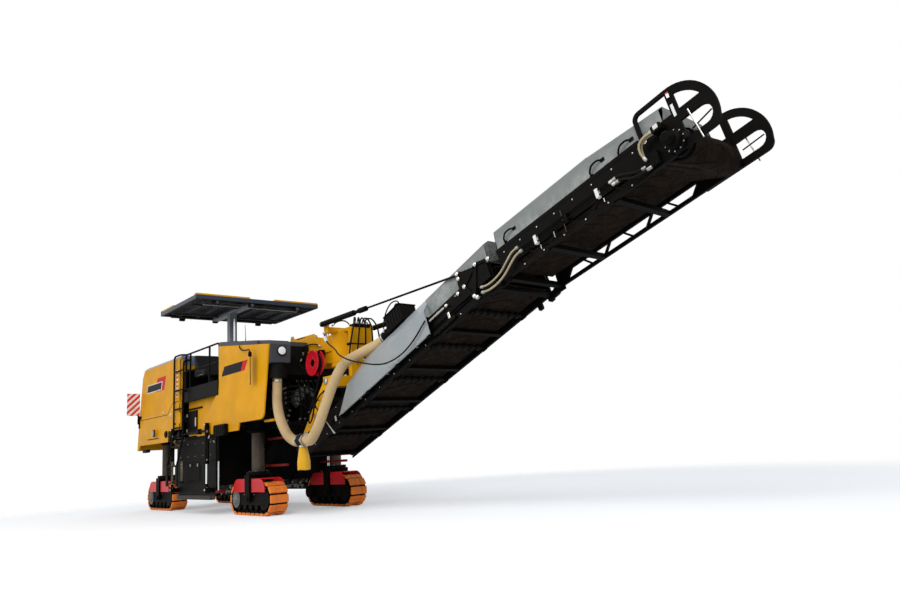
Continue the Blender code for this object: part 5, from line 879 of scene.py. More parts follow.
# Painted reflection: the mirror's glass is a tan metal that stands for the sky it reflects.
MIRROR_PAINTED_SKY = coat("mirror_glass_painted_tan_sky_reflection", "D9C8A8", 0.08, metal=1.0, vary=0.02, dusty=0.1, wear=0.0)
DULL_RED = coat("dull_red_bar", "6E100E", 0.55, vary=0.2, dusty=0.3, dust_and_shade_tint="3A2A22", wear=0.2)
CASTING = coat("grey_casting", "5E5E5A", 0.55, metal=0.2, vary=0.2, dusty=0.35)
TAPE = stripes("red_white_tape", FILM_RED, FILM_WHITE, UP, 0.045)
print("materials", len(bpy.data.materials))

# %% [markdown]
# ## Tracks
# A real track shoe is a forged plate on two chain rails, with a polyurethane pad bolted on for asphalt.
# The pads ride on body track_*, and the CAD's loop stands in for them in MuJoCo. The tree lays one pad, one
# shoe with its rails, and its bolts along the loop.

# %% Track shoes, pads and rails
TRACK_H, TRACK_LEN, TRACK_W, SHOES = 0.56, 1.7, 0.32, 22
PAD_T, LINK_T, TUCK, TUCK_TURN = 0.045, 0.048, 0.0055, math.radians(12.0)
STRAIGHT = TRACK_LEN - TRACK_H
PITCH = (2 * STRAIGHT + math.pi * TRACK_H) / SHOES


def loop_spot(share):
    """Place in X and Z, way and outward side on the pads' outer line, at a share of the loop."""
    way, turn, r = (share % 1.0) * PITCH * SHOES, math.pi * TRACK_H / 2, TRACK_H / 2
    if way < STRAIGHT:
        return (way - STRAIGHT / 2, 0.0), (1.0, 0.0), (0.0, -1.0)
    way -= STRAIGHT
    if way < turn:
        a = way / r - math.pi / 2
        return ((STRAIGHT / 2 + r * math.cos(a), r + r * math.sin(a)), (-math.sin(a), math.cos(a)),
            (math.cos(a), math.sin(a)))
    way -= turn
    if way < STRAIGHT:
        return (STRAIGHT / 2 - way, TRACK_H), (-1.0, 0.0), (0.0, 1.0)
    a = (way - STRAIGHT) / r + math.pi / 2
    return ((r * math.cos(a) - STRAIGHT / 2, r + r * math.sin(a)), (-math.sin(a), math.cos(a)),
        (math.cos(a), math.sin(a)))


pad = Stock(FLAT)
PAD_HALF, EDGE = 0.068, 0.011
for side in (-1, 1):
    pad.box((-PAD_HALF, PAD_HALF), (side * 0.052, side * TRACK_W / 2), (-PAD_T, -0.0005), PAD, EDGE)
pad.box((-PAD_HALF, PAD_HALF), (-0.054, 0.054), (-PAD_T, -0.0105), PAD, 0.006)
pad_mesh = pad.mesh("pad")
shoe = Stock(FLAT)
shoe.box((-0.084, 0.078), (-0.152, 0.152), (-PAD_T - 0.012, -PAD_T), TRACK, 0.003)
shoe.box((-0.09, -0.076), (-0.152, 0.152), (-PAD_T - 0.01, -PAD_T + 0.014), TRACK, 0.003)
for y in (-0.075, 0.075):
    shoe.box((-0.092, 0.07), about(y, 0.016), (-PAD_T - LINK_T + 0.003, -PAD_T - 0.01), TRACK, 0.005)
shoe.bar((-0.0915, -0.112, -PAD_T - 0.028), (-0.0915, 0.112, -PAD_T - 0.028), 0.015, TRACK, 10)
shoe_mesh = shoe.mesh("shoe")


def tucked(share):
    """A pad's place: drawn in on the arcs, where a flat pad's ends would stand proud of the loop."""
    (u, w), way, (nu, nw) = loop_spot(share)
    turned = math.acos(max(-1.0, min(1.0, -nw)))
    inward = TUCK * min(1.0, min(turned, math.pi - turned) / TUCK_TURN)
    return (u - nu * inward, w - nw * inward), way, (nu, nw)


REARMOST = min((loop_spot(k / 2000)[0][0], k / 2000) for k in range(2000))[1]
BOLT_SUNK = 0.0105
COLUMN_Y, REAR_X = 0.765, -4.75
COLUMNS = {"fr": (0.0, -COLUMN_Y), "fl": (0.0, COLUMN_Y), "rr": (REAR_X, -COLUMN_Y),
    "rl": (REAR_X, COLUMN_Y)}
for corner, (x, y) in COLUMNS.items():
    spots, bolts = [], []
    for k in range(SHOES):
        (u, w), (du, dw), (nu, nw) = tucked(k / SHOES + REARMOST)
        spots.append(((x + u, y, w), (du, 0.0, dw), (nu, 0.0, nw)))
        for dy in (-0.028, 0.028):
            bolts.append(((x + u - BOLT_SUNK * nu, y + dy, w - BOLT_SUNK * nw), (du, 0, dw), (nu, 0, nw),
                0.01))
    body = "track_" + corner
    copies(body + "_pad_set", body, spots, pad_mesh, PAD, replaces=[body + "_pads"])
    copies(body + "_shoes", body, spots, shoe_mesh, TRACK)
    copies(body + "_pad_bolts", body, bolts, BOLT, ZINC, angle=20.0)
    soften(body + "_frame", 0.006, [TRACK, COLUMN, DISC], tests=[lambda p, n: p.z >= YOKE_TOP_Z,
        lambda p, n: n.y * y > 0.5 and p.x - MACHINE_X - x < -0.4 and abs(p.y) > abs(y) + 0.155])
    soften(body + "_guard", 0.003, [GUARD])
print("track shoes", 4 * SHOES, "pitch", round(PITCH, 4))

# %% [markdown]
# ## The dust hose
# Two legs hang between the duct under the console, the coupling and the fan. The wall of a spiral hose
# bulges between the turns of its wire, so the tube's radius waves along its line.

# %% Hose legs
def smooth_route(points, step):
    """Points a step apart on a smooth curve through the given points, as the CAD lays its hoses."""
    pts = [Vector(p) for p in points]
    pts = [2 * pts[0] - pts[1]] + pts + [2 * pts[-1] - pts[-2]]
    out = []
    for a, b, c, d in zip(pts, pts[1:], pts[2:], pts[3:]):
        parts = max(2, round((c - b).length / step))
        for i in range(parts):
            t = i / parts
            out.append(0.5 * (2 * b + (c - a) * t + (2 * a - 5 * b + 4 * c - d) * t ** 2
                + (3 * b - a - 3 * c + d) * t ** 3))
    out.append(pts[-2])
    return out


def length_of(points):
    return sum((b - a).length for a, b in zip(points, points[1:]))


def even(points, step):
    """The same line with its points a step apart."""
    total = length_of(points)
    count = max(2, round(total / step))
    out, i, done = [points[0].copy()], 0, 0.0
    for k in range(1, count):
        goal = total * k / count
        while done + (points[i + 1] - points[i]).length < goal:
            done += (points[i + 1] - points[i]).length
            i += 1
        part = (goal - done) / (points[i + 1] - points[i]).length
        out.append(points[i].lerp(points[i + 1], part))
    return out + [points[-1].copy()]


TIP = MACHINE.inverted() @ LOWER @ Vector((2.2997, -0.265, 0.5623))
ALONG = LOWER.to_3x3() @ FORE
REAR_ROUTE = [(1.22, -0.97, 2.2597), (1.22, -0.97, 2.1), (1.26, -0.99, 1.85), (1.38, -1.0, 1.58),
    (1.56, -0.97, 1.32), (1.75, -0.93, 1.2), (1.9097, -0.93, 1.2)]
FRONT_ROUTE = [(2.1303, -0.93, 1.2), (2.29, -0.93, 1.2), (2.52, -0.92, 1.42), (2.68, -0.88, 1.72),
    (2.78, -0.8, 2.02), (2.86, -0.66, 2.3), (2.98, -0.44, 2.46), tuple(TIP - ALONG * 0.16), tuple(TIP)]
RIB, HOSE_R = 0.016, 0.08


def ribbed(route, radius):
    """The hose's centre line and its radius at each point, a wave of four points to a rib."""
    line = even(smooth_route(route, 0.02), RIB / 4)
    wave = [radius - 0.0035 + 0.003 * math.cos(math.tau * k / 4) for k in range(len(line))]
    return line, wave


for name, route, bodies, ends in (("dust_hose_rear", REAR_ROUTE, ("root", "slew_bracket"),
        ((1.22, -0.97, 2.1), (1.75, -0.93, 1.2))), ("dust_hose_front", FRONT_ROUTE,
        ("slew_bracket", "conveyor_lower"), ((2.29, -0.93, 1.2), (2.98, -0.44, 2.46)))):
    line, wave = ribbed(route, HOSE_R)
    hose = Stock()
    hose.pipe(line, wave, HOSE, 28)
    obj = placed(name + "_skin", hose.mesh(name + "_skin", 60.0))
    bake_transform(obj)
    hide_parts(name)
    print(name, "length", round(length_of(line), 3))

# %% [markdown]
# ## Rear body and hood
# The hood parts from the body along a seam that steps up at the front. A gasket fills it. A stainless
# latch holds the front, and the hinge is at the rear edge. The work lamp sits in a round bezel. The badge
# is a bare plate, white-edged black with a red end.

# %% Fittings of the rear body
body_right = Stock()
flank(body_right, strip([(-5.225, 2.003), (-3.325, 2.003), (-3.022, 2.223), (-2.59, 2.223)], 0.0065),
    0.0025, SEAL)
flank(body_right, patch(-3.16, -3.08, 1.93, 2.02), 0.012, STAINLESS, edge=0.004)
body_right.pipe(bent([(-3.15, -1.262, 1.95), (-3.15, -1.268, 1.985), (-3.09, -1.268, 1.985),
    (-3.09, -1.262, 1.95), (-3.15, -1.262, 1.95)], 0.012), 0.005, STAINLESS, 8)
for x, z in ((-3.36, 1.87), (-4.76, 1.7), (-3.36, 1.55), (-5.05, 1.52)):
    body_right.turned((x, -1.238, z), RIGHT, boss(0.024, 0.006, 0.009, 0.016) + [(0.011, 0.016)], STAINLESS,
        16)
flank(body_right, patch(-4.6, -3.86, 1.535, 1.557), 0.004, SEAL)
body_right.turned((-4.02, -1.285, 1.66), RIGHT, [(0, 0.076), (0.012, 0.08), (0.02, 0.08), (0.022, 0.072)],
    SEAL, 28)
body_right.turned((-4.02, -1.3, 1.66), RIGHT, [(0, 0.066), (0.009, 0.064), (0.014, 0.045), (0.016, 0.0)],
    LENS_DARK, 28)
body_right.box((-5.1, -4.86), (-1.2, -1.1), (1.275, 1.345), SEAL, 0.015)
for z in (1.6, 2.0):
    flank(body_right, strip([(-2.6, z), (-2.6, z + 0.18)], 0.008), 0.01, SEAL)
ride_both(body_right, "rear_body_fittings", "root")

# %% Fittings of the hood: bare badge, reflective tape, edge gasket
hood_right = Stock()
flank(hood_right, patch(-4.1, -3.56, 2.55, 2.84, 0.1), 0.003, BARE_RED)
flank(hood_right, patch(-4.7, -3.72, 2.565, 2.745, 0.06), 0.005, BARE_WHITE)
flank(hood_right, patch(-4.67, -3.75, 2.583, 2.727, 0.05), 0.007, BARE_BLACK)
flank(hood_right, patch(-2.8, -2.735, 2.32, 2.9), 0.003, TAPE)
flank(hood_right, strip([(-2.592, 2.24), (-2.592, 3.08)], 0.01), 0.008, SEAL)
flank(hood_right, patch(-3.6, -3.5, 2.055, 2.085), 0.018, STAINLESS, edge=0.006)
hood_right.turned((-5.205, -1.236, 2.04), RIGHT, boss(0.055, 0.02, 0.028, 0.045), SEAL, 20)
hood_right.box((-5.18, -5.06), (-1.262, -1.236), (2.03, 2.1), BLACK, 0.008)
ride_both(hood_right, "hood_fittings", "engine_hood")

# %% [markdown]
# The hood's front wall faces the platform: a band under the roof in the roof's painted-reflection
# blue-grey, a yellow strip, and a black air screen. The tail has a radiator screen with slats, laid by the
# same tree as the track shoes, and lamps beside it. The roof carries low screens and a short flat exhaust
# outlet.

# %% Screens with slats
def screen(name, body, place, width, height, rows, finish=BLACK, rim=0.03, depth=0.022):
    """A framed screen of slats in a local frame with Z outward, its middle at the frame's zero."""
    parts = Stock()
    w, h = width / 2, height / 2
    for sign in (-1, 1):
        parts.box((-w, w), (sign * h - rim / 2, sign * h + rim / 2), (-0.004, depth), finish, 0.004, place)
        parts.box((sign * w - rim / 2, sign * w + rim / 2), (-h, h), (-0.004, depth), finish, 0.004, place)
    parts.box((-w, w), (-h, h), (-0.005, 0.002), SEAL, 0.001, place)
    parts.ride(name + "_rim", body)
    slat = Stock(FLAT)
    slat.plate([(-0.01, 0.0), (0.01, 0.008), (0.01, 0.011), (-0.01, 0.003)], (0, -(w - rim / 2), 0), FORE,
        UP, -(2 * w - rim), finish, 0.0004)
    local = place.to_3x3()
    up_way, out_way = tuple(local @ -RIGHT), tuple(local @ UP)
    pitch = (height - rim) / rows
    spots = [(tuple(place @ Vector((0, -h + rim / 2 + pitch * (k + 0.5), 0.004))), up_way, out_way)
        for k in range(rows)]
    copies(name + "_slats", body, spots, slat.mesh(name + "_slat"), finish)


tail = frame_at((-5.13, 0.0, 2.48), RIGHT, (0.2, 0, 0.94))
screen("tail_screen", "engine_hood", tail, 1.6, 0.62, 22)
screen("front_screen", "engine_hood", frame_at((-2.58, 0.0, 2.56), -RIGHT, UP), 2.2, 0.58, 18)
# The roof screen is framed in the roof's painted sky reflection.
screen("roof_screen", "engine_hood", frame_at((-3.3, 0.1, 3.165), -RIGHT, -FORE), 1.3, 0.6, 18, finish=ROOF_SKY_REFLECTION,
    depth=0.016)
hood_front = Stock()
hood_front.plate([(-1.2, 2.95), (1.2, 2.95), (1.2, 3.085), (1.17, 3.115), (-1.17, 3.115), (-1.2, 3.085)],
    (-2.583, 0, 0), -RIGHT, UP, 0.006, ROOF_SKY_REFLECTION, 0.002)
for y in (-0.55, 0.0, 0.55):
    hood_front.turned((-2.56, y, 2.905), FORE, boss(0.03, 0.012, 0.018, 0.02), LENS_WHITE, 16)
hood_front.turned((-4.35, 0.7, 3.155), UP, [(0, 0.1), (0.02, 0.1), (0.02, 0.075), (0.11, 0.075),
    (0.115, 0.07)], SKID, 24)
hood_front.ride("hood_front_and_outlet", "engine_hood")
tail_lamps = Stock()
TAIL_WAY = (-1, 0, 0.16)
for y, lens in ((-1.08, LENS_RED), (-0.96, LENS_AMBER)):
    tail_lamps.turned((-5.281, y, 1.7), TAIL_WAY, boss(0.052, 0.014, 0.018, 0.046), SEAL, 20)
    tail_lamps.turned((-5.295, y, 1.702), TAIL_WAY, [(0, 0.042), (0.01, 0.04), (0.014, 0.0)], lens, 20)
tail_lamps.box((-5.36, -5.29), (-0.3, 0.0), (1.36, 1.46), BLACK, 0.01)
tail_lamps.bar((-5.34, -0.15, 1.34), (-5.34, -0.15, 1.5), 0.022, ZINC)
ride_both(tail_lamps, "tail_lamps", "root")
rim_spots = [((x, -1.24, 1.48 if x < -3.3 else 1.7), RIGHT) for x in (-5.1, -4.7, -3.45, -3.1, -2.75)]
bolt_heads("body_bolts", "root", rim_spots, 0.011, both=True)

# %% [markdown]
# ## Side panels and console
# The console is a grey moulded cap with a lamp in each front corner. The panel's bare plate, black with a
# red end, follows the photograph. A mirror on a bent arm hangs at the panel, edge-on to the camera.

# %% Fittings of the panels and the console
front_right = Stock()
flank(front_right, [(-0.55, 2.487), (0.3, 2.487), (0.4, 2.655), (-0.42, 2.655)], 0.004, BARE_BLACK,
    y=PANEL_Y)
flank(front_right, [(0.3, 2.487), (0.455, 2.487), (0.59, 2.655), (0.4, 2.655)], 0.004, BARE_RED, y=PANEL_Y)
front_right.pipe(bent([(0.22, -1.1, 3.02), (0.25, -1.215, 2.93), (0.4, -1.225, 2.84), (0.6, -1.24, 2.81),
    (0.8, -1.27, 2.8), (0.865, -1.28, 2.74)], 0.05), 0.01, BLACK, 10)
front_right.turned((0.865, -1.28, 2.665), UP, [(0, 0.022), (0.01, 0.03), (0.06, 0.03), (0.085, 0.018)],
    BLACK, 14)
mirror_place = frame_at((0.872, -1.285, 2.43), (0.916, -0.4, 0), UP)
front_right.box((-0.08, 0.08), (-0.235, 0.235), (-0.01, 0.006), BLACK, 0.008, mirror_place)
# The mirror's glass carries the painted tan sky reflection.
front_right.box((-0.074, 0.074), (-0.228, 0.228), (0.003, 0.0085), MIRROR_PAINTED_SKY, 0.002, mirror_place)
front_right.turned((-0.45, -0.98, 3.055), UP, boss(0.075, 0.022, 0.026, 0.06), YELLOW, 24)
front_right.turned((-0.45, -0.98, 3.075), UP, [(0, 0.052), (0.03, 0.052), (0.035, 0.066), (0.055, 0.066),
    (0.062, 0.058)], SEAL, 20)
front_right.pipe([(0.18, -1.06, 3.02), (0.18, -1.06, 3.1), (0.17, -1.065, 3.34)], [0.011, 0.006, 0.004],
    SEAL, 8)
lamp_at = Vector((1.435, -LAMP_Y, LAMP_Z))
front_right.turned(lamp_at - Vector((0.022, 0, 0)), FORE, [(0, 0.083), (0.022, 0.083), (0.028, 0.076),
    (0.024, 0.068)], SEAL, 32)
front_right.turned(lamp_at - Vector((0.002, 0, 0)), FORE,
    [(0, 0.067), (0.006, 0.065), (0.011, 0.045), (0.013, 0.0)], LENS_WHITE, 32)
on_slope = [(x, 2.92 - 0.124 * (x + 0.35)) for x in (-0.35, 0.1, 0.55, 1.0)]
for x, z in on_slope + [(-0.98, 1.92), (-1.45, 1.56), (0.02, 1.58), (1.2, 1.8)]:
    front_right.turned((x, PANEL_Y + 0.002, z), RIGHT, boss(0.016, 0.004, 0.006, 0.01), ZINC, 14)
front_right.box((-0.74, -0.24), (-1.285, -1.196), (1.42, 1.62), BLACK, 0.02)
for k in range(5):
    front_right.box((-0.7 + 0.09 * k, -0.66 + 0.09 * k), (-1.296, -1.28), (1.445, 1.595), BLACK, 0.004)
ride_both(front_right, "panel_fittings", "root")

# %% [markdown]
# ## Platform, belly and ladder
# The belly's sides are yellow, with a black door behind the ladder. The toe boards are deep black boxes.
# The ladder's handrail bends over into the railing.

# %% Platform, belly and ladder
deck, other_deck = Stock(), Stock()
for parts, side in ((deck, -1), (other_deck, 1)):
    parts.box((-2.56, -0.7), (side * 1.165, side * 1.215), (2.17, 2.45), BLACK, 0.008)
    parts.box((-2.56, -2.4), (side * 1.165, side * 1.205), (2.17, 2.8), BLACK, 0.012)
    parts.box((-2.57, -2.05), (side * 1.076, side * 1.108), (1.54, 2.0), BLACK, 0.008)
deck.box((-2.1, -2.06), (-1.122, -1.1), (1.68, 1.86), STAINLESS, 0.004)
deck.box((-2.52, -1.8), (-1.112, -1.076), (2.02, 2.05), BLACK, 0.004)
for z in (1.62, 1.92):
    deck.bar((-2.545, -1.112, z - 0.03), (-2.545, -1.112, z + 0.03), 0.012, ZINC, 10)
deck.box((-2.56, -0.7), (-1.15, 1.15), (2.448, 2.456), SKID, 0.002)
deck.ride("platform_fittings", "root")
other_deck.ride("platform_fittings_left", "root")
rail = Stock()
rail.pipe(bent([(-2.84, -1.275, 2.88), (-2.84, -1.275, 3.15), (-2.48, -1.275, 3.15), (-2.44, -1.16, 3.15)],
    0.08), 0.018, BLACK, 12)
rail.pipe(bent([(-2.3, -1.275, 2.88), (-2.3, -1.275, 3.0), (-2.25, -1.16, 3.02)], 0.05), 0.018, BLACK, 12)
for y in (-1.16, 1.16):
    rail.bar((-2.5, y, 2.8), (-0.76, y, 2.8), 0.014, BLACK, 12)
rail.ride("railing_joins", "root")
tread = Stock(FLAT)
tread.plate([(0.03, 0.0), (0.0, 0.014), (-0.03, 0.0), (0.0, -0.014)], (0, 0, 0), FORE, -RIGHT, 0.003, SKID,
    0.001)
tread_spots = []
for i in range(26):
    for j in range(32):
        x, y = -2.53 + 0.07 * i + (0.035 if j % 2 else 0.0), -1.1 + 0.071 * j
        turn_way = (0.7, 0.7, 0) if (i + j) % 2 else (0.7, -0.7, 0)
        if not (-2.45 < x < -1.75 and -1.1 < y < -0.5):
            tread_spots.append(((x, y, 2.4555), turn_way, UP))
copies("deck_tread", "root", tread_spots, tread.mesh("tread"), SKID)

# %% [markdown]
# ## Canopy
# The roof is a flat blue-grey shell. Its near edges carry yellow caps, and a light tube with two work
# lamps runs under the front edge.

# %% Canopy trim
top = Stock()
for ys in ((-1.462, -0.4), (0.12, 1.082)):
    top.box((-1.235, -1.134), ys, (4.122, 4.16), YELLOW, 0.01)
for y in (-1.462, 1.012):
    top.box((-3.148, -2.42), (y, y + 0.07), (4.122, 4.158), YELLOW, 0.01)
top.box((-3.148, -3.06), (-1.462, -0.6), (4.122, 4.158), YELLOW, 0.01)
for x in (-1.27, -3.02):
    top.bar((x, -1.3, 4.025), (x, 0.92, 4.025), 0.02, COLUMN)
# The bars under the canopy take the painted shade of its underside.
for x in (-2.7, -1.65):
    top.box(about(x, 0.03), (-1.38, 1.0), (4.015, 4.046), CANOPY_UNDER_SHADE, 0.006)
for x, way in ((-1.2, 1), (-3.08, -1)):
    for y in (-1.05, -0.35, 0.62):
        top.box(about(x, 0.04), about(y, 0.055), (3.965, 4.045), BLACK, 0.012)
        top.turned((x + 0.038 * way, y, 4.003), (way, 0, -0.25), [(0, 0.036), (0.008, 0.035), (0.011, 0.0)],
            LENS_DARK, 20)
top.turned((-2.14, -0.36, 2.44), UP, boss(0.16, 0.018, 0.022, 0.154), MAST, 4)
top.box((-2.235, -2.045), (-0.455, -0.265), (3.28, 3.36), BLACK, 0.01)
top.bar((-2.02, -0.36, 2.6), (-2.02, -0.36, 3.3), 0.03, BLACK)
top.bar((-2.02, -0.36, 3.28), (-2.02, -0.36, 3.9), 0.018, CHROME)
top.ride("canopy_trim", "root")
print("canopy and platform done")

# %% [markdown]
# ## Tower, slewing bracket and hoses
# The conveyor slews on a ring with bolts all round. Hoses in bundles loop over the hub and go down to the
# conveyor. They are pipes along smooth lines, with pressed sleeves at their ends.

# %% Slewing ring bolts and castings
SLEW_X = 1.9
ring = [(spot, UP) for spot in circle((SLEW_X, 0.0, 3.011), 0.255, 20, flat=True)]
bolt_heads("slew_ring_bolts", "slew_bracket", ring, 0.014)
side_spots = [((x, -0.272, z), RIGHT) for x in (1.06, 1.3, 1.56, 1.82) for z in (2.53, 2.88)]
bolt_heads("tower_bolts", "root", side_spots, 0.013, both=True)


def line_hose(parts, points, radius, finish=None, sleeve=0.05, sides=10, cap=None):
    """A smooth hydraulic hose with a pressed sleeve at each end."""
    line = smooth_route(points, 0.04)
    parts.pipe(line, radius, finish or RUBBER, sides)
    for a, b in ((line[0], line[1]), (line[-1], line[-2])):
        way = (b - a).normalized()
        parts.turned(a - way * 0.01, way, [(0, radius * 1.15), (0.012, radius * 1.5),
            (sleeve, radius * 1.5), (sleeve + 0.008, radius * 1.2)], cap or ZINC, 12)
    return line


tower = Stock()
tower.box((1.02, 1.86), (-0.3, -0.262), (2.66, 2.76), YELLOW, 0.01)
tower.bar((1.02, -0.36, 2.63), (1.4, -0.36, 2.66), 0.045, BLACK)
tower.bar((1.38, -0.36, 2.657), (1.6, -0.36, 2.675), 0.022, CHROME)
tower.box((1.56, 1.64), (-0.4, -0.3), (2.63, 2.71), BLACK, 0.01)
line_hose(tower, [(1.05, -0.4, 2.7), (1.1, -0.43, 2.8), (1.25, -0.42, 2.84), (1.38, -0.34, 2.84),
    (1.45, -0.28, 2.8)], 0.012)
line_hose(tower, [(1.02, -0.42, 2.62), (1.08, -0.48, 2.52), (1.2, -0.48, 2.44), (1.32, -0.4, 2.42),
    (1.42, -0.29, 2.48)], 0.012)
line_hose(tower, [(1.2, -0.29, 2.6), (1.3, -0.36, 2.52), (1.45, -0.36, 2.46), (1.6, -0.28, 2.44)], 0.01)
for y in (-0.2, 0.2):
    tower.turned((1.16, y, 3.0), (0, -1 if y < 0 else 1, 0), boss(0.045, 0.04, 0.046, 0.036), ZINC, 18)
tower.box((1.1, 1.7), (-0.1, 0.1), (2.935, 2.985), BLACK, 0.012)
for k, y in enumerate((-0.07, -0.025, 0.02, 0.065)):
    line_hose(tower, [(1.25 + 0.1 * k, y, 2.97), (1.28 + 0.1 * k, y, 3.06),
        (1.36 + 0.09 * k, y - 0.05, 3.09), (1.44 + 0.06 * k, y - 0.12, 3.03),
        (1.48 + 0.05 * k, y - 0.15, 2.96)], 0.011)
tower.ride("tower_rams_and_hoses", "root")

# %% Hoses over the hub and down the bracket
bundle = Stock()
bundle.box((2.2, 2.36), (-0.16, 0.16), (3.0, 3.06), BLACK, 0.012)
bundle.box((2.24, 2.34), (-0.24, 0.24), (2.7, 2.74), BLACK, 0.008)
for k in range(5):
    y = -0.1 + 0.05 * k
    out = y * 2.2
    line_hose(bundle, [(2.28, y, 3.05), (2.31, y, 3.14), (2.38, (y + out) / 2, 3.15), (2.45, out, 3.02),
        (2.45, out * 1.2, 2.82), (2.42, out * 1.3, 2.6), (2.38, out * 1.25, 2.42)], 0.013)
for side in (-1, 1):
    line_hose(bundle, [(2.2, side * 0.12, 3.04), (2.14, side * 0.2, 3.13), (2.06, side * 0.3, 3.12),
        (2.0, side * 0.36, 3.06)], 0.011)
    bundle.turned((1.92, side * 0.44, 3.09), (0, side, 0), boss(0.05, 0.02, 0.026, 0.04), ZINC, 18)
    bundle.turned((2.18, side * 0.6, 2.115), (0, side, 0), boss(0.055, 0.012, 0.018, 0.045), ZINC, 18)
    bundle.turned((1.45, side * 0.6, 1.3), (0, side, 0), boss(0.05, 0.012, 0.018, 0.04), ZINC, 18)
    line_hose(bundle, [(2.3, side * 0.3, 2.2), (2.2, side * 0.5, 2.05), (2.05, side * 0.64, 1.9),
        (1.9, side * 0.66, 1.72), (1.82, side * 0.64, 1.58)], 0.012)
bundle.ride("bracket_hoses_and_pins", "slew_bracket")
arms = [((2.18 - 0.73 * t, -0.597, 2.115 - 0.815 * t), RIGHT) for t in (0.16, 0.3, 0.7, 0.84)]
bolt_heads("arm_bolts", "slew_bracket", arms, 0.013, both=True)

# %% [markdown]
# ## Hose reel, washing hose and lance
# A red dished reel holds a washing hose. Its turns are rings of hose side by side. The free end leaves at
# the front, hangs in a loop, and ends at a lance. A clip on the hanger arm holds the lance, so the lance
# swings with the bracket.

# %% The reel
reel = Stock()
HUB_X, HUB_Y, HUB_Z, WASH_R = 1.55, -0.38, 2.49, 0.0118
hub = (HUB_X, HUB_Y, HUB_Z)
reel.turned(hub, RIGHT, [(0.0, 0.205), (0.004, 0.216), (0.01, 0.2195), (0.016, 0.214), (0.014, 0.19),
    (0.02, 0.13)], REEL, 48)
reel.turned(hub, RIGHT, [(0.012, 0.12), (0.112, 0.12)], REEL, 40)
reel.turned(hub, RIGHT, [(0.106, 0.15), (0.112, 0.205), (0.118, 0.2195), (0.126, 0.218), (0.1295, 0.206),
    (0.122, 0.195), (0.112, 0.12), (0.104, 0.07), (0.104, 0.05)], REEL, 48)
reel.turned(hub, RIGHT, [(0.1, 0.062), (0.112, 0.062), (0.118, 0.05), (0.118, 0.022)], BLACK, 24)
for spot in circle((HUB_X, -0.489, HUB_Z), 0.165, 5, 0.3):
    reel.turned(spot, RIGHT, boss(0.017, 0.006, 0.008, 0.012), BLACK, 12)
for layer, r in enumerate((0.133, 0.157)):
    for k in range(4 - layer):
        turns = circle((HUB_X, HUB_Y - 0.03 - 0.0235 * k - 0.012 * layer, HUB_Z), r, 40)
        reel.pipe(turns + turns[:1], WASH_R, RUBBER, 8, ends=False)
reel.ride("hose_reel_set", "hose_reel", replaces=["hose_reel"])
hub_spots = [((HUB_X + 0.085 * math.cos(a), -0.487, HUB_Z + 0.085 * math.sin(a)), RIGHT)
    for a in (0.5, 1.55, 2.6, 3.65, 4.7, 5.75)]
bolt_heads("reel_bolts", "hose_reel", hub_spots, 0.01)
print("reel faces", len(reel.faces))

# %% The washing hose and its lance
WASH = [(1.712, -0.445, 2.47), (1.714, -0.447, 2.36), (1.7, -0.46, 2.22), (1.665, -0.49, 2.05),
    (1.645, -0.54, 1.88), (1.66, -0.6, 1.72), (1.72, -0.66, 1.585), (1.82, -0.72, 1.495),
    (1.94, -0.77, 1.465), (2.06, -0.8, 1.5), (2.13, -0.81, 1.59), (2.14, -0.8, 1.69), (2.115, -0.8, 1.765)]
wash_line = even(smooth_route(WASH, 0.02), 0.05)
wash = Stock()
wash.pipe(wash_line, WASH_R, RUBBER, 12)
grip_part, lance = Stock(), Stock()
top_end, low_end = Vector(WASH[-1]), Vector((2.93, -0.9, 1.27))
grip = (low_end - top_end).normalized()
grip_part.bar(top_end - grip * 0.02, top_end + grip * 0.13, 0.019, BLACK, 14)
lance.bar(top_end + grip * 0.12, top_end + grip * 0.5, 0.01, BLACK, 12)
lance.bar(top_end + grip * 0.49, low_end, 0.008, STAINLESS, 12)
lance.bar(low_end - grip * 0.03, low_end + grip * 0.03, 0.014, ZINC, 12)
grip_part.pipe(bent([top_end + grip * 0.03, top_end + grip * 0.04 + Vector((-0.04, 0, -0.03)), top_end
    + grip * 0.11 + Vector((-0.03, 0, -0.03)), top_end + grip * 0.12], 0.02), 0.006, BLACK, 8)


def free_piece(stock, name):
    """Makes the stock's mesh as an object of its own, not yet riding on a body."""
    return placed(name, stock.mesh(name, 60.0))


wash_obj, grip_obj = free_piece(wash, "washing_hose"), free_piece(grip_part, "washing_lance_grip")
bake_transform(wash_obj)
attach(grip_obj, "slew_bracket")
clip = Vector((1.93, -0.59, 1.835))
lance.bar(clip, Vector((2.06, -0.775, 1.79)), 0.01, BLACK, 12)
lance.turned(top_end + grip * 0.01, grip, [(-0.012, 0.024), (0.012, 0.024)], BLACK, 14)
lance.bar(Vector((2.05, -0.772, 1.79)), top_end + grip * 0.005, 0.008, BLACK, 10)
lance.ride("washing_lance", "slew_bracket")

# %% [markdown]
# ## The black cable to the conveyor
# A cable leaves the bracket at a pale fitting, hangs in front of the dust hose, and lies on the cover's
# low side on its way up.

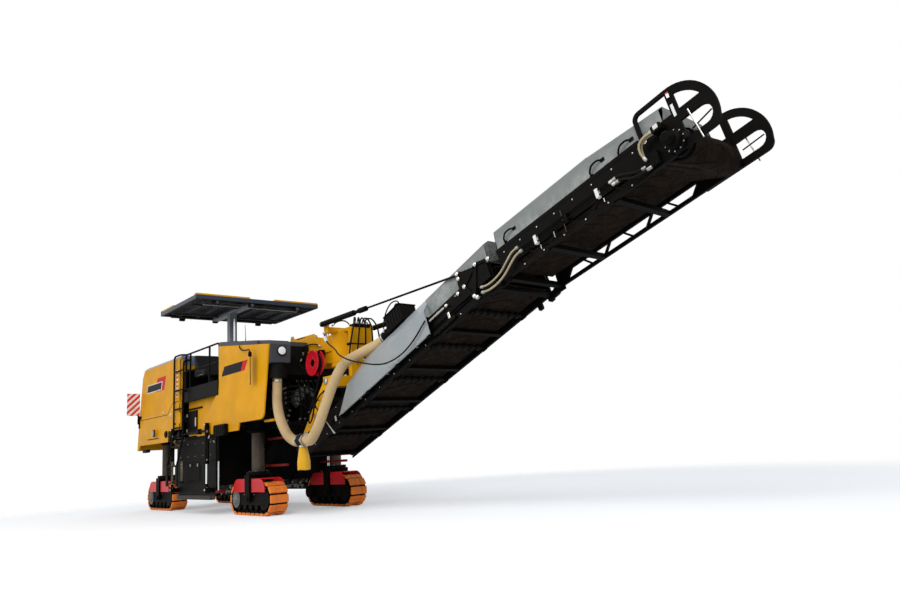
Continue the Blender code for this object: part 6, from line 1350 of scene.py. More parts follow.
# %% Cable
CABLE = [(1.92, -0.46, 2.945), (1.925, -0.46, 2.9), (1.97, -0.465, 2.82), (2.1, -0.485, 2.73),
    (2.3, -0.53, 2.65), (2.56, -0.62, 2.555), (2.84, -0.74, 2.455), (3.11, -0.8, 2.36),
    (3.38, -0.81, 2.275), (3.6, -0.78, 2.22), (3.8, -0.72, 2.175), (3.98, -0.665, 2.165),
    (4.16, -0.635, 2.195), (4.33, -0.622, 2.245), (4.48, -0.617, 2.31), (4.62, -0.612, 2.395),
    (4.74, -0.606, 2.49), (4.83, -0.603, 2.57), (4.9, -0.597, 2.63)]
cable_line = even(smooth_route(CABLE, 0.02), 0.06)
cable = Stock()
CABLE_R = 0.011
cable.pipe(cable_line, CABLE_R, RUBBER, 12)
cable_obj = free_piece(cable, "conveyor_cable")
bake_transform(cable_obj)
fitting = Stock()
fitting.turned((1.96, -0.463, 2.835), (0.55, -0.05, -0.83), [(-0.06, 0.018), (-0.03, 0.03), (0.03, 0.03),
    (0.06, 0.018)], BARE_WHITE, 14)
fitting.turned((1.92, -0.46, 2.952), -UP, boss(0.034, 0.02, 0.03, 0.02), ZINC, 6)
fitting.ride("cable_fitting", "slew_bracket")

# %% [markdown]
# ## Dust hose clamps and the sock
# Worm-drive bands clamp the hose to its ducts. The coupling's outlet has a cloth sock, gathered by a band
# at its top and hanging in folds.

# %% Clamps and sock
clamp_top = Stock()
clamp_top.turned((1.22, -0.97, 2.235), -UP, disc(0.085, 0.03), STAINLESS, 28)
clamp_top.turned((1.22, -0.97, 2.5), -UP, [(0, 0.15), (0.1, 0.15), (0.2, 0.095), (0.245, 0.088)], BLACK, 28)
clamp_top.ride("duct_spigot", "root")
clamp_mid = Stock()
for x in (1.925, 2.115):
    clamp_mid.turned((x - 0.015, -0.93, 1.2), FORE, disc(0.101, 0.03), STAINLESS, 28)
    clamp_mid.box(about(x, 0.012), (-1.045, -1.025), (1.18, 1.22), STAINLESS, 0.003)
clamp_mid.turned((2.02, -0.93, 1.12), -UP, disc(0.062, 0.02), STAINLESS, 24)
clamp_mid.pipe(bent([(2.02, -0.86, 1.29), (2.02, -0.7, 1.42), (2.02, -0.6, 1.7)], 0.08), 0.012, BLACK, 10)
clamp_mid.ride("coupling_clamps", "slew_bracket")
SOCK_LEN, SOCK_R, AROUND, ROWS = 0.36, 0.078, 48, 20
sock_points = []
for j in range(ROWS + 1):
    t = j / ROWS
    for k in range(AROUND):
        a = math.tau * k / AROUND
        fold = (0.3 * math.cos(5 * a + 0.7)
            + 0.14 * math.cos(9 * a + 2.0 * t)) * (0.25 + 0.6 * t) * (1 - 0.3 * t)
        r = SOCK_R * (0.78 + 0.52 * min(1.0, 1.6 * t) + 0.24 * fold)
        z = 1.1 - SOCK_LEN * t - 0.004 * math.cos(3 * a) * t
        sock_points.append((2.02 + 0.01 * t + r * math.cos(a) * (1 - 0.22 * t), -0.93 + r * math.sin(a), z))
sock_faces = [(j * AROUND + k, j * AROUND + (k + 1) % AROUND, (j + 1) * AROUND + (k + 1) % AROUND,
    (j + 1) * AROUND + k) for j in range(ROWS) for k in range(AROUND)]
sock_mesh = bpy.data.meshes.new("filter_sock")
sock_mesh.from_pydata([MACHINE @ Vector(p) for p in sock_points], [], [f[::-1] for f in sock_faces])
sock_mesh.materials.append(SOCK)
sock_obj = placed("filter_sock", sock_mesh)
shell = sock_obj.modifiers.new("cloth thickness", "SOLIDIFY")
shell.thickness, shell.offset = 0.002, -1.0
plain_mesh(sock_obj)
sock_obj.data.shade_smooth()
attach(sock_obj, "slew_bracket")

# %% [markdown]
# ## Side plates of the tower
# The tower's sides run back over the console's lid as flat plates with a lifting eye. They are trim on
# the tower block and stop above the lid.

# %% Plates with lifting eyes
tower_plates = Stock()
SIDE_OUTLINE = [(0.34, 2.948), (0.34, 3.07), (0.37, 3.125), (0.44, 3.125), (0.48, 3.065), (1.22, 3.05),
    (1.3, 2.965), (1.42, 2.935), (1.42, 2.83), (1.38, 2.822)]
flank(tower_plates, SIDE_OUTLINE, 0.016, YELLOW, y=-0.271)
tower_plates.turned((0.405, -0.288, 3.085), RIGHT,
    [(0, 0.03), (0.004, 0.03), (0.004, 0.018), (0.001, 0.018)], ZINC, 16)
for x in (0.62, 0.86, 1.1):
    tower_plates.turned((x, -0.288, 2.99), RIGHT, boss(0.016, 0.009, 0.012, 0.01), ZINC, 6)
tower_plates.box((0.6, 0.9), (-0.296, -0.287), (3.035, 3.045), BARE_BLACK, 0.002)
ride_both(tower_plates, "tower_side_plate", "root")
cross = Stock()
cross.box((0.52, 0.56), (-0.271, 0.271), (2.95, 3.04), YELLOW, 0.006)
cross.box((0.98, 1.02), (-0.265, 0.265), (2.95, 3.03), YELLOW, 0.006)
cross.ride("tower_cross_plates", "root")
canopy_bar = Stock()
canopy_bar.box((-1.57, -1.5), (-1.18, 0.8), (4.016, 4.04), MAST, 0.008)
canopy_bar.ride("canopy_cross_bar", "root")
print("tower plates", len(tower_plates.faces), "faces")

# %% [markdown]
# ## Discharge conveyor, lower section
# Below the cover: return rollers with rubber discs in their brackets, bolts along the side plates, and
# steel pipes to the head motor. At the fold: the eye plates' pins, a triangular brace, and two hoses across
# it.

# %% Lower section: rollers, pipes, brace
low_parts = Stock(LOWER)
for s in (0.55, 1.55, 2.55, 3.55, 4.45):
    profile = disc(0.018, 0.01)
    for k in range(7):
        at = 0.04 + 0.12 * k
        profile += [(at, 0.022), (at, 0.04), (at + 0.045, 0.04), (at + 0.045, 0.022)]
    profile += [(0.84, 0.022), (0.85, 0.018), (0.9, 0.018)]
    low_parts.turned((s, -0.45, -0.2625), -RIGHT, profile, RUBBER, 14)
    for y in (-0.475, 0.455):
        low_parts.box(about(s, 0.05), (y, y + 0.02), (-0.305, -0.2), BLACK, 0.004)
for side in (-1, 1):
    low_parts.box((-0.5, 4.96), (side * 0.498, side * 0.515), (-0.274, -0.244), BLACK, 0.004)
for h in (-0.1, -0.14):
    low_parts.bar((0.7, -0.514, h), (4.8, -0.514, h), 0.01, BLACK, 10)
for s in (0.9, 1.7, 2.5, 3.3, 4.1):
    low_parts.box(about(s, 0.02), (-0.532, -0.499), (-0.165, -0.075), ZINC, 0.004)
low_parts.box((3.72, 4.22), (-0.552, -0.499), (-0.235, -0.175), BLACK, 0.012)
low_parts.bar((3.7, -0.53, 0.017), (4.06, -0.53, 0.017), 0.013, STAINLESS, 12)
for k in range(9):
    low_parts.turned((3.72 + 0.037 * k, -0.53, 0.017), FORE, disc(0.019, 0.016), ZINC, 10)
low_parts.turned((4.1, -0.53, 0.017), FORE, boss(0.024, 0.03, 0.045, 0.012), STAINLESS, 12)
brace = {"left": (4.56, 0.03), "top": (4.86, 0.175), "right": (5.1, 0.1), "foot": (4.68, -0.185)}
for a, b, half in (("left", "top", 0.022), ("left", "foot", 0.022), ("top", "foot", 0.034),
        ("top", "right", 0.02)):
    low_parts.plate(strip([brace[a], brace[b]], half), (0, -0.54, 0), FORE, UP, 0.016, BLACK, 0.003)
for spot in list(brace.values()) + [(4.41, 0.018), (4.5, 0.19), (4.5, 0.262), (4.72, -0.225)]:
    low_parts.turned((spot[0], -0.538, spot[1]), RIGHT,
        [(0, 0.03), (0.02, 0.03), (0.03, 0.022), (0.034, 0.01)], STAINLESS, 18)
low_parts.ride("lower_section_fittings", "conveyor_lower")
far_parts = Stock(LOWER)
for s in (4.75, 4.98):
    far_parts.box(about(s, 0.04), (0.5, 0.56), (-0.335, -0.235), BLACK, 0.012)
far_parts.bar((0.7, 0.514, -0.1), (4.8, 0.514, -0.1), 0.01, BLACK, 10)
far_parts.ride("lower_section_far_fittings", "conveyor_lower")
edge_spots = [((s, -0.502, h), RIGHT) for h in (-0.215, 0.055) for s in [0.1 + 0.42 * k for k in range(12)]]
bolt_heads("lower_section_bolts", "conveyor_lower", edge_spots, 0.011, place=LOWER, both=True)
lip_spots = [((1.35 + 0.26 * k, -0.592, -0.155), (0, -1, 0.1)) for k in range(9)]
bolt_heads("cover_lip_bolts", "conveyor_lower", lip_spots, 0.009, place=LOWER, both=True, finish=STAINLESS)

# %% The fan's lid, motor and lines
FAN_Y, FAN_LID = -0.265, 0.742
fan = Stock(LOWER)
fan.box((2.59, 3.03), about(FAN_Y, 0.16), (0.722, FAN_LID), BLACK, 0.006)
fan.turned((2.585, FAN_Y, 0.66), -FORE, [(0, 0.045), (0.07, 0.045), (0.075, 0.034), (0.1, 0.034)],
    STAINLESS, 18)
fan.turned((2.82, FAN_Y, 0.74), UP, [(0, 0.075), (0.03, 0.075), (0.032, 0.055), (0.1, 0.055),
    (0.106, 0.045)], BLACK, 20)
for s in (2.66, 2.96):
    for y in (-0.385, -0.145):
        fan.turned((s, y, FAN_LID), UP, boss(0.014, 0.012, 0.014, 0.008), ZINC, 8)
for k in range(5):
    fan.box((2.66 + 0.075 * k, 2.675 + 0.075 * k), (-0.418, -0.408), (0.5, 0.7), BLACK, 0.002)
line_hose(fan, [(2.86, -0.26, 0.8), (2.84, -0.27, 0.9), (2.72, -0.3, 0.93), (2.6, -0.34, 0.84),
    (2.5, -0.36, 0.7), (2.45, -0.36, 0.58)], 0.01)
line_hose(fan, [(2.8, -0.24, 0.82), (2.74, -0.22, 0.92), (2.62, -0.2, 0.9), (2.5, -0.2, 0.76),
    (2.42, -0.2, 0.62)], 0.01)
fan.turned((2.315, FAN_Y, 0.5623), FORE, disc(0.09, 0.03), STAINLESS, 28)
fan.ride("fan_fittings", "conveyor_lower")

# %% Hoses across the fold
fold_hoses = Stock()
for y, points in ((-0.56, [(6.045, 2.862), (6.16, 2.868), (6.29, 2.905), (6.42, 2.975), (6.53, 3.075),
        (6.63, 3.165), (6.74, 3.205)]), (-0.565, [(6.065, 2.792), (6.2, 2.8), (6.35, 2.845), (6.49, 2.925),
        (6.6, 3.025), (6.7, 3.11), (6.81, 3.15)])):
    line_hose(fold_hoses, [(x, y, z) for x, z in points], 0.014, COLUMN_PIPE, sleeve=0.045)
fold_obj = free_piece(fold_hoses, "fold_hoses")
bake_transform(fold_obj)
print("lower section done")

# %% [markdown]
# ## Discharge conveyor, upper section
# The cover has a rolled edge, a black strip under it as painted shadow, and a black trim along its foot.
# Steel pipes in clamps run to the head motor. The belt's cleats stand on its outer side and follow it round
# the head drum.

# %% Upper section: trim, handles, pipes, motor
HEAD_S, HEAD_H, HEAD_R, SNUB_S = 2.8, 0.12, 0.165, 2.35
up_parts = Stock(UPPER)
for side in (-1, 1):
    up_parts.box((0.06, 2.4), (side * 0.462, side * 0.5), (0.365, 0.43), BLACK, 0.006)
    # Painted shadow: a thin black strip just under the rolled edge, where the edge's shadow lies on the
    # cover.
    up_parts.box((0.09, 1.72), (side * 0.4585, side * 0.4655), (0.652, 0.668), SEAL, 0.002)
    up_parts.pipe([(0.08, side * 0.452, 0.682), (1.72, side * 0.452, 0.682)], 0.012, COVER, 10)
    for s, h in ((0.24, 0.455), (1.72, 0.442), (2.13, 0.415)):
        handle = [(s, side * 0.462, h), (s + 0.01, side * 0.51, h + 0.02),
            (s + 0.06, side * 0.515, h + 0.085), (s + 0.15, side * 0.51, h + 0.095),
            (s + 0.19, side * 0.462, h + 0.085)]
        up_parts.pipe(bent(handle, 0.03), 0.011, BLACK, 8)
        up_parts.box((s - 0.025, s + 0.03), (side * 0.458, side * 0.476), (h - 0.045, h + 0.015), BLACK,
            0.004)
        up_parts.box((s + 0.165, s + 0.225), (side * 0.458, side * 0.48), (h + 0.06, h + 0.105), BLACK,
            0.004)
for h in (0.215, 0.152):
    up_parts.bar((0.49, -0.53, h + 0.002), (1.98, -0.53, h), 0.01, BLACK, 10)
for s, finish in ((0.755, BARE_WHITE), (1.26, BLACK), (1.753, BARE_WHITE)):
    up_parts.box(about(s, 0.022), (-0.548, -0.499), (0.126, 0.238), finish, 0.005)
for s, low, high, finish in ((1.2, 0.03, 0.31, COLUMN), (1.026, 0.06, 0.14, ZINC), (0.79, 0.04, 0.1, ZINC),
        (1.8, 0.05, 0.1, ZINC)):
    up_parts.bar((s, -0.512, low), (s, -0.512, high), 0.007, finish, 8)
for s, h in ((1.935, 0.197), (1.965, 0.155)):
    up_parts.turned((s, -0.53, h), FORE, [(0, 0.016), (0.012, 0.022), (0.05, 0.022), (0.055, 0.014)],
        STAINLESS, 10)
line_hose(up_parts, [(1.99, -0.53, 0.197), (2.08, -0.545, 0.19), (2.18, -0.565, 0.14), (2.3, -0.575, 0.08),
    (2.42, -0.565, 0.06)], 0.013)
line_hose(up_parts, [(2.02, -0.53, 0.155), (2.12, -0.555, 0.12), (2.24, -0.58, 0.05), (2.36, -0.59, 0.02),
    (2.48, -0.575, 0.02)], 0.013)
for dy in (0.0, -0.04):
    line_hose(up_parts, [(2.45 - dy * 0.5, -0.56 + dy, 0.1), (2.445, -0.575 + dy, 0.2),
        (2.47, -0.585 + dy, 0.285), (2.55, -0.58 + dy, 0.325), (2.66, -0.57 + dy, 0.325)], 0.015,
        COLUMN_PIPE)
up_parts.box((2.64, 2.76), (-0.64, -0.522), (0.285, 0.365), BLACK, 0.01)
up_parts.box((2.68, 2.74), (-0.655, -0.63), (0.3, 0.35), STAINLESS, 0.006)
up_parts.turned((HEAD_S, -0.52, HEAD_H), RIGHT, [(0, 0.125), (0.03, 0.125), (0.034, 0.095), (0.09, 0.09),
    (0.1, 0.06), (0.19, 0.06), (0.2, 0.048)], BLACK, 28)
up_parts.box((2.42, 2.6), (-0.59, -0.522), (0.02, 0.16), BLACK, 0.012)
for side in (-1, 1):
    for low, high, finish in ((0.585, 0.65, TAPE), (0.36, 0.5, BARE_WHITE)):
        up_parts.box((2.876, 2.908), (side * 0.519, side * 0.523), (low, high), finish, 0.001)
    up_parts.bar((3.035, side * 0.532, 0.335), (3.08, side * 0.532, -0.03), 0.009, STAINLESS, 10)
    up_parts.bar((2.98, side * 0.47, 0.16), (3.24, side * 0.5, 0.19), 0.008, BLACK, 10)
    up_parts.turned((2.9, side * 0.505, 0.675), UP, [(0, 0.02), (0.012, 0.024), (0.022, 0.01)], SEAL, 12)
    for s in (2.49, 2.8):
        up_parts.turned((s, side * 0.519, 0.05 if s > 2.6 else 0.33), (0, side, 0),
            boss(0.02, 0.01, 0.014, 0.012), ZINC, 8)
up_parts.ride("upper_section_fittings", "conveyor_upper")
up_spots = [((s, -0.502, 0.335), RIGHT) for s in [0.2 + 0.3 * k for k in range(8)]]
up_spots += [((s, -0.502, 0.022), RIGHT) for s in [0.47 + 0.34 * k for k in range(6)]]
bolt_heads("upper_section_bolts", "conveyor_upper", up_spots, 0.01, place=UPPER, both=True)
motor_ring = [(spot, RIGHT) for spot in circle((HEAD_S, -0.554, HEAD_H), 0.108, 10)]
bolt_heads("head_motor_bolts", "conveyor_upper", motor_ring, 0.009, place=UPPER)
print("upper section", len(up_parts.faces), "faces")

# %% Belt cleats
def cleats(name, body, place, line, pitch, depth=0.2, half=0.37, width=0.03, height=0.012):
    """Chevron cleats on the outer side of a belt whose side view is line, its outer side to the left."""
    pts = [Vector(p) for p in line]
    steps = [0.0]
    for a, b in zip(pts, pts[1:]):
        steps.append(steps[-1] + (b - a).length)

    def spot(t):
        t = min(max(t, 0.0), steps[-1] - 1e-6)
        i = next(k for k in range(len(steps) - 1) if steps[k + 1] > t)
        u = (t - steps[i]) / (steps[i + 1] - steps[i])
        way = (pts[i + 1] - pts[i]).normalized()
        return pts[i].lerp(pts[i + 1], u), Vector((-way.y, way.x))

    parts, count = Stock(place), int((steps[-1] - depth - width) / pitch)
    for k in range(count):
        start, verts, faces = k * pitch + width, [], []
        for j in range(-8, 9):
            share = abs(j) / 8
            t = start + depth * share ** 1.4
            for dt, lift in ((-width / 2, -0.002), (-width / 5, height), (width / 5, height),
                    (width / 2, -0.002)):
                p, n = spot(t + dt)
                verts.append((p.x + n.x * lift, half * j / 8, p.y + n.y * lift))
        for j in range(16):
            for c in range(3):
                a = 4 * j + c
                faces.append([a, a + 1, a + 5, a + 4])
            faces.append([4 * j + 3, 4 * j, 4 * j + 4, 4 * j + 7])
        faces += [[3, 2, 1, 0], [64, 65, 66, 67]]
        parts.put(verts, faces, CLEAT)
    piece = parts.ride(name, body, angle=50.0)
    fix = bmesh.new()
    fix.from_mesh(piece.data)
    bmesh.ops.recalc_face_normals(fix, faces=fix.faces)
    fix.to_mesh(piece.data)
    fix.free()
    print(name, count)


cleats("lower_belt_cleats", "conveyor_lower", LOWER, [(5.0, -0.22), (-0.3, -0.22)], 0.24)
wrap = [(HEAD_S + HEAD_R * math.cos(a), HEAD_H + HEAD_R * math.sin(a))
    for a in [math.radians(d) for d in range(80, -117, -8)]]
cleats("upper_belt_cleats", "conveyor_upper", UPPER, wrap + [(SNUB_S, 0.16), (0.1, 0.16)], 0.2)

# %% [markdown]
# ## The milling drum
# Picks stand in welded holders on two spirals that wind from the ends to the middle, so they throw the
# chips to the loading belt. The drum's tube and rings are turned; one holder with its pick is laid at
# each place by the tree, every pick leaning into the cut.

# %% Drum, holders and picks
DRUM_X, DRUM_Z, TUBE_R = -1.9, 0.8, 0.405
drum = Stock()
drum.turned((DRUM_X, -1.0, DRUM_Z), -RIGHT, [(0, 0.3), (0.0, 0.395), (0.008, TUBE_R), (1.992, TUBE_R),
    (2.0, 0.395), (2.0, 0.3)], STEEL, 72)
for y, way in ((-1.0, -1), (1.0, 1)):
    drum.turned((DRUM_X, y, DRUM_Z), (0, way, 0), [(-0.01, 0.24), (0.022, 0.24), (0.028, 0.232)], BLACK, 40)
drum.ride("drum_tube", "milling_drum", replaces=["milling_drum"])
tool = Stock(FLAT)
tool.box((-0.04, 0.045), (-0.026, 0.026), (-0.012, 0.045), SKID, 0.008)
tool.turned((-0.012, 0.0, 0.03), (0.62, 0.0, 0.78), [(0.0, 0.024), (0.024, 0.024), (0.03, 0.019),
    (0.044, 0.016), (0.062, 0.009), (0.072, 0.0)], STAINLESS, 10)
tool_mesh = tool.mesh("pick_and_holder")
A_SIDE, AT_EDGE = 78, 12


def on_drum(a, y, sunk=0.004):
    """A place on the tube at an angle, the way round it and the outward side."""
    out, r = (math.cos(a), 0.0, math.sin(a)), TUBE_R - sunk
    return (DRUM_X + r * out[0], y, DRUM_Z + r * out[2]), (out[2], 0.0, -out[0]), out


spots, edges = [], []
for side in (-1, 1):
    for k in range(A_SIDE):
        share = k / (A_SIDE - 1)
        a = side * 0.4 + math.tau * (2.4 * share + 0.5 * (k % 2))
        spots.append(on_drum(a, side * (0.985 - 0.965 * share)))
    edges += [on_drum(math.tau * k / AT_EDGE + 0.2, side * 1.0) for k in range(AT_EDGE)]
copies("drum_picks", "milling_drum", spots + edges, tool_mesh, STAINLESS)
paddles = Stock()
for k in range(5):
    spot, way, out = on_drum(math.tau * k / 5, 0.0, sunk=0.0)
    paddles.box((-0.012, 0.012), (-0.14, 0.14), (-0.07, 0.012), SKID, 0.004, frame_at(spot, way, -RIGHT))
paddles.ride("drum_paddles", "milling_drum")
print("picks", len(spots) + len(edges))

# %% [markdown]
# ## Side plates, lifting rams and tracks' fittings
# The plates beside the drum slide on chromed rods. Clevises and pins hold their rams. Wear shoes are
# bolted along the foot. The tracks get their drive hub's bolts, guard bolts and hydraulic hoses.

# %% Side plates and rams
RAM_X = (-2.96, -1.12)
plate_right = Stock()
for x in RAM_X:
    for y in (-1.285, -1.235):
        plate_right.box(about(x, 0.045), (y, y + 0.022), (0.4, 0.53), BLACK, 0.01)
    plate_right.bar((x, -1.295, 0.47), (x, -1.205, 0.47), 0.02, STAINLESS, 14)
    plate_right.turned((x, -1.25, 0.52), UP, [(0, 0.026), (0.05, 0.03), (0.06, 0.022)], BLACK, 14)
plate_right.box((-3.0, -1.0), (-1.152, -1.138), (0.3, 0.36), SKID, 0.006)
plate_right.box((-2.9, -1.1), (-1.148, -1.138), (0.98, 1.02), BLACK, 0.004)
plate_right.box((-2.3, -1.75), (-1.15, -1.138), (0.62, 0.92), BLACK, 0.008)
for x in (-2.22, -1.83):
    plate_right.bar((x, -1.158, 0.9), (x, -1.158, 0.96), 0.012, ZINC, 10)
ride_both(plate_right, "side_plate_fittings", "side_plate_right", "side_plate_left")
shoe_spots = [((-2.9 + 0.2 * k, -1.153, 0.33), RIGHT) for k in range(10)]
grid_spots = [((x, -1.141, z), RIGHT) for x in (-2.8, -2.4, -2.0, -1.6, -1.22) for z in (1.1, 1.34)]
bolt_heads("side_plate_bolts_right", "side_plate_right", shoe_spots + grid_spots, 0.011)
bolt_heads("side_plate_bolts_left", "side_plate_left", [((p[0], -p[1], p[2]), -n) for p, n in shoe_spots
    + grid_spots], 0.011)
rams = Stock()
for x in RAM_X:
    rams.turned((x, -1.25, 0.935), UP, [(0, 0.03), (0.004, 0.044), (0.045, 0.044), (0.05, 0.04)], BLACK, 20)
    rams.turned((x, -1.25, 1.56), UP, [(0, 0.041), (0.03, 0.045), (0.06, 0.045), (0.07, 0.03)], BLACK, 20)
    rams.box(about(x, 0.035), (-1.285, -1.215), (1.62, 1.69), BLACK, 0.012)
    rams.bar((x, -1.3, 1.655), (x, -1.2, 1.655), 0.016, STAINLESS, 12)
    line_hose(rams, [(x + 0.035, -1.26, 1.52), (x + 0.1, -1.27, 1.56), (x + 0.15, -1.26, 1.5),
        (x + 0.17, -1.22, 1.4), (x + 0.16, -1.17, 1.32)], 0.01)
    line_hose(rams, [(x + 0.035, -1.26, 1.0), (x + 0.085, -1.27, 1.05), (x + 0.09, -1.27, 1.18),
        (x + 0.07, -1.27, 1.32), (x + 0.1, -1.24, 1.44)], 0.01)
rams.box((-2.62, -2.52), (-1.275, -1.205), (1.5, 1.6), BLACK, 0.01)
rams.box((-1.62, -1.5), (-1.27, -1.205), (1.5, 1.6), BLACK, 0.01)
ride_both(rams, "side_ram_fittings", "root")
print("ram fittings", len(rams.faces), "faces a side")

# %% Fittings of the tracks
for corner, (x, y) in COLUMNS.items():
    side = -1 if y < 0 else 1
    body = "track_" + corner
    hub_x, hub_y = x - 0.57, y + side * 0.172
    spots = [(spot, (0, side, 0)) for spot in circle((hub_x, hub_y, TRACK_H / 2), 0.118, 12)]
    spots += [((x + dx, y + side * 0.165, z), (0, side, 0)) for dx, z in ((-0.36, 0.52), (0.36, 0.52),
        (-0.62, 0.5), (0.62, 0.5), (-0.2, 0.36), (0.2, 0.36))]
    spots += [((x + dx, y + dy, 0.752), UP) for dx in (-0.13, 0.13) for dy in (-0.1, 0.1)]
    bolt_heads(body + "_bolts", body, spots, 0.011)
    kit = Stock()
    kit.turned((hub_x, y + side * 0.165, TRACK_H / 2), (0, side, 0), [(0, 0.09), (0.012, 0.09),
        (0.018, 0.08), (0.02, 0.055), (0.03, 0.05), (0.034, 0.04)], DISC, 28)
    kit.turned((x, y, 1.42), UP, [(0, 0.108), (0.0, 0.135), (0.05, 0.135), (0.06, 0.118)], BLACK, 32)
    kit.box(about(x, 0.055), (y + side * 0.15, y + side * 0.185), (0.3, 0.6), BLACK, 0.01)
    kit.turned((x, y + side * 0.182, 0.42), (0, side, 0), boss(0.045, 0.012, 0.018, 0.035), ZINC, 18)
    for dy in (-0.03, 0.03):
        line_hose(kit, [(x - 0.12, y - side * 0.1 + dy, 1.3), (x - 0.2, y - side * 0.12 + dy, 1.1),
            (x - 0.24, y - side * 0.1 + dy, 0.86), (x - 0.34, y - side * 0.06 + dy, 0.72),
            (x - 0.46, y - side * 0.02 + dy, 0.64)], 0.012)
    kit.ride(body + "_kit", body)
print("side plates and tracks done")

# %% [markdown]
# ## Machinery under the console
# Between the front columns one sees pumps, valve blocks and hoses, two dull red bars, and the yellow
# fork of the tower. They are dark, and only edges and fittings catch the light.

# %% Pumps, valves and bars
bay = Stock()
for z, xs in ((1.3, (0.0, 0.76)), (0.83, (-0.19, 0.75))):
    for side in (-1, 1):
        bay.box(xs, (side * 0.545, side * 0.595), about(z, 0.022), DULL_RED, 0.006)
bay.box((0.3, 0.95), (-0.62, 0.62), (1.5, 1.56), BLACK, 0.01)
bay.box((0.55, 0.98), (-0.92, -0.62), (1.78, 2.22), BLACK, 0.02)
bay.box((0.5, 0.9), (0.4, 0.9), (1.7, 2.25), BLACK, 0.02)
bay.turned((0.6, -0.22, 1.98), (1, -0.12, 0), [(0, 0.2), (0.2, 0.2), (0.22, 0.17), (0.26, 0.165),
    (0.27, 0.11), (0.34, 0.1), (0.35, 0.05)], CASTING, 32)
bay.turned((0.6, 0.26, 1.8), FORE, [(0, 0.15), (0.22, 0.15), (0.24, 0.12), (0.36, 0.11), (0.37, 0.06)],
    CASTING, 28)
for k in range(4):
    z = 1.86 + 0.085 * k
    bay.turned((0.975, -0.84, z), FORE, [(0, 0.026), (0.02, 0.026), (0.02, 0.02), (0.05, 0.02)], STAINLESS,
        6)
    bay.turned((0.975, -0.74, z), FORE, [(0, 0.022), (0.02, 0.022), (0.02, 0.016), (0.04, 0.016)],
        STAINLESS, 6)
    line_hose(bay, [(1.02, -0.84, z), (1.09, -0.83, z - 0.02), (1.12, -0.8, z - 0.14),
        (1.06, -0.76, z - 0.3), (0.96, -0.7 + 0.03 * k, z - 0.38)], 0.013)
    line_hose(bay, [(1.01, -0.74, z), (1.08, -0.7, z + 0.02), (1.14, -0.56 + 0.03 * k, z + 0.02),
        (1.12, -0.4 + 0.05 * k, z - 0.08), (1.0, -0.3 + 0.05 * k, z - 0.16)], 0.012)
for k in range(5):
    y = -0.46 + 0.09 * k
    line_hose(bay, [(0.9, y, 2.26), (1.02, y - 0.02, 2.2), (1.08, y - 0.03, 2.02), (1.05, y, 1.82),
        (0.98, y + 0.04, 1.66), (0.9, y + 0.05, 1.58)], 0.014)
bay.bar((0.95, -0.3, 2.02), (1.12, -0.42, 2.16), 0.008, STAINLESS, 8)
bay.box((0.86, 1.16), (-1.04, -0.96), (1.56, 1.6), YELLOW, 0.008)
for y in (-COLUMN_Y, COLUMN_Y):
    bay.turned((0.0, y, 1.44), UP, [(0, 0.175), (0.0, 0.2), (0.03, 0.2), (0.04, 0.175)], BLACK, 32)
bay.ride("hydraulic_bay", "root")
print("bay faces", len(bay.faces))

# %% [markdown]
# ## Ladder foot, guide rods and ram heads
# Rubber flaps hang at the foot of the ladder so that it gives when it meets the ground. They hold pale
# dust. Ahead of the front ram a second, thin rod guides the side plate. A dark bracket over the rear track
# holds two capped heads.

# %% Flaps, guide rod and ram heads
FLAP = coat("dusty_flap_rubber", "4E4636", 0.9, vary=0.25, dusty=0.7, dust_and_shade_tint="8E8268", dust_and_shade_z=(3.0, 0.0),
    wear=0.0)
foot = Stock()
for x in (-2.84, -2.3):
    flap = [(x - 0.055, 1.02), (x + 0.055, 1.02), (x + 0.06, 0.8), (x + 0.035, 0.64), (x - 0.045, 0.63),
        (x - 0.065, 0.82)]
    foot.plate(flap, (0.0, -1.288, 0.0), FORE, UP, 0.012, FLAP)
    for z in (0.96, 0.9):
        foot.turned((x, -1.297, z), RIGHT, boss(0.014, 0.006, 0.009, 0.009), ZINC, 6)
foot.box((-2.88, -2.26), (-1.312, -1.262), (0.6, 0.628), BLACK, 0.006)
for x in (-2.8, -2.7, -2.6, -2.5, -2.4, -2.34):
    foot.box(about(x, 0.012), (-1.31, -1.264), (0.628, 0.636), BARE_BLACK, 0.002)
foot.ride("ladder_flaps", "root")
guide = Stock()
for side in (-1, 1):
    guide.bar((-0.89, side * 1.12, 0.44), (-0.89, side * 1.12, 0.98), 0.016, CHROME, 16)
    guide.turned((-0.89, side * 1.12, 0.97), UP, boss(0.028, 0.46, 0.47, 0.018), BLACK, 16)
    guide.box((-0.97, -0.84), (side * 1.0, side * 1.15), (1.42, 1.48), BLACK, 0.01)
    guide.box((-0.97, -0.84), (side * 1.0, side * 1.15), (0.4, 0.45), DULL_RED, 0.01)
guide.ride("plate_guides", "root")
heads = Stock()
for x0, x1 in ((-3.46, -3.3), (-3.16, -3.02)):
    heads.turned(((x0 + x1) / 2, -1.2, 1.6), RIGHT, boss(0.075, 0.05, 0.07, 0.055), BLACK, 20)
heads.box((-3.46, -3.02), (-1.225, -1.17), (1.53, 1.67), BLACK, 0.015)
ride_both(heads, "ram_head_bracket", "root")
print("ladder foot done")

# %% [markdown]
# ## Engine bay
# The open hood shows a six-cylinder engine with its covers, injection lines, manifold and turbocharger,
# an air cleaner, and the cooler pack with its fan behind it. None of it shows in the photograph, so the
# shapes are the usual ones of this class.

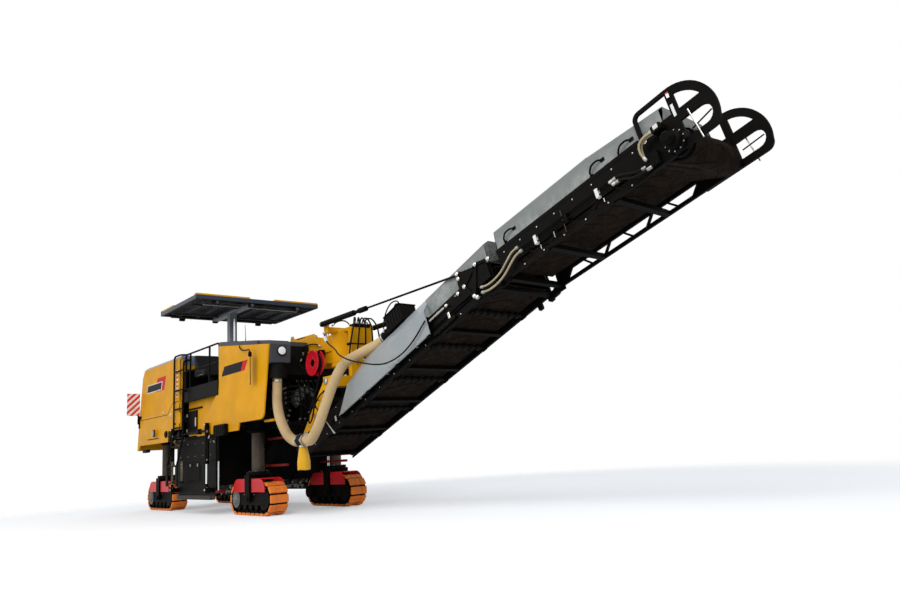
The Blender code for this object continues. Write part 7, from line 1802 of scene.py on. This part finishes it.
# %% Engine, coolers and air cleaner
bay_kit = Stock()
for k in range(6):
    x = -4.22 + 0.21 * k
    bay_kit.box(about(x, 0.088), (-0.2, 0.2), (2.7, 2.8), CASTING, 0.02)
    for y in (-0.14, 0.14):
        bay_kit.turned((x, y, 2.798), UP, boss(0.014, 0.012, 0.016, 0.008), ZINC, 6)
    line_hose(bay_kit, [(x, 0.19, 2.77), (x + 0.02, 0.3, 2.8), (x + 0.04, 0.4, 2.72), (x + 0.04, 0.48, 2.6),
        (x + 0.04, 0.54, 2.5)], 0.007, STAINLESS)
    bay_kit.bar((x, -0.52, 2.42), (x, -0.64, 2.5), 0.04, STEEL, 14)
    for side in (-1, 1):
        bay_kit.box(about(x, 0.06), (side * 0.555, side * 0.575), (1.9, 2.2), CASTING, 0.01)
bay_kit.bar((-4.3, -0.64, 2.5), (-3.2, -0.64, 2.5), 0.058, STEEL, 20)
bay_kit.turned((-3.24, -0.64, 2.6), FORE, [(0.0, 0.05), (0.01, 0.11), (0.06, 0.13), (0.11, 0.11),
    (0.12, 0.06), (0.17, 0.06), (0.18, 0.12), (0.24, 0.12), (0.26, 0.06)], STEEL, 28)
bay_kit.pipe(bent([(-3.05, -0.64, 2.6), (-2.85, -0.64, 2.6), (-2.85, 0.1, 2.74), (-2.85, 0.6, 2.84),
    (-3.1, 0.62, 2.86)], 0.09), 0.05, BLACK, 18)
bay_kit.turned((-3.72, 0.62, 2.86), FORE, [(0, 0.11), (0.01, 0.15), (0.5, 0.15), (0.51, 0.155),
    (0.53, 0.155), (0.55, 0.12), (0.62, 0.06)], BLACK, 32)
for x in (-3.62, -3.32):
    bay_kit.box(about(x, 0.02), (0.5, 0.74), (2.6, 2.72), BLACK, 0.005)
bay_kit.box((-4.94, -4.64), (-0.86, 0.86), (1.8, 2.84), BLACK, 0.02)
for k in range(27):
    y = -0.8 + 0.0605 * k
    bay_kit.box((-4.642, -4.63), (y, y + 0.024), (1.86, 2.78), CASTING, 0.002)
bay_kit.turned((-4.63, 0.0, 2.3), FORE, [(0, 0.44), (0.1, 0.44), (0.1, 0.425), (0.01, 0.425)], BLACK, 40)
bay_kit.turned((-4.63, 0.0, 2.3), FORE, [(0.0, 0.09), (0.09, 0.09), (0.11, 0.06), (0.25, 0.05)], CASTING,
    20)
for k in range(8):
    a = math.tau * k / 8
    local = frame_at((-4.57, 0.25 * math.cos(a), 2.3 + 0.25 * math.sin(a)),
        (0.45, -math.sin(a), math.cos(a)), (-1.0, -0.45 * math.sin(a), 0.45 * math.cos(a)))
    bay_kit.box((-0.055, 0.055), (-0.17, 0.17), (-0.004, 0.004), SEAL, 0.002, local)
for y in (-0.95, 0.8):
    bay_kit.box((-3.3, -2.95), (y, y + 0.18), (1.95, 2.18), TANK, 0.012)
    for x in (-3.24, -3.02):
        bay_kit.turned((x, y + 0.09, 2.18), UP, [(0, 0.014), (0.02, 0.012)], ZINC, 10)
for k in range(4):
    line_hose(bay_kit, [(-4.6, 0.5 - 0.05 * k, 2.62), (-4.4, 0.62 - 0.02 * k, 2.66 + 0.02 * k),
        (-4.1, 0.64, 2.5 - 0.06 * k), (-3.9, 0.6, 2.34 - 0.07 * k)], 0.018)
bay_kit.ride("engine_bay", "root")
print("engine bay", len(bay_kit.faces))

# %% [markdown]
# ## Operator's seat and desks
# The seat is a moulded pan with a vinyl cushion and back. Both pads are inflated by cloth simulation from
# a slightly smaller block, with the movement capped, and the seams are pressed in afterwards.

# %% Cushions by cloth simulation
SEAM_DEPTH, SWELL, GIVE, GRID, CLOTH_FRAMES = 0.006, 0.014, 0.75, 0.013, 16


def cushion(name, xs, ys, zs, out, cross_seam, swell=SWELL):
    """A crowned vinyl pad that fills the given space, made by inflating a smaller one. Its seams are
    pressed into the side that faces along the axis out."""
    give = swell * GIVE
    bm = bmesh.new()
    bmesh.ops.create_cube(bm, size=1.0)
    sizes = [abs(a[1] - a[0]) - 2 * give for a in (xs, ys, zs)]
    middle = Vector((sum(xs) / 2, sum(ys) / 2, sum(zs) / 2))
    for v in bm.verts:
        v.co = Vector(c * s for c, s in zip(v.co, sizes))
    bmesh.ops.bevel(bm, geom=bm.edges[:], offset=0.022, segments=3, profile=0.6, affect="EDGES")
    mesh = bpy.data.meshes.new(name)
    bm.to_mesh(mesh)
    bm.free()
    obj = placed(name, mesh)
    grid = obj.modifiers.new("grid", "REMESH")
    grid.mode, grid.voxel_size = "VOXEL", GRID
    plain_mesh(obj)
    rest = [v.co.copy() for v in obj.data.vertices]
    cloth = obj.modifiers.new("filling", "CLOTH")
    cloth.settings.quality = 5
    cloth.settings.mass = 0.3
    cloth.settings.use_pressure = True
    cloth.settings.uniform_pressure_force = 4.0
    cloth.settings.tension_stiffness = 12.0
    cloth.settings.compression_stiffness = 12.0
    cloth.settings.bending_stiffness = 0.6
    cloth.settings.effector_weights.gravity = 0.0
    cloth.point_cache.frame_start, cloth.point_cache.frame_end = 1, CLOTH_FRAMES
    for step in range(1, CLOTH_FRAMES + 1):
        bpy.context.scene.frame_set(step)
    plain_mesh(obj)
    bpy.context.scene.frame_set(1)
    for v, start in zip(obj.data.vertices, rest):
        move = v.co - start
        if move.length > swell:
            v.co = start + move * (swell / move.length)
    half = [s / 2 + give for s in sizes]
    for v in obj.data.vertices:
        face = max(0.0, v.co[out] / half[out])
        seam = sum(math.exp(-((abs(v.co[axis] / half[axis]) - at) / width) ** 2)
            for axis, at, width in ((2 - out, *cross_seam), (1, 0.7, 0.03)))
        v.co[out] -= SEAM_DEPTH * min(1.0, seam) * face
        for i in range(3):
            v.co[i] = max(-half[i], min(half[i], v.co[i]))
        v.co += middle
    smooth = obj.modifiers.new("smooth", "SUBSURF")
    smooth.levels = smooth.render_levels = 1
    plain_mesh(obj)
    obj.data.transform(MACHINE)
    obj.data.materials.clear()
    obj.data.materials.append(SEAT)
    obj.data.shade_smooth()
    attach(obj, "root")
    print(name, "faces", len(obj.data.polygons))


cushion("seat_cushion", (-2.27, -1.825), (-1.045, -0.595), (2.7, 2.795), 2, (0.58, 0.035))
cushion("seat_back", (-2.365, -2.275), (-1.04, -0.6), (2.79, 3.118), 0, (0.55, 0.04))
pan = Stock()
pan.box((-2.29, -1.83), (-1.045, -0.595), (2.672, 2.706), CONSOLE, 0.012)
pan.box((-2.38, -2.358), (-1.03, -0.61), (2.69, 3.08), CONSOLE, 0.01)
pan.turned((-2.05, -0.82, 2.45), UP, [(0, 0.118), (0.008, 0.12), (0.014, 0.09), (0.03, 0.06), (0.2, 0.058),
    (0.215, 0.08), (0.225, 0.08)], BLACK, 32)
for y in (-1.05, -0.59):
    pan.bar((-2.2, y, 2.69), (-1.92, y, 2.69), 0.01, STAINLESS, 10)
pan.ride("seat_pan", "root", replaces=["operator_seat"])

# %% Operator's desks on the console's rear
desks = Stock()
for y in (-0.8, 0.8):
    local = frame_at((-0.76, y, 2.86), -RIGHT, (0.55, 0, 0.83))
    out = local.to_3x3() @ UP
    desks.box((-0.24, 0.24), (-0.13, 0.13), (-0.06, 0.0), CONSOLE, 0.014, local)
    desks.box((-0.1, 0.1), (-0.02, 0.1), (-0.004, 0.006), LENS_DARK, 0.003, local)
    for k in range(6):
        desks.turned(local @ Vector((-0.19 + 0.075 * k, -0.075, 0.0)), out, boss(0.014, 0.008, 0.012, 0.01),
            DULL_RED if k == 0 else SEAL, 12)
    desks.turned(local @ Vector((0.18, 0.04, 0.0)), out, [(0, 0.02), (0.02, 0.012), (0.06, 0.01),
        (0.075, 0.022), (0.1, 0.02), (0.108, 0.008)], SEAL, 16)
    desks.bar((-0.72, y, 2.46), (-0.72, y, 2.84), 0.022, BLACK, 12)
desks.ride("operator_desks", "root")
print("desks", len(desks.faces), "faces")
